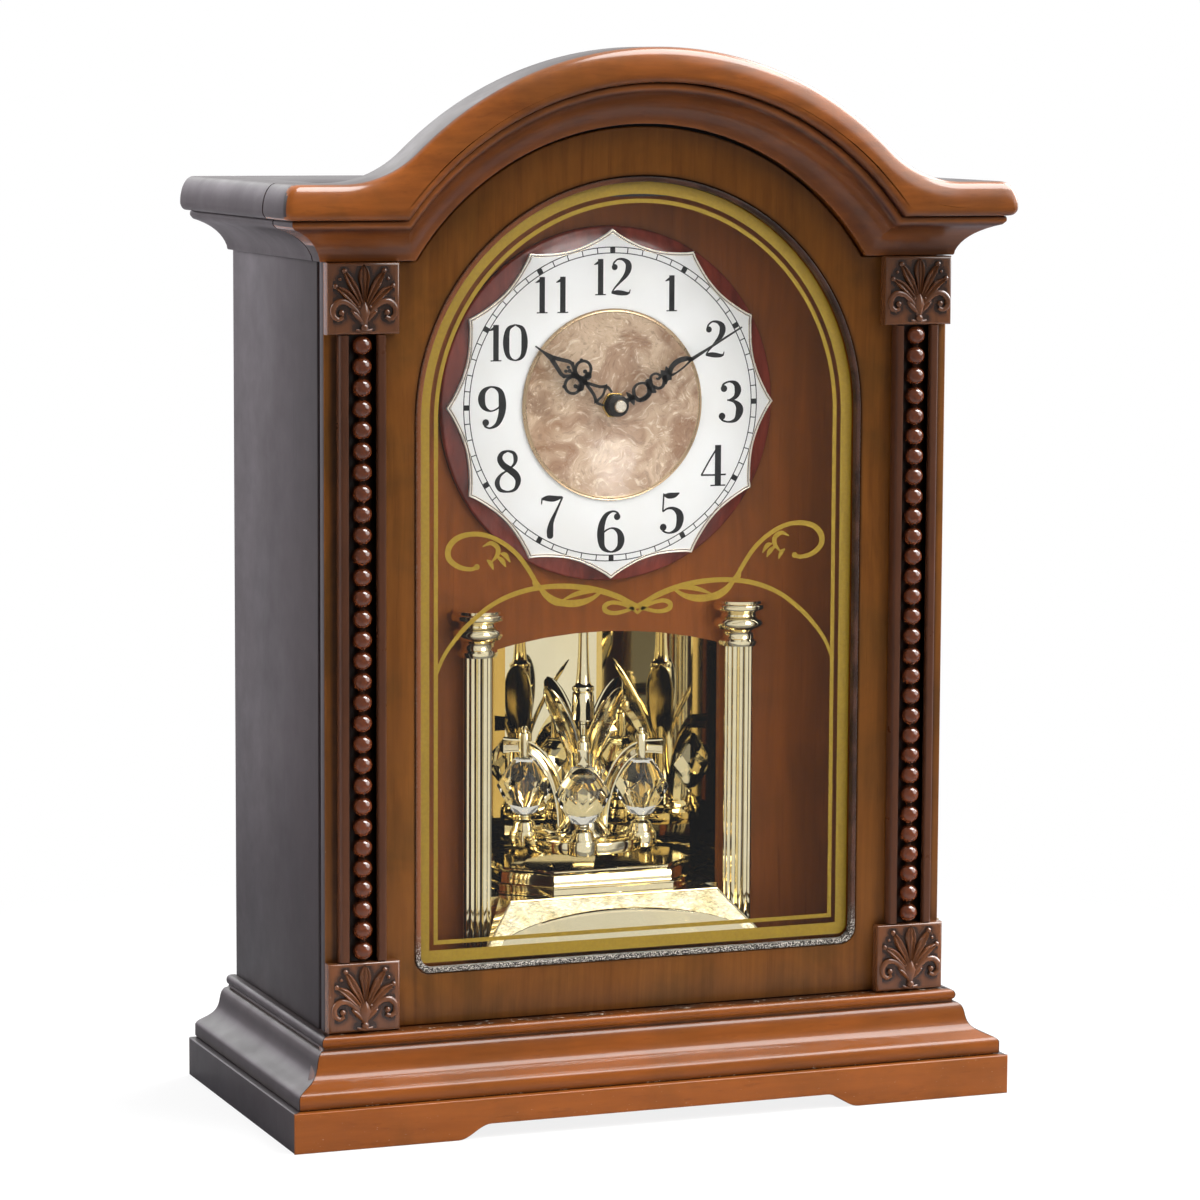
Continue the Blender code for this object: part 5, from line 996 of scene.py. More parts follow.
# Base
def base_profile():
    """(out, height, shade, wear) from the top inner corner down: bead, quirk, ogee and fillet."""
    height = MOULDING_TOP - MOULDING_FOOT
    # The shade is painted shade: dark where the moulding meets the case, in the quirk under the bead, at the top of the
    # ogee and at its foot.
    rows = [(0.0, 1.0, 0.6, 0.8), (0.12, 1.0, 0.25, 0.2)]
    rows += [(0.12 + 0.085 * sin(pi / 8 * k), 0.915 + 0.085 * cos(pi / 8 * k), 0.05, 0.0) for k in range(1, 8)]
    rows += [(0.165, 0.805, 0.9, 0.1), (0.2, 0.795, 0.95, 0.0)]
    ogee = spline([
        (0.24, 0.79), (0.3, 0.74), (0.335, 0.66), (0.36, 0.56), (0.4, 0.47), (0.47, 0.4),
        (0.57, 0.345), (0.68, 0.305), (0.78, 0.27), (0.84, 0.235), (0.865, 0.2),
    ], 3)
    for k, (out, h) in enumerate(ogee):
        share = k / len(ogee)
        rows.append((out, h, 0.45 - 0.45 * 4 * share if share < 0.25 else 0.06, 0.0))
    rows += [(0.865, 0.1, 0.12, 0.0), (0.865, 0.02, 0.35, 0.35), (0.85, 0.0, 0.9, 0.9)]
    return [(BASE_OUT * out, MOULDING_FOOT + height * h, shade, wear) for out, h, shade, wear in rows]


def bracket_outline():
    """The front rail's outline, raised between its two feet."""
    steps = 12
    right = []
    for k in range(steps, -1, -1):
        share = k / steps
        right.append((BRACKET_HALF - BRACKET_RAMP * share, BRACKET_RISE * (1 - cos(pi * share)) / 2))
    right[0] = (BRACKET_HALF - BRACKET_RAMP, BRACKET_RISE)
    right += [(BASE_HALF, 0.0), (BASE_HALF, PLINTH_TOP)]
    return right + [(-u, v) for u, v in reversed(right)]


def rounded_rail(shape, face, rear, place, surface, depth, radius):
    """A rail with a rounded face edge; its rear outline may be shorter, for a mitre."""
    if area(face) < 0:
        face, rear = face[::-1], rear[::-1]
    turn = 1 if depth > 0 else -1
    rows, wears = [], []
    for k in range(5):
        a = pi / 2 * (1 - k / 4)
        loop = offset(face, radius * (1 - cos(a))) if k < 4 else face
        rows.append([place(u, v, surface + turn * radius * (1 - sin(a))) for u, v in loop])
        wears.append(0.25 if k < 3 else 0.0)
    rows.append([place(u, v, surface + depth) for u, v in rear])
    shape.grid(rows, closed=True, ends=True, wears=wears + [0.0])


class CLOCK_OT_base(bpy.types.Operator):
    """Build the bracket plinth and the base mouldings"""

    bl_idname = "clock.base"
    bl_label = "Base"

    def execute(self, context):
        radius = context.scene.clock_sizes.edge_round
        outline = bracket_outline()
        inner = BASE_HALF - RAIL_THICKNESS
        rear = [(u if abs(u) < BASE_HALF else inner * u / BASE_HALF, v) for u, v in outline]
        shape = Shape()
        rounded_rail(shape, outline, rear, along_y, BASE_FRONT, RAIL_THICKNESS, radius)
        piece("front_plinth_rail", shape, ["plinth_wood"], ["plinth_front_rail"])
        for side, word in SIDES:
            shape = Shape()
            face = box_outline(BASE_FRONT + SLACK * sqrt(2), REAR, 0.0, PLINTH_TOP)
            behind = [(y if y == REAR else y + RAIL_THICKNESS, z) for y, z in face]
            rounded_rail(shape, face, behind, along_x, side * BASE_HALF, -side * RAIL_THICKNESS, radius)
            piece(f"{word}_plinth_rail", shape, ["side_wood"], [f"plinth_{word}_rail"])
        self.front_moulding()
        for side, word in SIDES:
            self.side_moulding(side, word)
        return {"FINISHED"}

    def front_moulding(self):
        profile = base_profile()
        front, behind = BASE_FRONT + BASE_OUT, high("base_moulding_front").y
        inner = HALF_WIDTH - SLACK
        corners = [(inner + out, front - out, z) for out, z, shade, wear in profile]
        corners += [(inner, behind, MOULDING_FOOT), (inner, behind, MOULDING_TOP), (inner, front, MOULDING_TOP)]
        rows = [[Vector((-x + 2 * x * k / 24, y, z)) for k in range(25)] for x, y, z in corners]
        # Painted shade along the faces that meet the case.
        shades = [shade for out, z, shade, wear in profile] + [0.9] * 3
        wears = [wear for out, z, shade, wear in profile] + [0.0, 0.0, 0.8]
        shape = Shape()
        rings = shape.grid(rows, shades=shades, wears=wears)
        for column in (0, -1):
            shape.fill([ring[column] for ring in rings[:-1]])
        piece("front_base_moulding", shape, ["plinth_wood"], ["base_moulding_front"])

    def side_moulding(self, side, word):
        profile = base_profile()
        front = BASE_FRONT + BASE_OUT
        inner = HALF_WIDTH + SLACK
        corners = [(side * max(inner, HALF_WIDTH + out), front - out, z) for out, z, shade, wear in profile]
        corners += [(side * inner, front, MOULDING_FOOT), (side * inner, front, MOULDING_TOP)]
        rows = [[Vector((x, y + (REAR - y) * k / 12, z)) for k in range(13)] for x, y, z in corners]
        shape = Shape()
        # Painted shade along the faces that meet the case.
        rings = shape.grid(rows, shades=[shade for out, z, shade, wear in profile] + [0.9] * 2)
        for column in (0, -1):
            shape.fill([ring[column] for ring in rings])
        piece(f"{word}_base_moulding", shape, ["side_wood"], [f"base_moulding_{word}"])


# Carcase
class CLOCK_OT_carcase(bpy.types.Operator):
    """Soften and finish the case's boards, its back and the rear hatch"""

    bl_idname = "clock.carcase"
    bl_label = "Carcase and back"

    def execute(self, context):
        radius = context.scene.clock_sizes.edge_round
        boards = (
            ("left_side_panel", "side_wood", radius), ("right_side_panel", "side_wood", radius),
            ("roof_panel", "side_wood", radius), ("base_board", "back_board", radius),
            ("back_panel", "back_board", radius), ("pediment_backing", "side_wood", 0.0),
        )
        for name, word, soften in boards:
            shape = Shape()
            shape.copy_of(name, soften)
            piece(f"{name}_board", shape, [word], [name])
        dress("board_wood", "dial_board")
        self.hatch()
        self.screws()
        return {"FINISHED"}

    def hatch(self):
        """A moulded cover with a raised panel and five grip ribs."""
        corner_low, corner_high = SPAN["rear_hatch"]
        x, z0, z1 = corner_high.x, corner_low.z, corner_high.z
        z = (z0 + z1) / 2
        outline = filleted(box_outline(-x, x, z0, z1), 0.003)
        shape = Shape()
        shape.plate([outline], along_y, corner_low.y, BACK_OUTER, round_end=0.0008)
        for k in range(5):
            left = x - 0.008 - k * 0.0032
            grip = filleted([(left, -0.015), (left + 0.0018, -0.015), (left + 0.0018, 0.015), (left, 0.015)], 0.0009)
            grip = [(u, v + z) for u, v in grip]
            shape.plate([grip], along_y, BACK_OUTER - SLACK, corner_high.y, round_end=0.0006)
        panel = [(u * 0.93, (v - z) * 0.93 + z) for u, v in outline]
        inner = [(u * 0.9, (v - z) * 0.91 + z) for u, v in outline]
        shape.plate([panel, inner], along_y, BACK_OUTER - SLACK, BACK_OUTER + 0.0004, round_end=0.0003)
        piece("rear_hatch_cover", shape, ["hatch_plastic"], ["rear_hatch"])

    def screws(self):
        """Six cross-headed screws along the back's two sides."""
        inset, head, slot_half, slot_width = 0.006, 0.0026, 0.0016, 0.00025
        foot, top = low("back_panel").z + inset, high("back_panel").z - inset
        dome = [
            (head, BACK_OUTER - SLACK), (head, BACK_OUTER + 0.0004), (0.0021, BACK_OUTER + 0.0009),
            (0.0009, BACK_OUTER + 0.0012),
        ]
        shape = Shape()
        for side in (-1, 1):
            for share in (0.0, 0.5, 1.0):
                centre = Vector((side * (high("back_panel").x - inset), 0, foot + (top - foot) * share))
                shape.turned(dome, centre, along_y, 20)
                for turn in (0.4, 0.4 + pi / 2):
                    slot = [
                        (centre.x + u * cos(turn) - v * sin(turn), centre.z + u * sin(turn) + v * cos(turn))
                        for u, v in box_outline(-slot_half, slot_half, -slot_width, slot_width)
                    ]
                    shape.plate([slot], along_y, BACK_OUTER + 0.0008, BACK_OUTER + 0.00125, finish=1)
        piece("back_screws", shape, ["screw_steel", "dial_ink"], body="case")


# Door
class CLOCK_OT_door(bpy.types.Operator):
    """Build the arched door frame with its bead, and finish the pane"""

    bl_idname = "clock.door"
    bl_label = "Door and glazing"

    def execute(self, context):
        self.frame_piece(context.scene.clock_sizes.edge_round)
        self.bead()
        dress("glass", "glass_pane")
        for hinge in ("upper_door_hinge", "lower_door_hinge"):
            dress("brass", f"{hinge}_case_leaf", f"{hinge}_door_leaf")
        dress("brass", "hatch_hinge_case_leaf", "hatch_hinge_hatch_leaf")
        dress("steel", "door_strike_plate")
        shape = Shape()
        shape.copy_of("door_magnet", 0.0008)
        piece("door_catch_magnet", shape, ["magnet"], ["door_magnet"])
        return {"FINISHED"}

    def frame_piece(self, edge_round):
        top, foot = high("upper_left_rosette").z, low("door_panel").z
        radius = high("door_panel").z - DIAL_Z
        right = [(HALF_WIDTH, foot), (HALF_WIDTH, top)]
        right += arc(0, DIAL_Z, radius, asin((top - DIAL_Z) / radius), pi / 2, 72)
        loops = [mirrored(right), opening_outline(0)]
        shape = Shape()
        shape.plate(loops, along_y, DOOR_FACE, DOOR_REAR, round_start=edge_round, round_end=SLACK, wear=0.3)
        darken_ends(shape, HALF_WIDTH - SLACK * 2)
        piece("door_frame", shape, ["door_wood", "side_wood"], ["door_panel"])

    def bead(self):
        width, proud, steps = 0.0021, 0.0006, 8
        rows = []
        for k in range(steps + 1):
            a = pi * k / steps
            rows.append((SLACK + width / 2 * (1 - cos(a)), DOOR_FACE - proud * sin(a) ** 0.7))
        rows += [(SLACK + width, GLASS_FRONT - SLACK / 2), (SLACK, GLASS_FRONT - SLACK / 2), rows[0]]
        loops = [[along_y(u, v, y) for u, v in opening_outline(inset)] for inset, y in rows]
        shape = Shape()
        # Painted shade darkens the bead's outer groove beside the frame.
        shape.grid(loops, closed=True, shades=[max(0.0, 1 - k / 3) for k in range(steps + 1)] + [0.0, 0.0, 1.0])
        piece("glazing_bead", shape, ["bead_black"], ["glass_bead"])


# Strokes of the gold scrolls on the glass: (across, up, width) in millimetres, and steps between two points
SCROLLS = (
    ((
        (69.5, 226.3, 1.0), (72.6, 225.7, 1.1), (77.4, 226.9, 1.3), (81.3, 230.2, 1.5), (81.4, 234.6, 1.6),
        (77.9, 238.3, 1.5), (71.7, 239.8, 1.3), (64.6, 238.8, 1.2), (57.8, 235.4, 1.2), (52.0, 230.6, 1.2),
        (47.4, 224.6, 1.2), (43.8, 218.9, 1.2), (39.6, 214.2, 1.3), (33.6, 210.9, 1.7), (27.0, 210.2, 1.9),
        (20.6, 211.6, 1.3), (14.6, 215.3, 0.5),
    ), 8),
    (((43.6, 219.0, 0.5), (40.6, 214.0, 0.9), (36.2, 210.6, 0.9), (30.5, 209.2, 0.4)), 8),
    ((
        (86.6, 184.0, 0.9), (84.0, 190.0, 1.0), (80.2, 195.6, 1.1), (73.4, 203.0, 1.2), (63.0, 210.9, 1.2),
        (52.0, 215.4, 1.3), (40.6, 217.3, 1.3), (29.6, 217.2, 1.4), (19.2, 215.6, 1.5), (9.6, 212.6, 1.5),
        (2.2, 209.0, 1.3), (-4.0, 206.6, 1.0), (-9.6, 205.5, 1.1), (-13.8, 206.5, 1.3), (-14.2, 208.7, 1.3),
        (-11.0, 209.9, 1.1), (-6.2, 209.0, 1.0), (-2.4, 207.2, 0.9), (0.0, 205.2, 0.7),
    ), 8),
    (((42.8, 217.0, 1.1), (44.6, 219.0, 1.4), (44.9, 222.4, 0.3)), 6),
    (((16.0, 214.8, 0.4), (21.5, 214.9, 1.2), (27.0, 213.9, 1.2), (33.0, 211.6, 0.3)), 6),
    (((67.0, 234.6, 0.3), (63.5, 235.9, 1.1), (60.7, 234.1, 1.3), (60.7, 231.2, 1.2), (63.2, 228.2, 0.3)), 6),
    (((65.2, 229.2, 0.3), (63.6, 227.8, 1.2), (62.4, 225.2, 0.3)), 6),
    (((61.0, 230.6, 0.4), (58.6, 228.6, 1.3), (57.1, 226.1, 0.3)), 6),
    (((59.4, 231.6, 0.4), (57.2, 230.8, 1.3), (55.2, 227.9, 0.3)), 6),
)


class CLOCK_OT_gold_print(bpy.types.Operator):
    """Print the gold bands and scrolls on the back of the glass"""

    bl_idname = "clock.gold_print"
    bl_label = "Gold print"

    def execute(self, context):
        start, end = GLASS_REAR + 0.00002, GLASS_REAR + 0.0001
        shape = Shape()
        shape.plate([band_outline(0.0945, 0.0666, 0.004), band_outline(0.0896, 0.0715, 0.0)], along_y, start, end)
        line = band_outline(0.0877, 0.0738, 0.0)
        shape.plate([line, offset(line, 0.0017)], along_y, start, end)
        shift = 0.0
        for side in (-1, 1):
            shape.plate([circle(0.0012, 20, side * 0.0695, 0.2265)], along_y, start, end)
            for points, steps in SCROLLS:
                shift += 0.000012
                curve = spline([(side * x / 1000, z / 1000, w / 650) for x, z, w in points], steps)
                shape.ribbon(curve, along_y, start + shift, end + shift)
        tip = [(-0.0016, 0.2075, 0.0003), (0.0, 0.2052, 0.0012), (0.0016, 0.2075, 0.0003)]
        shape.ribbon(tip, along_y, start, end)
        piece("gold_print_on_glass", shape, ["gold_print"], body="door")
        return {"FINISHED"}


class CLOCK_OT_pilasters(bpy.types.Operator):
    """Build the two pilasters with their strings of turned pearls"""

    bl_idname = "clock.pilasters"
    bl_label = "Pilasters"

    def execute(self, context):
        sizes = context.scene.clock_sizes
        for _, word in SIDES:
            name = f"{word}_pilaster"
            shape = Shape()
            self.strips(shape, name)
            self.pearls(shape, name, sizes.pearl_count, sizes.pearl_radius)
            piece(f"{word}_pearled_pilaster", shape, ["pearl_wood", "strip_wood", "channel_wood"], [name])
        return {"FINISHED"}

    def strips(self, shape, name):
        """Two raised strips with a sunk channel between them; (across, proud of the door) is their section."""
        foot, top = low(name).z, high(name).z
        x, half = middle(name).x, (high(name).x - low(name).x) / 2
        channel, floor, proud = half - 0.0042, 0.0012, 0.0048
        for side in (-1, 1):
            section = [
                (side * channel, SLACK), (side * half, SLACK), (side * half, 0.0022),
                (side * (half - 0.0008), proud), (side * (channel + 0.0004), proud), (side * channel, 0.004),
            ]
            loop = filleted([(x + u, DOOR_FACE - v) for u, v in section], 0.0009)
            shape.plate([loop], along_z, foot, top, finish=1)
        # The channel's bed; its near-black finish is partly painted shade behind the pearls.
        bed = box_outline(x - channel, x + channel, DOOR_FACE - SLACK, DOOR_FACE - floor)
        shape.plate([bed], along_z, foot, top, finish=2)

    def pearls(self, shape, name, count, radius):
        """A string of flattened pearls with a small ring between each two."""
        foot, top = low(name).z, high(name).z
        pitch = (top - foot) / count
        half_height, neck, steps = 0.0038, 0.0012, 14
        # The shades are painted shade: dark at each neck between two pearls and round the small rings.
        profile, shades = [(0.0, foot + SLACK)], [1.0]
        for pearl in range(count):
            level = foot + pitch * (pearl + 0.5)
            if pearl:
                gap = level - pitch / 2
                profile += [(0.0014, gap - 0.0003), (0.0021, gap), (0.0014, gap + 0.0003)]
                shades += [1.0, 0.8, 1.0]
            for k in range(steps + 1):
                a = pi * (k / steps - 0.5)
                profile.append((max(neck, radius * cos(a) ** 0.94), level + half_height * sin(a)))
                shades.append(0.95 * abs(2 * k / steps - 1) ** 3)
        centre = Vector((middle(name).x, low(name).y + radius, 0))
        profile.append((0.0, top - SLACK))
        shape.turned(profile, centre, along_z, 28, shades=shades + [1.0], limit=DOOR_FACE - SLACK)


# Carved blocks
def carved_leaf(shape, points, ridges, centre, face, grooving=1.0):
    """A carved leaf along (u, v, half width, height) points, in millimetres from the block's centre."""
    rows, shades = [], []
    curve = spline(points, 5)
    tallest = max(p[3] for p in curve)
    for i, (u, v, half, tall) in enumerate(curve):
        before, after = curve[max(0, i - 1)], curve[min(len(curve) - 1, i + 1)]
        along = Vector((after[0] - before[0], after[1] - before[1])).normalized()
        row, depths = [], []
        for k in range(17):
            s = k / 8 - 1
            grooved = 1 - 0.25 * grooving * (1 + cos(pi * ridges * (s + 1)))
            rise = max(0.0, tall) * (1 - abs(s) ** 7) * grooved
            x = centre[0] + (u - along.y * half * s) / 1000
            z = centre[1] + (v + along.x * half * s) / 1000
            row.append(Vector((x, face - rise / 1000, z)))
            # Painted shade: the low parts of the leaf darker, its crest lighter.
            depths.append(max(0.0, min(1.0, 1.0 - 1.5 * rise / tallest)))
        rows.append(row)
        shades.append(depths)
    shape.grid(rows, shades=shades)


def knob(shape, u, v, radius, centre, face, rise=0.75):
    """A carved ball; u, v and the radius are in millimetres from the block's centre."""
    radius /= 1000
    profile = []
    for k in range(7):
        a = pi / 2 * k / 6
        profile.append((radius * sin(a), face - radius * (0.4 + rise * cos(a))))
    spot = Vector((centre[0] + u / 1000, 0, centre[1] + v / 1000))
    profile.append((radius, face + SLACK))
    # Painted shade at the foot of the ball.
    shape.turned(profile, spot, along_y, 18, shades=[0.0] * 4 + [0.3, 0.6, 0.8, 1.0])


# Millimetres from the block's centre: each leaf is ((across, up, half width, share of the height), ...), ridges
LEAVES = (
    ((
        (0.0, -2.5, 0.8, 0.7), (0.0, 1.5, 1.3, 0.9), (0.0, 5.0, 2.0, 1.0), (0.0, 8.4, 2.7, 1.0),
        (0.0, 11.4, 1.9, 0.8), (0.0, 13.3, 0.2, 0.3),
    ), 3),
    ((
        (0.9, -2.6, 0.9, 0.7), (2.9, 1.8, 1.6, 0.95), (4.9, 5.4, 2.0, 1.0), (6.5, 8.2, 1.6, 1.0),
        (7.8, 10.2, 0.8, 0.9),
    ), 2),
    ((
        (1.4, -4.4, 0.9, 0.7), (4.4, -1.0, 1.6, 0.95), (7.6, 2.2, 1.9, 1.0), (10.0, 3.8, 1.3, 0.9),
        (11.3, 4.5, 0.7, 0.8),
    ), 2),
    (((0.6, -9.4, 0.7, 0.6), (2.6, -7.0, 1.3, 0.9), (4.6, -5.2, 0.9, 0.8), (5.8, -4.6, 0.2, 0.3)), 1),
    ((
        (0.0, -10.6, 1.2, 0.7), (0.0, -8.6, 2.1, 0.95), (0.0, -6.2, 3.0, 1.1), (0.0, -3.6, 2.4, 1.0),
        (0.0, -1.2, 1.0, 0.6),
    ), 1),
)
# (across, up, radius, rise)
KNOBS = (
    (8.2, 10.9, 1.15, 1.1), (11.9, 4.9, 1.1, 1.0), (9.9, 7.7, 0.75, 0.8), (9.4, -5.4, 1.3, 1.0),
    (2.4, -3.2, 0.8, 1.7), (4.9, -4.4, 0.6, 1.3),
)
# (across, up, radius)
VOLUTE = (
    (2.0, -6.2, 0.8), (4.4, -3.4, 1.1), (7.2, -1.4, 1.25), (10.4, -1.2, 1.3), (12.7, -3.4, 1.25),
    (12.7, -6.4, 1.15), (10.8, -8.0, 1.0), (8.8, -7.2, 0.85),
)


class CLOCK_OT_rosettes(bpy.types.Operator):
    """Carve the four corner blocks with palmettes"""

    bl_idname = "clock.rosettes"
    bl_label = "Carved blocks"

    def execute(self, context):
        tall = context.scene.clock_sizes.carving_rise * 1000
        for word in ("upper_left", "upper_right", "lower_left", "lower_right"):
            name = f"{word}_rosette"
            a, b = SPAN[name]
            shape = Shape()
            face = a.y + SLACK / 2
            shape.plate([box_outline(a.x, b.x, a.z, b.z)], along_y, face, b.y, round_start=0.0011, wear=0.35)
            centre = (middle(name).x, middle(name).z)
            self.ground(shape, centre, a.y + SLACK / 3)
            self.palmette(shape, centre, face, tall, 1.0 if word.startswith("upper") else 0.8)
            piece(f"{word}_carved_block", shape, ["carved_wood"], [name])
        return {"FINISHED"}

    def ground(self, shape, centre, face):
        """The block's face, with painted shade laid round the carving as wiped dark glazing."""
        right = [tuple(p)[:3] for points, _ in LEAVES for p in spline(points, 4)]
        right += [tuple(p) for p in spline(VOLUTE, 4)] + [(u, v, radius) for u, v, radius, _ in KNOBS]
        marks = right + [(-u, v, radius) for u, v, radius in right]
        marks += [(u, -12.4 + abs(u) * 0.25, 0.9) for u in (-3, -1.5, 0, 1.5, 3)]
        half, count = 12.8, 52
        steps = [half * (2 * k / count - 1) for k in range(count + 1)]
        rows, shades = [], []
        for v in steps:
            depths = []
            for u in steps:
                near = min(sqrt((u - a) ** 2 + (v - b) ** 2) - r for a, b, r in marks)
                depths.append(0.95 * max(0.0, min(1.0, 1.25 - near / 1.9)))
            rows.append([Vector((centre[0] + u / 1000, face, centre[1] + v / 1000)) for u in steps])
            shades.append(depths)
        shape.grid(rows, shades=shades)

    def palmette(self, shape, centre, face, tall, grooving):
        for points, ridges in LEAVES:
            for side in ((-1, 1) if points[0][0] else (1,)):
                run = [(side * u, v, half, tall * share) for u, v, half, share in points]
                carved_leaf(shape, run, ridges, centre, face, grooving)
        for side in (-1, 1):
            for u, v, radius, rise in KNOBS:
                knob(shape, side * u, v, radius, centre, face, rise)
            self.rod(shape, centre, face - 0.0005, [(side * p.x, p.y, p.z) for p in spline(VOLUTE, 5)], 12)
        foot = zip((-3.4, -2.2, -1.1, 0, 1.1, 2.2, 3.4), (0.4, 0.7, 0.8, 0.8, 0.8, 0.7, 0.4))
        self.rod(shape, centre, face - 0.0003, [(u, -12.9 + 0.07 * u * u, radius) for u, radius in foot], 10)
        knob(shape, 0, -11.3, 1.6, centre, face, 0.9)

    def rod(self, shape, centre, y, points, sides):
        """A round rod along (across, up, radius) points, in millimetres from the block's centre."""
        path = [Vector((centre[0] + u / 1000, y, centre[1] + v / 1000)) for u, v, radius in points]
        shape.tube(path, [radius / 1000 for u, v, radius in points], Vector((0, 1, 0)), sides)


# Dial
def star_outline(radius):
    """Twelve points at the hours, with hollow sides between them."""
    depth, side_steps = 0.0062, 16
    points = []
    for k in range(12 * side_steps):
        a = 2 * pi * k / (12 * side_steps)
        reach = radius - depth * sin(pi * (k % side_steps) / side_steps) ** 0.8
        points.append((reach * sin(a), DIAL_Z + reach * cos(a)))
    return points


def round_the_dial(profile, steps, last=0):
    """Rows of a turned skin about the hands' axis: profile is (radius, y)."""
    rows = []
    for k in range(steps + 1 - last):
        a = 2 * pi * k / steps
        rows.append([Vector((r * cos(a), y, DIAL_Z + r * sin(a))) for r, y in profile])
    return rows


# Each numeral is strokes of (across, up, width) points, in shares of its height
GLYPHS = {
    "0": (
        (
            (0.0, 0.985, 0.03), (-0.16, 0.86, 0.09), (-0.205, 0.5, 0.135), (-0.16, 0.14, 0.09), (0.0, 0.015, 0.03),
            (0.16, 0.14, 0.09), (0.205, 0.5, 0.135), (0.16, 0.86, 0.09), (0.0, 0.985, 0.03),
        ),
    ),
    "1": (
        ((0.0, 0.0, 0.115), (0.0, 0.5, 0.115), (0.0, 0.985, 0.115)),
        ((-0.15, 0.83, 0.015), (-0.08, 0.87, 0.05), (0.03, 0.95, 0.07)),
        ((-0.12, 0.012, 0.024), (0.12, 0.012, 0.024)),
    ),
    "2": (
        (
            (-0.16, 0.76, 0.04), (-0.15, 0.87, 0.035), (-0.06, 0.97, 0.035), (0.06, 0.965, 0.06),
            (0.165, 0.87, 0.115), (0.185, 0.73, 0.13), (0.13, 0.55, 0.1), (0.0, 0.36, 0.055),
            (-0.12, 0.2, 0.035), (-0.19, 0.07, 0.03),
        ),
        ((-0.2, 0.055, 0.03), (-0.1, 0.065, 0.09), (0.02, 0.05, 0.1), (0.14, 0.035, 0.07), (0.2, 0.05, 0.04)),
        ((0.2, 0.03, 0.03), (0.225, 0.14, 0.02)),
    ),
    "3": (
        (
            (-0.15, 0.84, 0.04), (-0.12, 0.93, 0.035), (0.0, 0.985, 0.035), (0.12, 0.93, 0.09),
            (0.165, 0.78, 0.125), (0.12, 0.62, 0.08), (0.0, 0.545, 0.03), (-0.05, 0.54, 0.03),
        ),
        (
            (-0.03, 0.545, 0.03), (0.1, 0.5, 0.06), (0.19, 0.38, 0.125), (0.195, 0.24, 0.135),
            (0.13, 0.07, 0.08), (0.0, 0.015, 0.035), (-0.13, 0.05, 0.035), (-0.19, 0.14, 0.04),
        ),
    ),
    "4": (
        ((0.09, 0.0, 0.115), (0.09, 0.5, 0.115), (0.09, 0.985, 0.115)),
        ((0.1, 0.97, 0.03), (-0.08, 0.62, 0.03), (-0.24, 0.27, 0.03)),
        ((-0.25, 0.27, 0.03), (0.0, 0.265, 0.03), (0.25, 0.27, 0.03)),
        ((-0.06, 0.012, 0.024), (0.24, 0.012, 0.024)),
    ),
    "5": (
        ((-0.13, 0.97, 0.03), (-0.14, 0.75, 0.03), (-0.15, 0.53, 0.03)),
        ((-0.14, 0.93, 0.02), (-0.04, 0.91, 0.1), (0.08, 0.92, 0.09), (0.18, 0.97, 0.02)),
        (
            (-0.15, 0.53, 0.03), (-0.06, 0.6, 0.035), (0.06, 0.6, 0.06), (0.17, 0.49, 0.12),
            (0.195, 0.32, 0.135), (0.14, 0.11, 0.09), (0.0, 0.015, 0.035), (-0.12, 0.05, 0.035),
            (-0.18, 0.14, 0.04),
        ),
    ),
    "6": (
        (
            (0.15, 0.86, 0.04), (0.12, 0.95, 0.035), (0.02, 0.985, 0.035), (-0.11, 0.89, 0.08),
            (-0.19, 0.66, 0.12), (-0.205, 0.38, 0.135), (-0.16, 0.12, 0.09), (0.0, 0.015, 0.03),
            (0.15, 0.11, 0.09), (0.195, 0.3, 0.13), (0.15, 0.49, 0.09), (0.02, 0.585, 0.03),
            (-0.12, 0.52, 0.03), (-0.18, 0.4, 0.02),
        ),
    ),
    "7": (
        ((-0.2, 0.8, 0.02), (-0.19, 0.93, 0.03)),
        ((-0.2, 0.93, 0.03), (-0.08, 0.94, 0.1), (0.05, 0.93, 0.1), (0.21, 0.96, 0.03)),
        ((0.21, 0.96, 0.03), (0.1, 0.66, 0.045), (0.0, 0.38, 0.08), (-0.03, 0.18, 0.12), (-0.03, 0.05, 0.11)),
    ),
    "8": (
        (
            (0.0, 0.985, 0.035), (-0.11, 0.93, 0.07), (-0.155, 0.8, 0.1), (-0.09, 0.65, 0.11),
            (0.04, 0.53, 0.12), (0.16, 0.4, 0.12), (0.2, 0.25, 0.1), (0.14, 0.07, 0.06),
            (0.0, 0.015, 0.035), (-0.15, 0.07, 0.07), (-0.205, 0.24, 0.09), (-0.14, 0.41, 0.05),
            (0.0, 0.53, 0.03), (0.12, 0.66, 0.05), (0.15, 0.8, 0.08), (0.11, 0.93, 0.06), (0.0, 0.985, 0.035),
        ),
    ),
}
# Round ends of the strokes: (across, up, radius)
DOTS = {
    "2": ((-0.13, 0.76, 0.062),), "3": ((-0.115, 0.82, 0.06), (-0.15, 0.155, 0.062)),
    "5": ((-0.14, 0.155, 0.062),), "6": ((0.115, 0.855, 0.06),), "7": ((-0.03, 0.055, 0.06),),
}
# Where each digit of a two-digit numeral stands, in shares of its height
SPREADS = {"10": (-0.35, 0.21), "11": (-0.3, 0.3), "12": (-0.35, 0.23)}


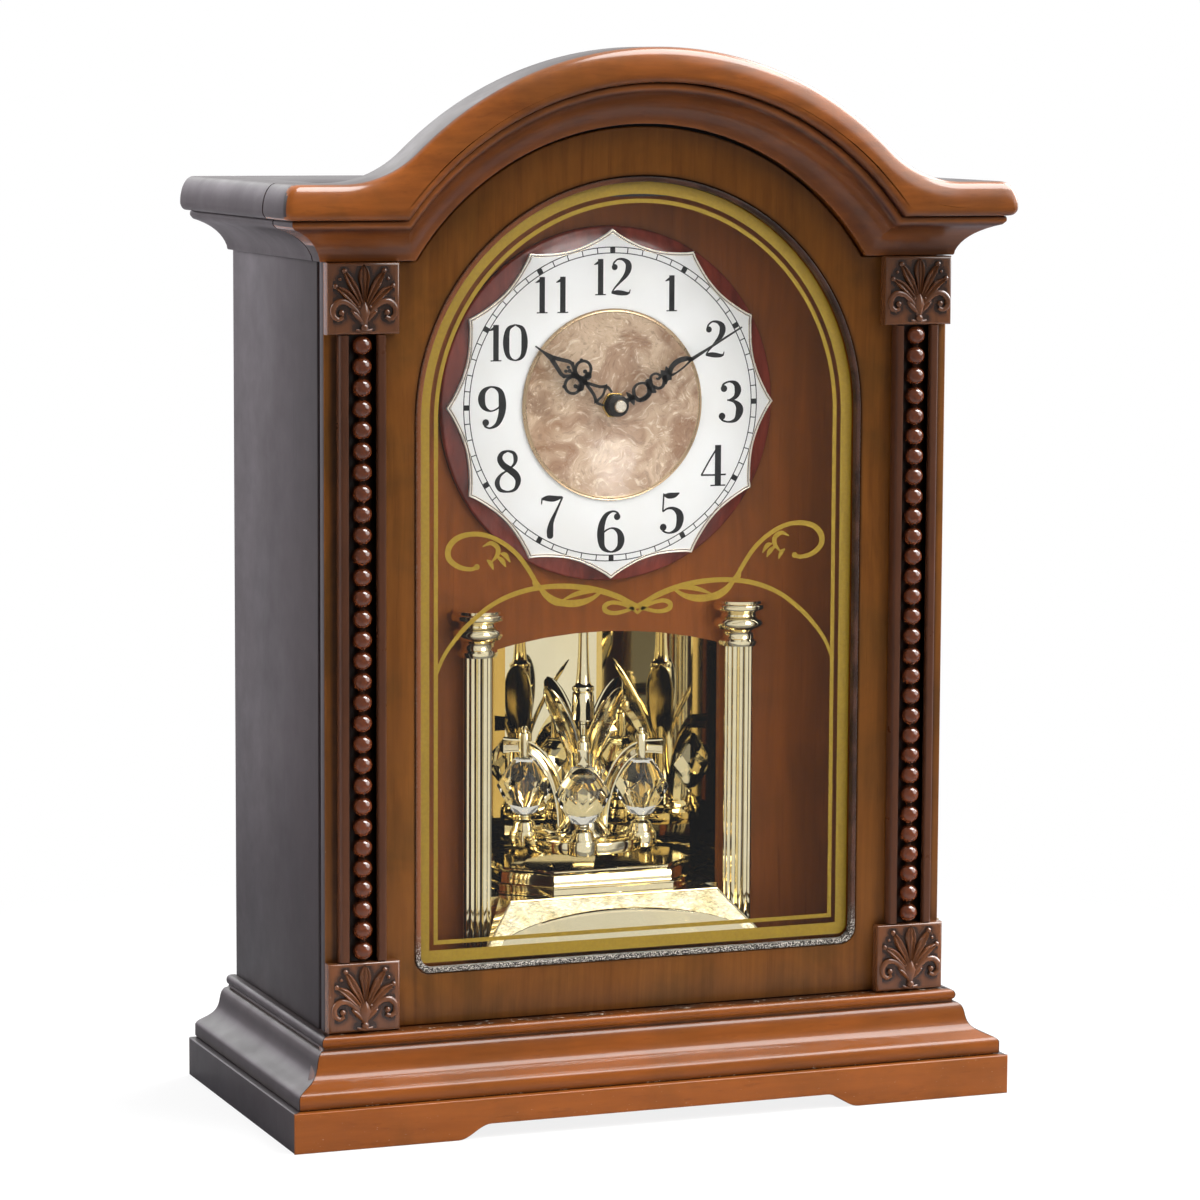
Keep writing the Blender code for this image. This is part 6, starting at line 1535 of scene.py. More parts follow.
class CLOCK_OT_dial(bpy.types.Operator):
    """Build the star-edged dial with its track and numerals, the ring behind it and the pearl centre"""

    bl_idname = "clock.dial"
    bl_label = "Dial"

    def execute(self, context):
        self.ring()
        self.plate(context.scene.clock_sizes)
        self.centre()
        return {"FINISHED"}

    def ring(self):
        """The backing disc, dished behind the plate, with a rounded rim."""
        rear = high("dial_backing_ring").y
        bore, dish, rim, hollow = 0.04, 0.012, 0.0012, 0.0022
        profile = [(bore, rear), (bore, RING_FRONT), (RING_RADIUS - dish, RING_FRONT)]
        for k in range(1, 11):
            share = k / 10
            profile.append((RING_RADIUS - dish + (dish - rim) * share, RING_FRONT + hollow * share ** 1.6))
        for k in range(1, 5):
            a = pi / 2 * k / 4
            profile.append((RING_RADIUS - rim + rim * sin(a), RING_FRONT + hollow + rim * (1 - cos(a))))
        profile.append((RING_RADIUS, rear))
        shape = Shape()
        shape.grid(round_the_dial(profile, 192), closed=True)
        piece("dial_backing_disc", shape, ["rosewood"], ["dial_backing_ring"])

    def plate(self, sizes):
        """The enamelled plate with its rims, minute track and numerals."""
        star = star_outline(DIAL_RADIUS)
        front = DIAL_FRONT + 0.0003
        loops = [star, circle(0.0045, 32, 0, DIAL_Z)]
        shape = Shape()
        shape.plate(loops, along_y, front, high("dial_plate").y, round_start=0.00015, steps=2)
        rims = ((0.00008, 0.0005, 0.0003, 2), (0.00075, 0.00034, 0.00006, 3), (0.0012, 0.00022, 0.0002, 2))
        for inset, width, rise, finish in rims:
            loops = [offset(star[::-1], inset), offset(star[::-1], inset + width)]
            soften = min(rise, width) * 0.4
            shape.plate(loops, along_y, front - rise, front + SLACK / 3, finish, round_start=soften, steps=2)
        start, end = front - 0.00004, front + 0.00002
        self.track(shape, start, end)
        for hour in range(1, 13):
            a = 2 * pi * hour / 12
            word = str(hour)
            tall = sizes.numeral_height * (1.2 if 3 <= hour <= 9 else 1.04)
            x, z = sizes.numeral_orbit * sin(a), DIAL_Z + sizes.numeral_orbit * cos(a)
            for digit, shift in zip(word, SPREADS.get(word, (0.0,))):
                self.glyph(shape, digit, x + shift * tall, z - tall / 2, tall, start, end)
        piece("dial_face", shape, ["dial_white", "dial_ink", "dial_rim", "dial_line"], ["dial_plate"])

    def track(self, shape, start, end):
        inner, outer, line = 0.0624, 0.0648, 0.0004
        for radius in (outer, inner):
            loops = [circle(radius, 144, 0, DIAL_Z), circle(radius - line, 144, 0, DIAL_Z)]
            shape.plate(loops, along_y, start, end, finish=1)
        for minute in range(60):
            a = 2 * pi * minute / 60
            half = 0.00021 if minute % 5 else 0.0011
            mark = box_outline(-half, half, inner, outer - 0.0001)
            mark = [(u * cos(a) + v * sin(a), DIAL_Z + v * cos(a) - u * sin(a)) for u, v in mark]
            shape.plate([mark], along_y, start, end, finish=1)

    def glyph(self, shape, digit, x, z, tall, start, end):
        """A numeral with its foot's middle at x, z. A nine is a six turned half round."""
        flip = digit == "9"
        word = "6" if flip else digit

        def put(points):
            if flip:
                points = [(-u, 1 - v, w) for u, v, w in points]
            return [(x + u * tall * 1.3, z + v * tall, w * tall * 1.38) for u, v, w in points]

        for number, stroke in enumerate(GLYPHS[word]):
            points = put(stroke)
            if len(points) > 2:
                points = spline(points, 6)
            shape.ribbon(points, along_y, start - 0.000004 * number, end, finish=1)
        for u, v, radius in put(DOTS.get(word, ())):
            shape.plate([circle(radius, 20, u, v)], along_y, start - 0.00002, end, finish=1)

    def centre(self):
        """The pearl disc and its stepped rim: (inset from the edge, depth behind the rim's crest)."""
        rear = high("dial_centre_disc").y
        rim, bore, edge = DISC_RADIUS, 0.0045, 0.0016
        level = DISC_FRONT + 0.0003
        steps = (
            (edge, 0.0003), (0.0014, 0.00005), (0.0011, 0.0), (0.0008, 0.0002), (0.0006, 0.00025), (0.0004, 0.0001),
            (0.0001, 0.0001), (0.0, 0.0003),
        )
        face = [(bore, rear), (bore, level), (rim - edge, level)]
        moulding = [(rim - inset, DISC_FRONT + depth) for inset, depth in steps] + [(rim, rear)]
        shape = Shape()
        shape.grid(round_the_dial(face, 144))
        shape.grid(round_the_dial(moulding, 144), finish=1)
        back = zip(*round_the_dial([(rim, rear), (bore, rear)], 144, last=1))
        shape.grid(list(back), closed=True, smooth=False)
        piece("pearl_centre", shape, ["pearl", "bronze_rim"], ["dial_centre_disc"], crease=60)


# Hands
# Parts in shares of a hand's length, (across, along) from its axis to its tip. A band is (across, along, width)
# points, a blot is its corners' radius and its outline, a loop is its middle, radius and width, and a dot is its
# middle and radius.
HOUR_PAIRS = (
    ("band", (0.075, 0.115, 0.014), (0.088, 0.185, 0.02), (0.045, 0.255, 0.02), (0.006, 0.375, 0.022)),
    ("blot", 0.0, (0.06, 0.17), (0.112, 0.2), (0.078, 0.225)),
    ("loop", 0.09, 0.48, 0.078, 0.019),
    (
        "blot", 0.012, (0.02, 0.385), (0.07, 0.365), (0.112, 0.395), (0.098, 0.425), (0.086, 0.455),
        (0.066, 0.435), (0.04, 0.44),
    ),
    ("dot", 0.083, 0.452, 0.02),
    ("dot", 0.15, 0.545, 0.017),
    (
        "band", (0.02, 0.535, 0.022), (0.062, 0.59, 0.022), (0.07, 0.635, 0.024), (0.04, 0.715, 0.026),
        (0.008, 0.8, 0.03),
    ),
    ("dot", 0.078, 0.6, 0.014),
)
HOUR_MIDDLE = (
    ("band", (0.088, 0.2, 0.016), (0.0, 0.175, 0.014), (-0.088, 0.2, 0.016)),
    (
        "blot", 0.0, (-0.016, 0.36), (0.016, 0.36), (0.022, 0.4), (0.014, 0.545), (-0.014, 0.545),
        (-0.022, 0.4),
    ),
    ("dot", 0.0, 0.405, 0.03),
    ("blot", 0.0, (-0.03, 0.53), (0.0, 0.575), (0.03, 0.53), (0.0, 0.51)),
    ("dot", 0.0, 0.585, 0.02),
    ("dot", 0.022, 0.615, 0.016),
    ("dot", -0.022, 0.615, 0.016),
    (
        "blot", 0.0, (-0.02, 0.77), (0.02, 0.77), (0.026, 0.82), (0.012, 0.9), (0.006, 1.0), (-0.006, 1.0),
        (-0.012, 0.9), (-0.026, 0.82),
    ),
)
MINUTE_PARTS = (
    ("blot", 0.0, (-0.014, 0.06), (0.014, 0.06), (0.016, 0.125), (-0.016, 0.125)),
    (
        "blot", 0.008, (-0.055, 0.088), (-0.02, 0.082), (0.02, 0.082), (0.055, 0.092), (0.03, 0.112),
        (0.0, 0.118), (-0.03, 0.108),
    ),
    (
        "band", (0.0, 0.122, 0.022), (-0.044, 0.145, 0.014), (-0.056, 0.185, 0.012), (-0.036, 0.228, 0.016),
        (0.0, 0.244, 0.024),
    ),
    (
        "band", (0.0, 0.122, 0.022), (0.04, 0.14, 0.022), (0.05, 0.18, 0.026), (0.038, 0.222, 0.026),
        (0.0, 0.244, 0.024),
    ),
    ("dot", 0.0445, 0.15, 0.013),
    ("dot", 0.052, 0.18, 0.013),
    ("dot", 0.045, 0.208, 0.013),
    (
        "blot", 0.008, (-0.046, 0.236), (0.0, 0.228), (0.05, 0.24), (0.062, 0.27), (0.02, 0.275),
        (-0.03, 0.278), (-0.052, 0.262),
    ),
    (
        "band", (-0.02, 0.268, 0.02), (-0.052, 0.29, 0.013), (-0.05, 0.325, 0.012), (-0.022, 0.345, 0.014),
        (-0.01, 0.325, 0.012), (-0.022, 0.312, 0.01),
    ),
    (
        "band", (0.016, 0.268, 0.02), (0.044, 0.296, 0.016), (0.046, 0.33, 0.016), (0.012, 0.364, 0.022),
        (-0.012, 0.372, 0.022),
    ),
    (
        "blot", 0.006, (-0.02, 0.35), (0.024, 0.345), (0.052, 0.352), (0.034, 0.378), (0.044, 0.402),
        (0.006, 0.42), (-0.016, 0.424), (-0.056, 0.412), (-0.034, 0.392), (-0.052, 0.368),
    ),
    (
        "band", (0.0, 0.405, 0.03), (-0.03, 0.445, 0.026), (-0.04, 0.5, 0.028), (-0.026, 0.555, 0.026),
        (-0.004, 0.59, 0.018),
    ),
    (
        "band", (0.012, 0.405, 0.02), (0.02, 0.44, 0.01), (0.018, 0.5, 0.008), (0.01, 0.55, 0.008),
        (0.0, 0.59, 0.012),
    ),
    (
        "blot", 0.0, (-0.022, 0.56), (0.01, 0.565), (0.012, 0.6), (0.0075, 0.72), (0.0045, 1.0),
        (-0.0045, 1.0), (-0.0075, 0.72), (-0.012, 0.6),
    ),
)


class CLOCK_OT_hands(bpy.types.Operator):
    """Build the two pierced hands and finish the nuts"""

    bl_idname = "clock.hands"
    bl_label = "Hands"

    def execute(self, context):
        self.hand("hour_hand", HOUR_ANGLE, 0.0435, 1.45, 0.0029, 0.0046, HOUR_PAIRS, HOUR_MIDDLE)
        self.hand("minute_hand", MINUTE_ANGLE, 0.0628, 1.25, 0.0016, 0.0044, (), MINUTE_PARTS)
        a, b = SPAN["hand_nut"]
        profile = [
            (0.0017, b.y), (0.0026, b.y), (0.0026, a.y + 0.0005), (0.0023, a.y + 0.0001), (0.0019, a.y + 0.00008),
            (0.0018, a.y + 0.0003), (0.0, a.y + 0.00022),
        ]
        shape = Shape()
        shape.turned(profile, Vector((0, 0, DIAL_Z)), along_y, 40)
        piece("centre_cap", shape, ["dial_rim"], ["hand_nut"])
        shape = Shape()
        shape.copy_of("mounting_nut", 0.0002)
        piece("movement_fixing_nut", shape, ["brass"], ["mounting_nut"])
        return {"FINISHED"}

    def hand(self, name, angle, length, weight, bore, hub, pairs, others):
        """A hand turned to its angle; weight widens its bands, and pairs are drawn on both its sides."""
        front, rear = low(name).y, high(name).y
        shape = Shape()

        def place(u, v, w):
            return Vector((u * cos(angle) + v * sin(angle), w, DIAL_Z + v * cos(angle) - u * sin(angle)))

        def disc(side, u, v, radius, sides):
            return circle(radius * length, sides, side * u * length, v * length)

        shape.plate([circle(hub, 48), circle(bore, 32)], place, front, rear, round_start=0.0002, steps=2)
        for side, parts in ((-1, pairs), (1, pairs), (1, others)):
            for kind, *sizes in parts:
                if kind == "band":
                    points = [(side * u * length, v * length, w * length * weight) for u, v, w in sizes]
                    shape.ribbon(spline(points, 6), place, front, rear)
                    continue
                if kind == "blot":
                    radius, *outline = sizes
                    loop = [(side * u * length, v * length) for u, v in outline]
                    loops = [filleted(loop, radius * length, 3) if radius else loop]
                elif kind == "loop":
                    u, v, radius, width = sizes
                    loops = [disc(side, u, v, radius + turn * width * weight / 2, 28) for turn in (1, -1)]
                else:
                    loops = [disc(side, *sizes, 16)]
                shape.plate(loops, place, front, rear)
        piece(f"pierced_{name}", shape, ["hand_black"], [name])


# Movement
class CLOCK_OT_movement(bpy.types.Operator):
    """Finish the quartz movement, its wheels and its battery"""

    bl_idname = "clock.movement"
    bl_label = "Movement"

    def execute(self, context):
        for name in ("movement_cover", "pendulum_drive_unit"):
            shape = Shape()
            shape.copy_of(name, 0.0004)
            piece(f"{name}_shell", shape, ["movement_plastic"], [name])
        dress("movement_plastic", "movement_case", "setting_knob")
        dress("gear_plastic", "hour_wheel", "intermediate_wheel")
        dress("steel", "minute_arbor")
        a, b = SPAN["battery"]
        radius = (b.z - a.z) / 2
        end, edge = b.x - 0.0012, 0.0006
        profile = [
            (0.004, a.x), (radius - edge, a.x), (radius, a.x + edge), (radius, end - edge), (radius - edge, end),
            (0.0028, end), (0.0026, end + 0.0002), (0.0026, b.x - 0.0003), (0.0022, b.x),
        ]
        shape = Shape()
        shape.turned(profile, Vector((0, middle("battery").y, middle("battery").z)), along_x, 40)
        piece("battery_cell", shape, ["battery_sleeve"], ["battery"])
        return {"FINISHED"}


# Alcove
class CLOCK_OT_alcove(bpy.types.Operator):
    """Build the fluted columns and finish the mirrored alcove with its tray and plinth"""

    bl_idname = "clock.alcove"
    bl_label = "Alcove"

    # The plinth's section: (inset, share of its height)
    PLINTH_STEPS = (
        (0.0, 0.0), (0.0, 0.06), (0.0003, 0.09), (0.0003, 0.3), (0.0, 0.33), (0.0, 0.37), (0.0012, 0.42),
        (0.0014, 0.5), (0.0014, 0.74), (0.0017, 0.79), (0.0017, 0.83), (0.0026, 0.86), (0.0032, 0.92),
        (0.0032, 0.96), (0.0036, 1.0), (0.0048, 1.0),
    )

    def execute(self, context):
        dress("mirror", "chamber_walls")
        self.tray()
        self.plinth()
        for _, word in SIDES:
            self.column(f"{word}_column", f"{word}_fluted_column", context.scene.clock_sizes.flute_count)
        return {"FINISHED"}

    def plinth(self):
        """The stepped block under the pendulum, square with cut corners."""
        a, b = SPAN["pendulum_plinth"]
        centre_y, half_x, half_y = (a.y + b.y) / 2, (b.x - a.x) / 2, (b.y - a.y) / 2
        cut = 0.0178
        outline = [
            (half_x - cut, -half_y), (half_x, -half_y + cut), (half_x, half_y - cut), (half_x - cut, half_y),
            (-half_x + cut, half_y), (-half_x, half_y - cut), (-half_x, -half_y + cut), (-half_x + cut, -half_y),
        ]
        rows = []
        for inset, share in self.PLINTH_STEPS:
            level = a.z + (b.z - a.z) * share
            rows.append([Vector((u, centre_y + v, level)) for u, v in offset(outline, inset)])
        shape = Shape()
        shape.grid(rows, closed=True, ends=True, smooth=False)
        piece("pendulum_base_block", shape, ["gilt"], ["pendulum_plinth"])

    def tray(self):
        """The alcove's floor: its front slopes down, with a smooth arched panel and a bead round the slope."""
        a, b = SPAN["chamber_tray"]
        foot, crest = Vector((0.062, a.y, a.z)), Vector((0.046, a.y + 0.0125, b.z))
        out = Vector((0, foot.z - crest.z, crest.y - foot.y)).normalized()

        def on_ramp(u, share, proud=0.0):
            point = foot.lerp(crest, share)
            return Vector((u * point.x, point.y, point.z)) + out * proud

        start, proud = 0.06, 0.0003
        rows = []
        for k in range(41):
            u = (2 * k / 40 - 1) * 0.9
            top = 0.1 + 0.62 * sqrt(max(0.0, 1 - ((2 * k / 40 - 1) * 0.98) ** 2))
            rows.append([on_ramp(u, start)])
            rows[-1] += [on_ramp(u, start + (top - start) * j / 8, proud) for j in range(9)] + [on_ramp(u, top + 0.02)]
        shape = Shape()
        shape.copy_of("chamber_tray")
        shape.grid(rows, finish=1)
        upright = Vector((0, 0, 1))
        for u in (-1, 1):
            outwards = Vector((1, 0, 0)).cross(crest - foot).normalized()
            shape.tube([on_ramp(u, k / 8) for k in range(9)], 0.00045, outwards, 8)
        for share, radius in ((0.0, 0.0006), (1.0, 0.0005)):
            shape.tube([on_ramp(k / 8 - 1, share) for k in range(17)], radius, upright, 8)
        piece("alcove_tray", shape, ["brushed_gilt", "mirror"], ["chamber_tray"])

    def column(self, node_name, name, flutes):
        """A fluted column with a turned cap, cut flat against the board."""
        a, b = SPAN[node_name]
        radius, wide, cap, depth = 0.0058, 0.0113, 0.019, 0.0008
        limit = BOARD_FRONT - SLACK
        centre = Vector((middle(node_name).x, limit - radius, 0))
        foot = b.z - cap
        rows = [[], []]
        for k in range(flutes * 6):
            turn = 2 * pi * k / (flutes * 6)
            r = radius - depth * sin(pi * (k % 6) / 6) ** 0.7
            for row, z in zip(rows, (a.z, foot + SLACK)):
                row.append(Vector((centre.x + r * cos(turn), min(limit, centre.y + r * sin(turn)), z)))
        shape = Shape()
        shape.grid(rows, closed=True, ends=True)
        shares = [
            (0.62, 0.0), (0.7, 0.0), (0.735, 0.05), (0.735, 0.11), (0.68, 0.155), (0.63, 0.165),
            *spline([(0.62, 0.18), (0.6, 0.26), (0.66, 0.33), (0.76, 0.365)], 4),
            *spline([(0.84, 0.38), (0.93, 0.45), (0.95, 0.52), (0.88, 0.6), (0.76, 0.655)], 5),
            (0.72, 0.66), (0.7, 0.7), (0.74, 0.735),
            *spline([(0.9, 0.77), (0.985, 0.81), (1.0, 0.86), (0.985, 0.91), (0.93, 0.935)], 4),
            (0.9, 0.94), (0.9, 1.0),
        ]
        shape.turned([(wide * r, foot + cap * h) for r, h in shares], centre, along_z, 64, limit=limit)
        piece(name, shape, ["gilt"], [node_name], crease=30)


# Pendulum
def gem(shape, centre, radius, turn):
    """A faceted ball: a six-sided table at each end, kites below it and squares round its girth."""
    table = 0.88
    rings = ((table, 0.4, 0), (0.367, 0.866, 0.5), (0.0, 1.0, 0), (-0.367, 0.866, 0.5), (-table, 0.4, 0))
    bm = bmesh.new()
    for level, reach, phase in rings:
        for k in range(6):
            a = pi / 3 * (k + phase) + turn
            bm.verts.new((reach * radius * cos(a), reach * radius * sin(a), level * radius / table))
    bmesh.ops.convex_hull(bm, input=bm.verts[:])
    bmesh.ops.dissolve_limit(bm, angle_limit=radians(2), verts=bm.verts[:], edges=bm.edges[:])
    shape.take(bm, centre)


class CLOCK_OT_pendulum(bpy.types.Operator):
    """Build the turning pendulum with its arms, leaves, stem and four crystals"""

    bl_idname = "clock.pendulum"
    bl_label = "Pendulum"

    PLATFORM_TOP = PLATFORM_BOTTOM + 0.0052
    HUB_TOP = PLATFORM_TOP + 0.047
    ORBIT = 0.0246

    def execute(self, context):
        self.crown()
        self.stem()
        for name in ("front_crystal", "right_crystal", "rear_crystal", "left_crystal"):
            a, b = SPAN[name]
            shape = Shape()
            gem(shape, middle(name), (b.z - a.z) / 2, PENDULUM_TURN)
            piece(f"{name}_gem", shape, ["crystal"], [name])
        return {"FINISHED"}

    def put(self, name, shape, node_name, crease=38):
        """A piece modelled about the origin, turned with the pendulum and moved to its axis."""
        turn = Matrix.Translation((0, PENDULUM_Y, 0)) @ Matrix.Rotation(PENDULUM_TURN, 4, "Z")
        bmesh.ops.transform(shape.bm, matrix=turn, verts=shape.bm.verts[:])
        piece(name, shape, ["gilt"], [node_name], crease=crease)

    def around(self, radius, angle, z):
        return Vector((radius * sin(angle), -radius * cos(angle), z))

    def crown(self):
        """A platform with a hub, and on each side a lobe, a bell, an arm, a pin and a leaf."""
        bottom, top = PLATFORM_BOTTOM, self.PLATFORM_TOP
        gem_foot, gem_top, tip = low("front_crystal").z - SLACK, high("front_crystal").z + SLACK, 0.15
        hub = [
            (0.0118, top - SLACK), (0.0112, top + 0.0012), (0.009, top + 0.004), (0.007, top + 0.0085),
            (0.006, top + 0.015), (0.0055, top + 0.022), (0.0054, top + 0.032), (0.0056, self.HUB_TOP - 0.003),
            (0.0056, self.HUB_TOP),
        ]
        bell = [
            (0.0062, top), (0.0061, top + 0.0009), (0.0054, top + 0.0019), (0.0047, top + 0.0034),
            (0.0042, gem_foot - 0.0034), (0.003, gem_foot - 0.0024), (0.0027, gem_foot - 0.0019),
            (0.003, gem_foot - 0.0009), (0.0027, gem_foot),
        ]
        pin = [
            (0.0026, gem_top), (0.0027, gem_top + 0.0004), (0.0027, tip - 0.0034), (0.0024, tip - 0.0028),
            (0.0014, tip - 0.0022), (0.0013, tip - 0.0017), (0.0016, tip - 0.0011), (0.0012, tip - 0.0004),
            (0.0004, tip),
        ]
        shape = Shape()
        shape.plate([circle(0.0262, 16)], along_z, bottom, top, round_start=0.0008, round_end=0.0008, steps=2)
        shape.turned(spline(hub, 4), Vector((0, 0, 0)), along_z, 40)
        for k in range(4):
            angle = pi / 2 * k
            spot = self.around(self.ORBIT, angle, 0)
            lobe = [(spot.x + u, spot.y + v) for u, v in circle(0.0064, 32)]
            ends = {"round_start": 0.0006, "round_end": 0.0006, "steps": 2}
            shape.plate([lobe], along_z, bottom + 0.0002, top + 0.0003, **ends)
            shape.turned(spline(bell, 4), spot, along_z, 28)
            self.arm(shape, angle)
            shape.turned(pin, spot, along_z, 28)
            self.leaf(shape, angle + pi / 4)
        self.put("pendulum_carriage", shape, "pendulum_crown", crease=32)

    def arm(self, shape, angle):
        """A quarter arch with a raised rim along both its edges, and a blunt end beyond the pin."""
        foot, top = self.PLATFORM_TOP + 0.003, self.PLATFORM_TOP + 0.0375
        inner, outer, steps = 0.0085, 0.0335, 28
        path = []
        for k in range(steps + 1):
            t = pi / 2 * k / steps
            radius = inner + (outer - 0.0066 - inner) * (1 - cos(t))
            path.append((radius, foot + (top - foot) * sin(t), t, 0.002 + 0.0007 * k / steps))
        path += [(outer - 0.003, top, pi / 2, 0.0028), (outer, top, pi / 2, 0.0031)]
        side = Vector((cos(angle), sin(angle), 0))
        rim, web, waist = 0.0021, 0.0014, 0.0004
        rows = []
        for radius, z, t, half in path:
            inside = half - 0.0006
            slope = inside - 0.0001
            section = (
                (-rim, -half), (rim, -half), (rim, -inside), (web, -slope), (waist, 0.0), (web, slope),
                (rim, inside), (rim, half), (-rim, half), (-rim, inside), (-web, slope), (-waist, 0.0),
                (-web, -slope), (-rim, -inside),
            )
            rows.append([
                self.around(radius - cos(t) * lift, angle, z + sin(t) * lift) + side * across
                for across, lift in section
            ])
        shape.grid(rows, closed=True, ends=True)

    def leaf(self, shape, angle):
        """A pointed leaf with a thin raised rim round its hollow faces."""
        root, tip = self.HUB_TOP - 0.0205, self.HUB_TOP + 0.0175
        start, reach, wide, shoulder, steps = 0.0034, 0.0215, 0.0058, 0.62, 32
        side = Vector((cos(angle), sin(angle), 0))
        out = self.around(1, angle, -0.5).normalized()
        across = (-1.0, -0.97, -0.86, -0.78, -0.4, 0.0, 0.4, 0.78, 0.86, 0.97, 1.0)
        lift = (0.5, 1.0, 1.0, 0.35, 0.05, -0.05, 0.05, 0.35, 1.0, 1.0, 0.5)
        rows = []
        for k in range(steps + 1):
            t = k / steps
            swell = 0.34 + 0.66 * sin(pi / 2 * min(1.0, t / shoulder))
            taper = sqrt(max(0.0, 1 - max(0.0, (t - shoulder) / (1 - shoulder)) ** 2.2))
            half = wide * swell * taper + 0.0002
            bulge = 0.001 * (1 - 0.3 * t) * min(1.0, (1 - t) * 6 + 0.2)
            centre = self.around(start + (reach - start) * t ** 1.45, angle, root + (tip - root) * t)
            front = [centre + side * (half * s) + out * (bulge * h) for s, h in zip(across, lift)]
            back = [centre + side * (half * s) - out * (bulge * h + 0.0001) for s, h in zip(across, lift)]
            rows.append(front + back[::-1])
        shape.grid(rows, closed=True, ends=True)

    def stem(self):
        foot, ring = self.HUB_TOP + SLACK, self.HUB_TOP + 0.0155
        top, end = low("pendulum_drive_unit").z - 0.002, high("pendulum_stem").z
        profile = [
            (0.0055, foot), (0.0055, foot + 0.001), (0.0051, foot + 0.0015), (0.0048, foot + 0.006),
            (0.0045, ring - 0.0026), (0.004, ring - 0.002), (0.0046, ring - 0.0016), (0.0047, ring - 0.0009),
            (0.0045, ring), (0.0036, ring + 0.0006), (0.0031, ring + 0.002), (0.0026, ring + 0.008),
            (0.0022, ring + 0.018), (0.002, top), (0.0012, top), (0.0012, end),
        ]
        shape = Shape()
        shape.turned(profile, Vector((0, 0, 0)), along_z, 40)
        self.put("pendulum_rod", shape, "pendulum_stem")


# Stage
# Bright cards round the clock: (direction, level where it starts, level where it is full, strength seen from
# outside the pane, strength seen through it); a level is the cosine of the angle to the direction
CARDS = (
    ((0.44, -0.16, 0.88), 0.93, 0.955, 13.0, 0.3),
    ((-0.77, 0.37, 0.52), 0.975, 0.992, 5.0, 0.0),
    ((-0.11, 0.93, 0.35), 0.93, 0.985, 2.0, 0.0),
    ((0.75, -0.45, 0.45), 0.87, 0.97, 3.2, 0.0),
    ((0.82, 0.3, 0.45), 0.89, 0.95, 9.0, 0.5),
    ((0.361, -0.86, 0.36), 0.965, 0.985, 0.0, 7.0),
    ((0.36, -0.67, 0.64), 0.98, 0.992, 0.0, 5.0),
)
WHITE = (1.0, 1.0, 1.0, 1.0)


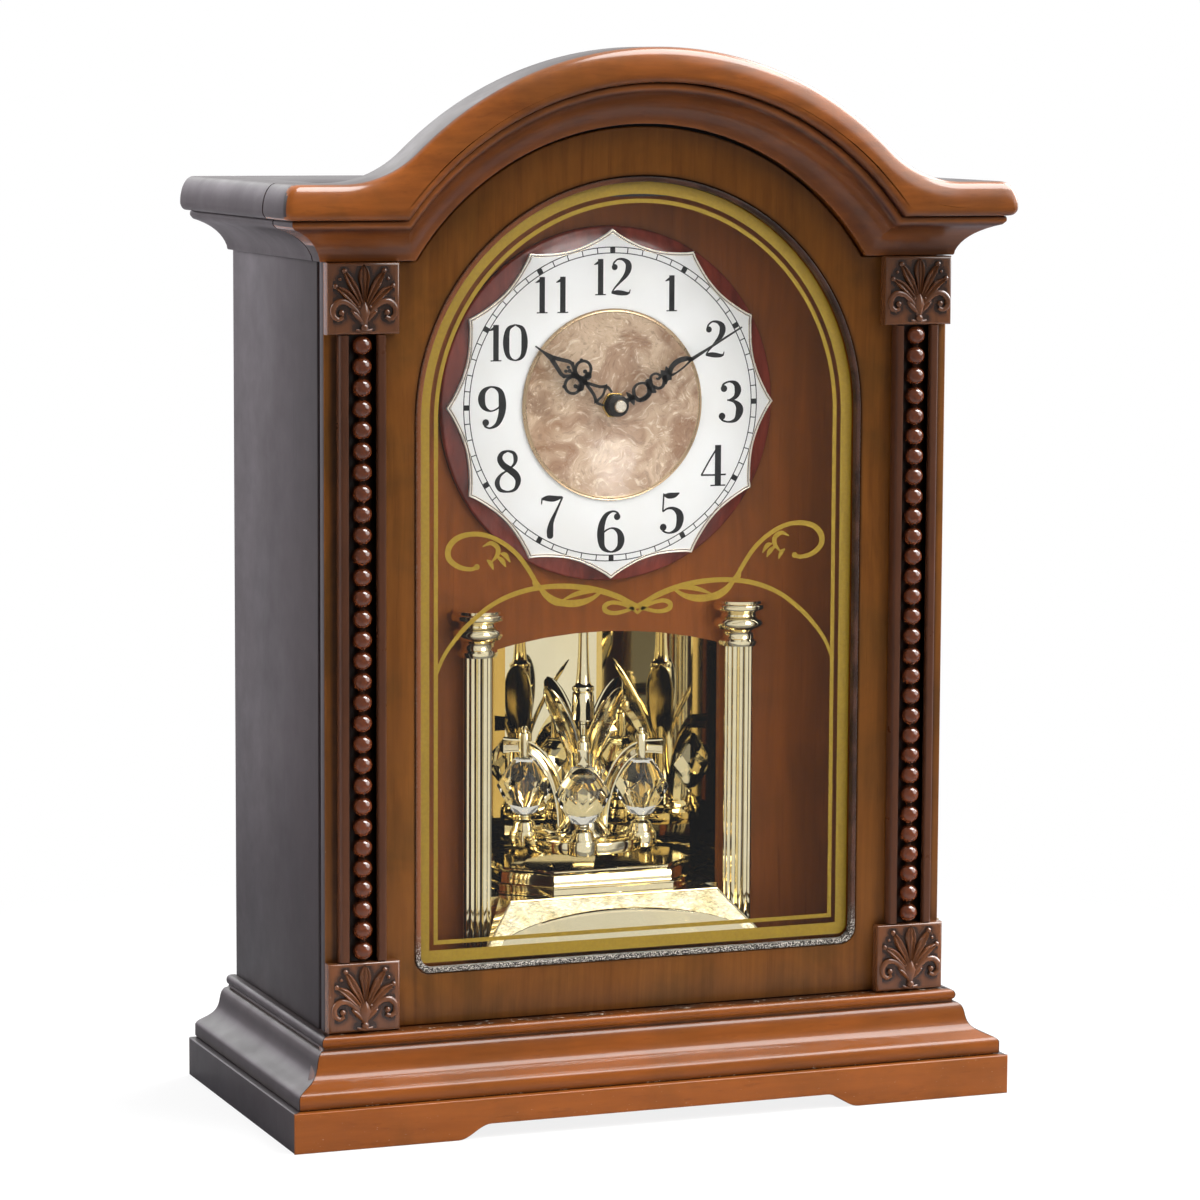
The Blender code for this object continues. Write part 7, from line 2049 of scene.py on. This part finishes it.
class CLOCK_OT_stage(bpy.types.Operator):
    """Set the floor, the soft lights, the surroundings and the camera"""

    bl_idname = "clock.stage"
    bl_label = "Stage"

    def execute(self, context):
        stage = context.scene.clock_stage
        self.floor()
        self.softbox("key_softbox", (1.15, -1.1, 1.4), 1.0, stage.key_power)
        self.softbox("fill_softbox", (-1.55, -0.75, 0.75), 0.9, stage.fill_power)
        self.softbox("top_softbox", (0.1, 0.2, 1.7), 1.0, stage.top_power)
        self.surroundings(context, stage.room)
        self.camera(context)
        context.scene.view_settings.view_transform = "Standard"
        return {"FINISHED"}

    def floor(self):
        """White paper to the eye; the gloss of the clock sees it darker close to the clock, as a painted shadow of the
        clock.
        """
        mesh = bpy.data.meshes.new("studio_floor")
        corners = [(-3, -0.32, 0), (3, -0.32, 0), (3, 3, 0), (-3, 3, 0)]
        mesh.from_pydata(corners, [], [(0, 1, 2, 3)])
        floor = bpy.data.objects.new("studio_floor", mesh)
        bpy.context.scene.collection.objects.link(floor)
        material, tree, shader, vector = new_material(
            "floor_paper", (0.9, 0.9, 0.9, 1.0), Roughness=0.9, Specular_IOR_Level=0.1,
        )
        paper = blend_colour(tree, noise(tree, vector, 3.0), (0.9, 0.9, 0.9, 1.0), (0.92, 0.92, 0.92, 1.0))
        feed(tree, shader, Base_Color=paper)
        rays = node(tree, "LightPath").outputs
        distance = node(tree, "VectorMath", {0: vector}, operation="LENGTH").outputs["Value"]
        # Painted shadow: the clock's gloss sees the floor near black close to the clock and grey further off.
        near, far = (0.06, 0.07, 0.09, 1), (0.64, 0.6, 0.65, 1)
        floor_shadow_in_gloss = blend_colour(tree, ramp(tree, distance, 0.15, 0.9), near, far)
        grey = blend_colour(tree, rays["Is Glossy Ray"], WHITE, floor_shadow_in_gloss)
        glow = node(tree, "Emission", {"Color": grey, "Strength": 1.0})
        seen = greater(tree, rays["Is Camera Ray"], greater(tree, rays["Is Glossy Ray"], rays["Is Transmission Ray"]))
        fade = math(tree, "MULTIPLY_ADD", ramp(tree, distance, 0.15, 0.5), 0.15, 0.85)
        mix_shaders(tree, times(tree, seen, fade), shader, glow)
        mesh.materials.append(material)

    def softbox(self, name, spot, size, power):
        """A square lamp that looks at the clock's middle and isn't seen in its gloss."""
        lamp = bpy.data.lights.new(name, "AREA")
        lamp.shape = "SQUARE"
        lamp.size = size
        lamp.energy = power
        obj = bpy.data.objects.new(name, lamp)
        obj.location = spot
        obj.rotation_euler = (Vector(spot) - Vector((0, 0, 0.22))).to_track_quat("Z", "Y").to_euler()
        obj.visible_glossy = False
        obj.visible_transmission = False
        bpy.context.scene.collection.objects.link(obj)

    def surroundings(self, context, room):
        """White to the eye; for light and gloss a dim room in front, a white backdrop behind and bright cards."""
        world = bpy.data.worlds.new("surroundings")
        context.scene.world = world
        world.use_nodes = True
        tree = world.node_tree
        ray = node(tree, "TexCoord").outputs["Generated"]
        split = node(tree, "SeparateXYZ", {"Vector": ray}).outputs

        def facing(direction, start, end):
            sockets = {0: ray, 1: Vector(direction).normalized()}
            towards = node(tree, "VectorMath", sockets, operation="DOT_PRODUCT").outputs["Value"]
            return ramp(tree, towards, start, end)

        rays = node(tree, "LightPath").outputs
        kinds = ("Camera", "Diffuse", "Glossy", "Transmission")
        camera, diffuse, glossy, through = [rays[f"Is {kind} Ray"] for kind in kinds]
        known = greater(tree, greater(tree, camera, diffuse), greater(tree, glossy, through))
        unknown = inverse(tree, known)
        depth = math(tree, "ADD", rays["Transmission Depth"], unknown)
        inside = math(tree, "GREATER_THAN", depth, 2.5)
        backdrop = ramp(tree, split["Y"], -0.05, 0.35)
        open_room = math(tree, "MULTIPLY_ADD", backdrop, 1.0 - room, room)
        matt = greater(tree, unknown, math(tree, "GREATER_THAN", rays["Diffuse Depth"], 0.5))
        shaded = math(tree, "MULTIPLY_ADD", facing((0.925, -0.361, -0.119), 0.86, 0.96), -0.65, 0.84)
        seen_inside = math(tree, "ADD", shaded, times(tree, matt, 0.7))
        change = times(tree, inside, math(tree, "SUBTRACT", seen_inside, open_room))
        level = math(tree, "ADD", change, open_room)
        for direction, start, end, outside_strength, inside_strength in CARDS:
            gain = inside_strength - outside_strength
            strength = math(tree, "MULTIPLY_ADD", inside, gain, outside_strength)
            level = math(tree, "ADD", level, times(tree, facing(direction, start, end), strength))
        corner = times(tree, facing((-0.361, 0.925, -0.119), 0.8, 0.95), inverse(tree, inside))
        tint = blend_colour(tree, corner, WHITE, (0.74, 0.69, 0.75, 1))
        lit = node(tree, "VectorMath", {0: tint, "Scale": level}, operation="SCALE").outputs["Vector"]
        tree.links.new(blend_colour(tree, camera, lit, WHITE), tree.nodes["Background"].inputs["Color"])

    def camera(self, context):
        """The photograph's camera, as fitted to the case's corners and the dial; the lens is for a 36 mm sensor."""
        yaw, pitch, roll = radians(-21.31), radians(6.818), radians(0.288)
        focal_pixels, picture_pixels, sensor = 4432.25, 1200, 36.0
        view = Vector((-sin(yaw) * cos(pitch), cos(yaw) * cos(pitch), -sin(pitch)))
        right = view.cross(Vector((0, 0, 1))).normalized()
        up = right.cross(view)
        across = right * cos(roll) + up * sin(roll)
        upward = up * cos(roll) - right * sin(roll)
        data = bpy.data.cameras.new("photo_camera")
        data.sensor_width = sensor
        data.lens = focal_pixels / picture_pixels * sensor
        camera = bpy.data.objects.new("photo_camera", data)
        turn = Matrix((across, upward, -view)).transposed().to_4x4()
        camera.matrix_world = Matrix.Translation((-0.66484, -1.70685, 0.42446)) @ turn
        context.scene.collection.objects.link(camera)
        context.scene.camera = camera


STEPS = (
    CLOCK_OT_stage, CLOCK_OT_base, CLOCK_OT_carcase, CLOCK_OT_cornice, CLOCK_OT_door, CLOCK_OT_gold_print,
    CLOCK_OT_pilasters, CLOCK_OT_rosettes, CLOCK_OT_dial, CLOCK_OT_hands, CLOCK_OT_movement, CLOCK_OT_alcove,
    CLOCK_OT_pendulum,
)


class CLOCK_PT_panel(bpy.types.Panel):
    """The clock's pieces, sizes and colours"""

    bl_idname = "CLOCK_PT_panel"
    bl_label = "Mantel clock"
    bl_space_type = "VIEW_3D"
    bl_region_type = "UI"
    bl_category = "Clock"

    def draw(self, context):
        layout = self.layout
        for step in STEPS:
            layout.operator(step.bl_idname)
        for group_of in (context.scene.clock_sizes, context.scene.clock_colours, context.scene.clock_stage):
            box = layout.box()
            for name in group_of.__annotations__:
                box.prop(group_of, name)


CLASSES = (ClockSizes, ClockColours, ClockStage, *STEPS, CLOCK_PT_panel)


def register():
    for cls in CLASSES:
        bpy.utils.register_class(cls)
    bpy.types.Scene.clock_sizes = PointerProperty(type=ClockSizes)
    bpy.types.Scene.clock_colours = PointerProperty(type=ClockColours)
    bpy.types.Scene.clock_stage = PointerProperty(type=ClockStage)


def unregister():
    del bpy.types.Scene.clock_stage
    del bpy.types.Scene.clock_colours
    del bpy.types.Scene.clock_sizes
    for cls in reversed(CLASSES):
        bpy.utils.unregister_class(cls)


def main():
    register()
    make_shared_effects()
    for step in STEPS:
        family, name = step.bl_idname.split(".")
        getattr(getattr(bpy.ops, family), name)()


if __name__ == "__main__":
    main()
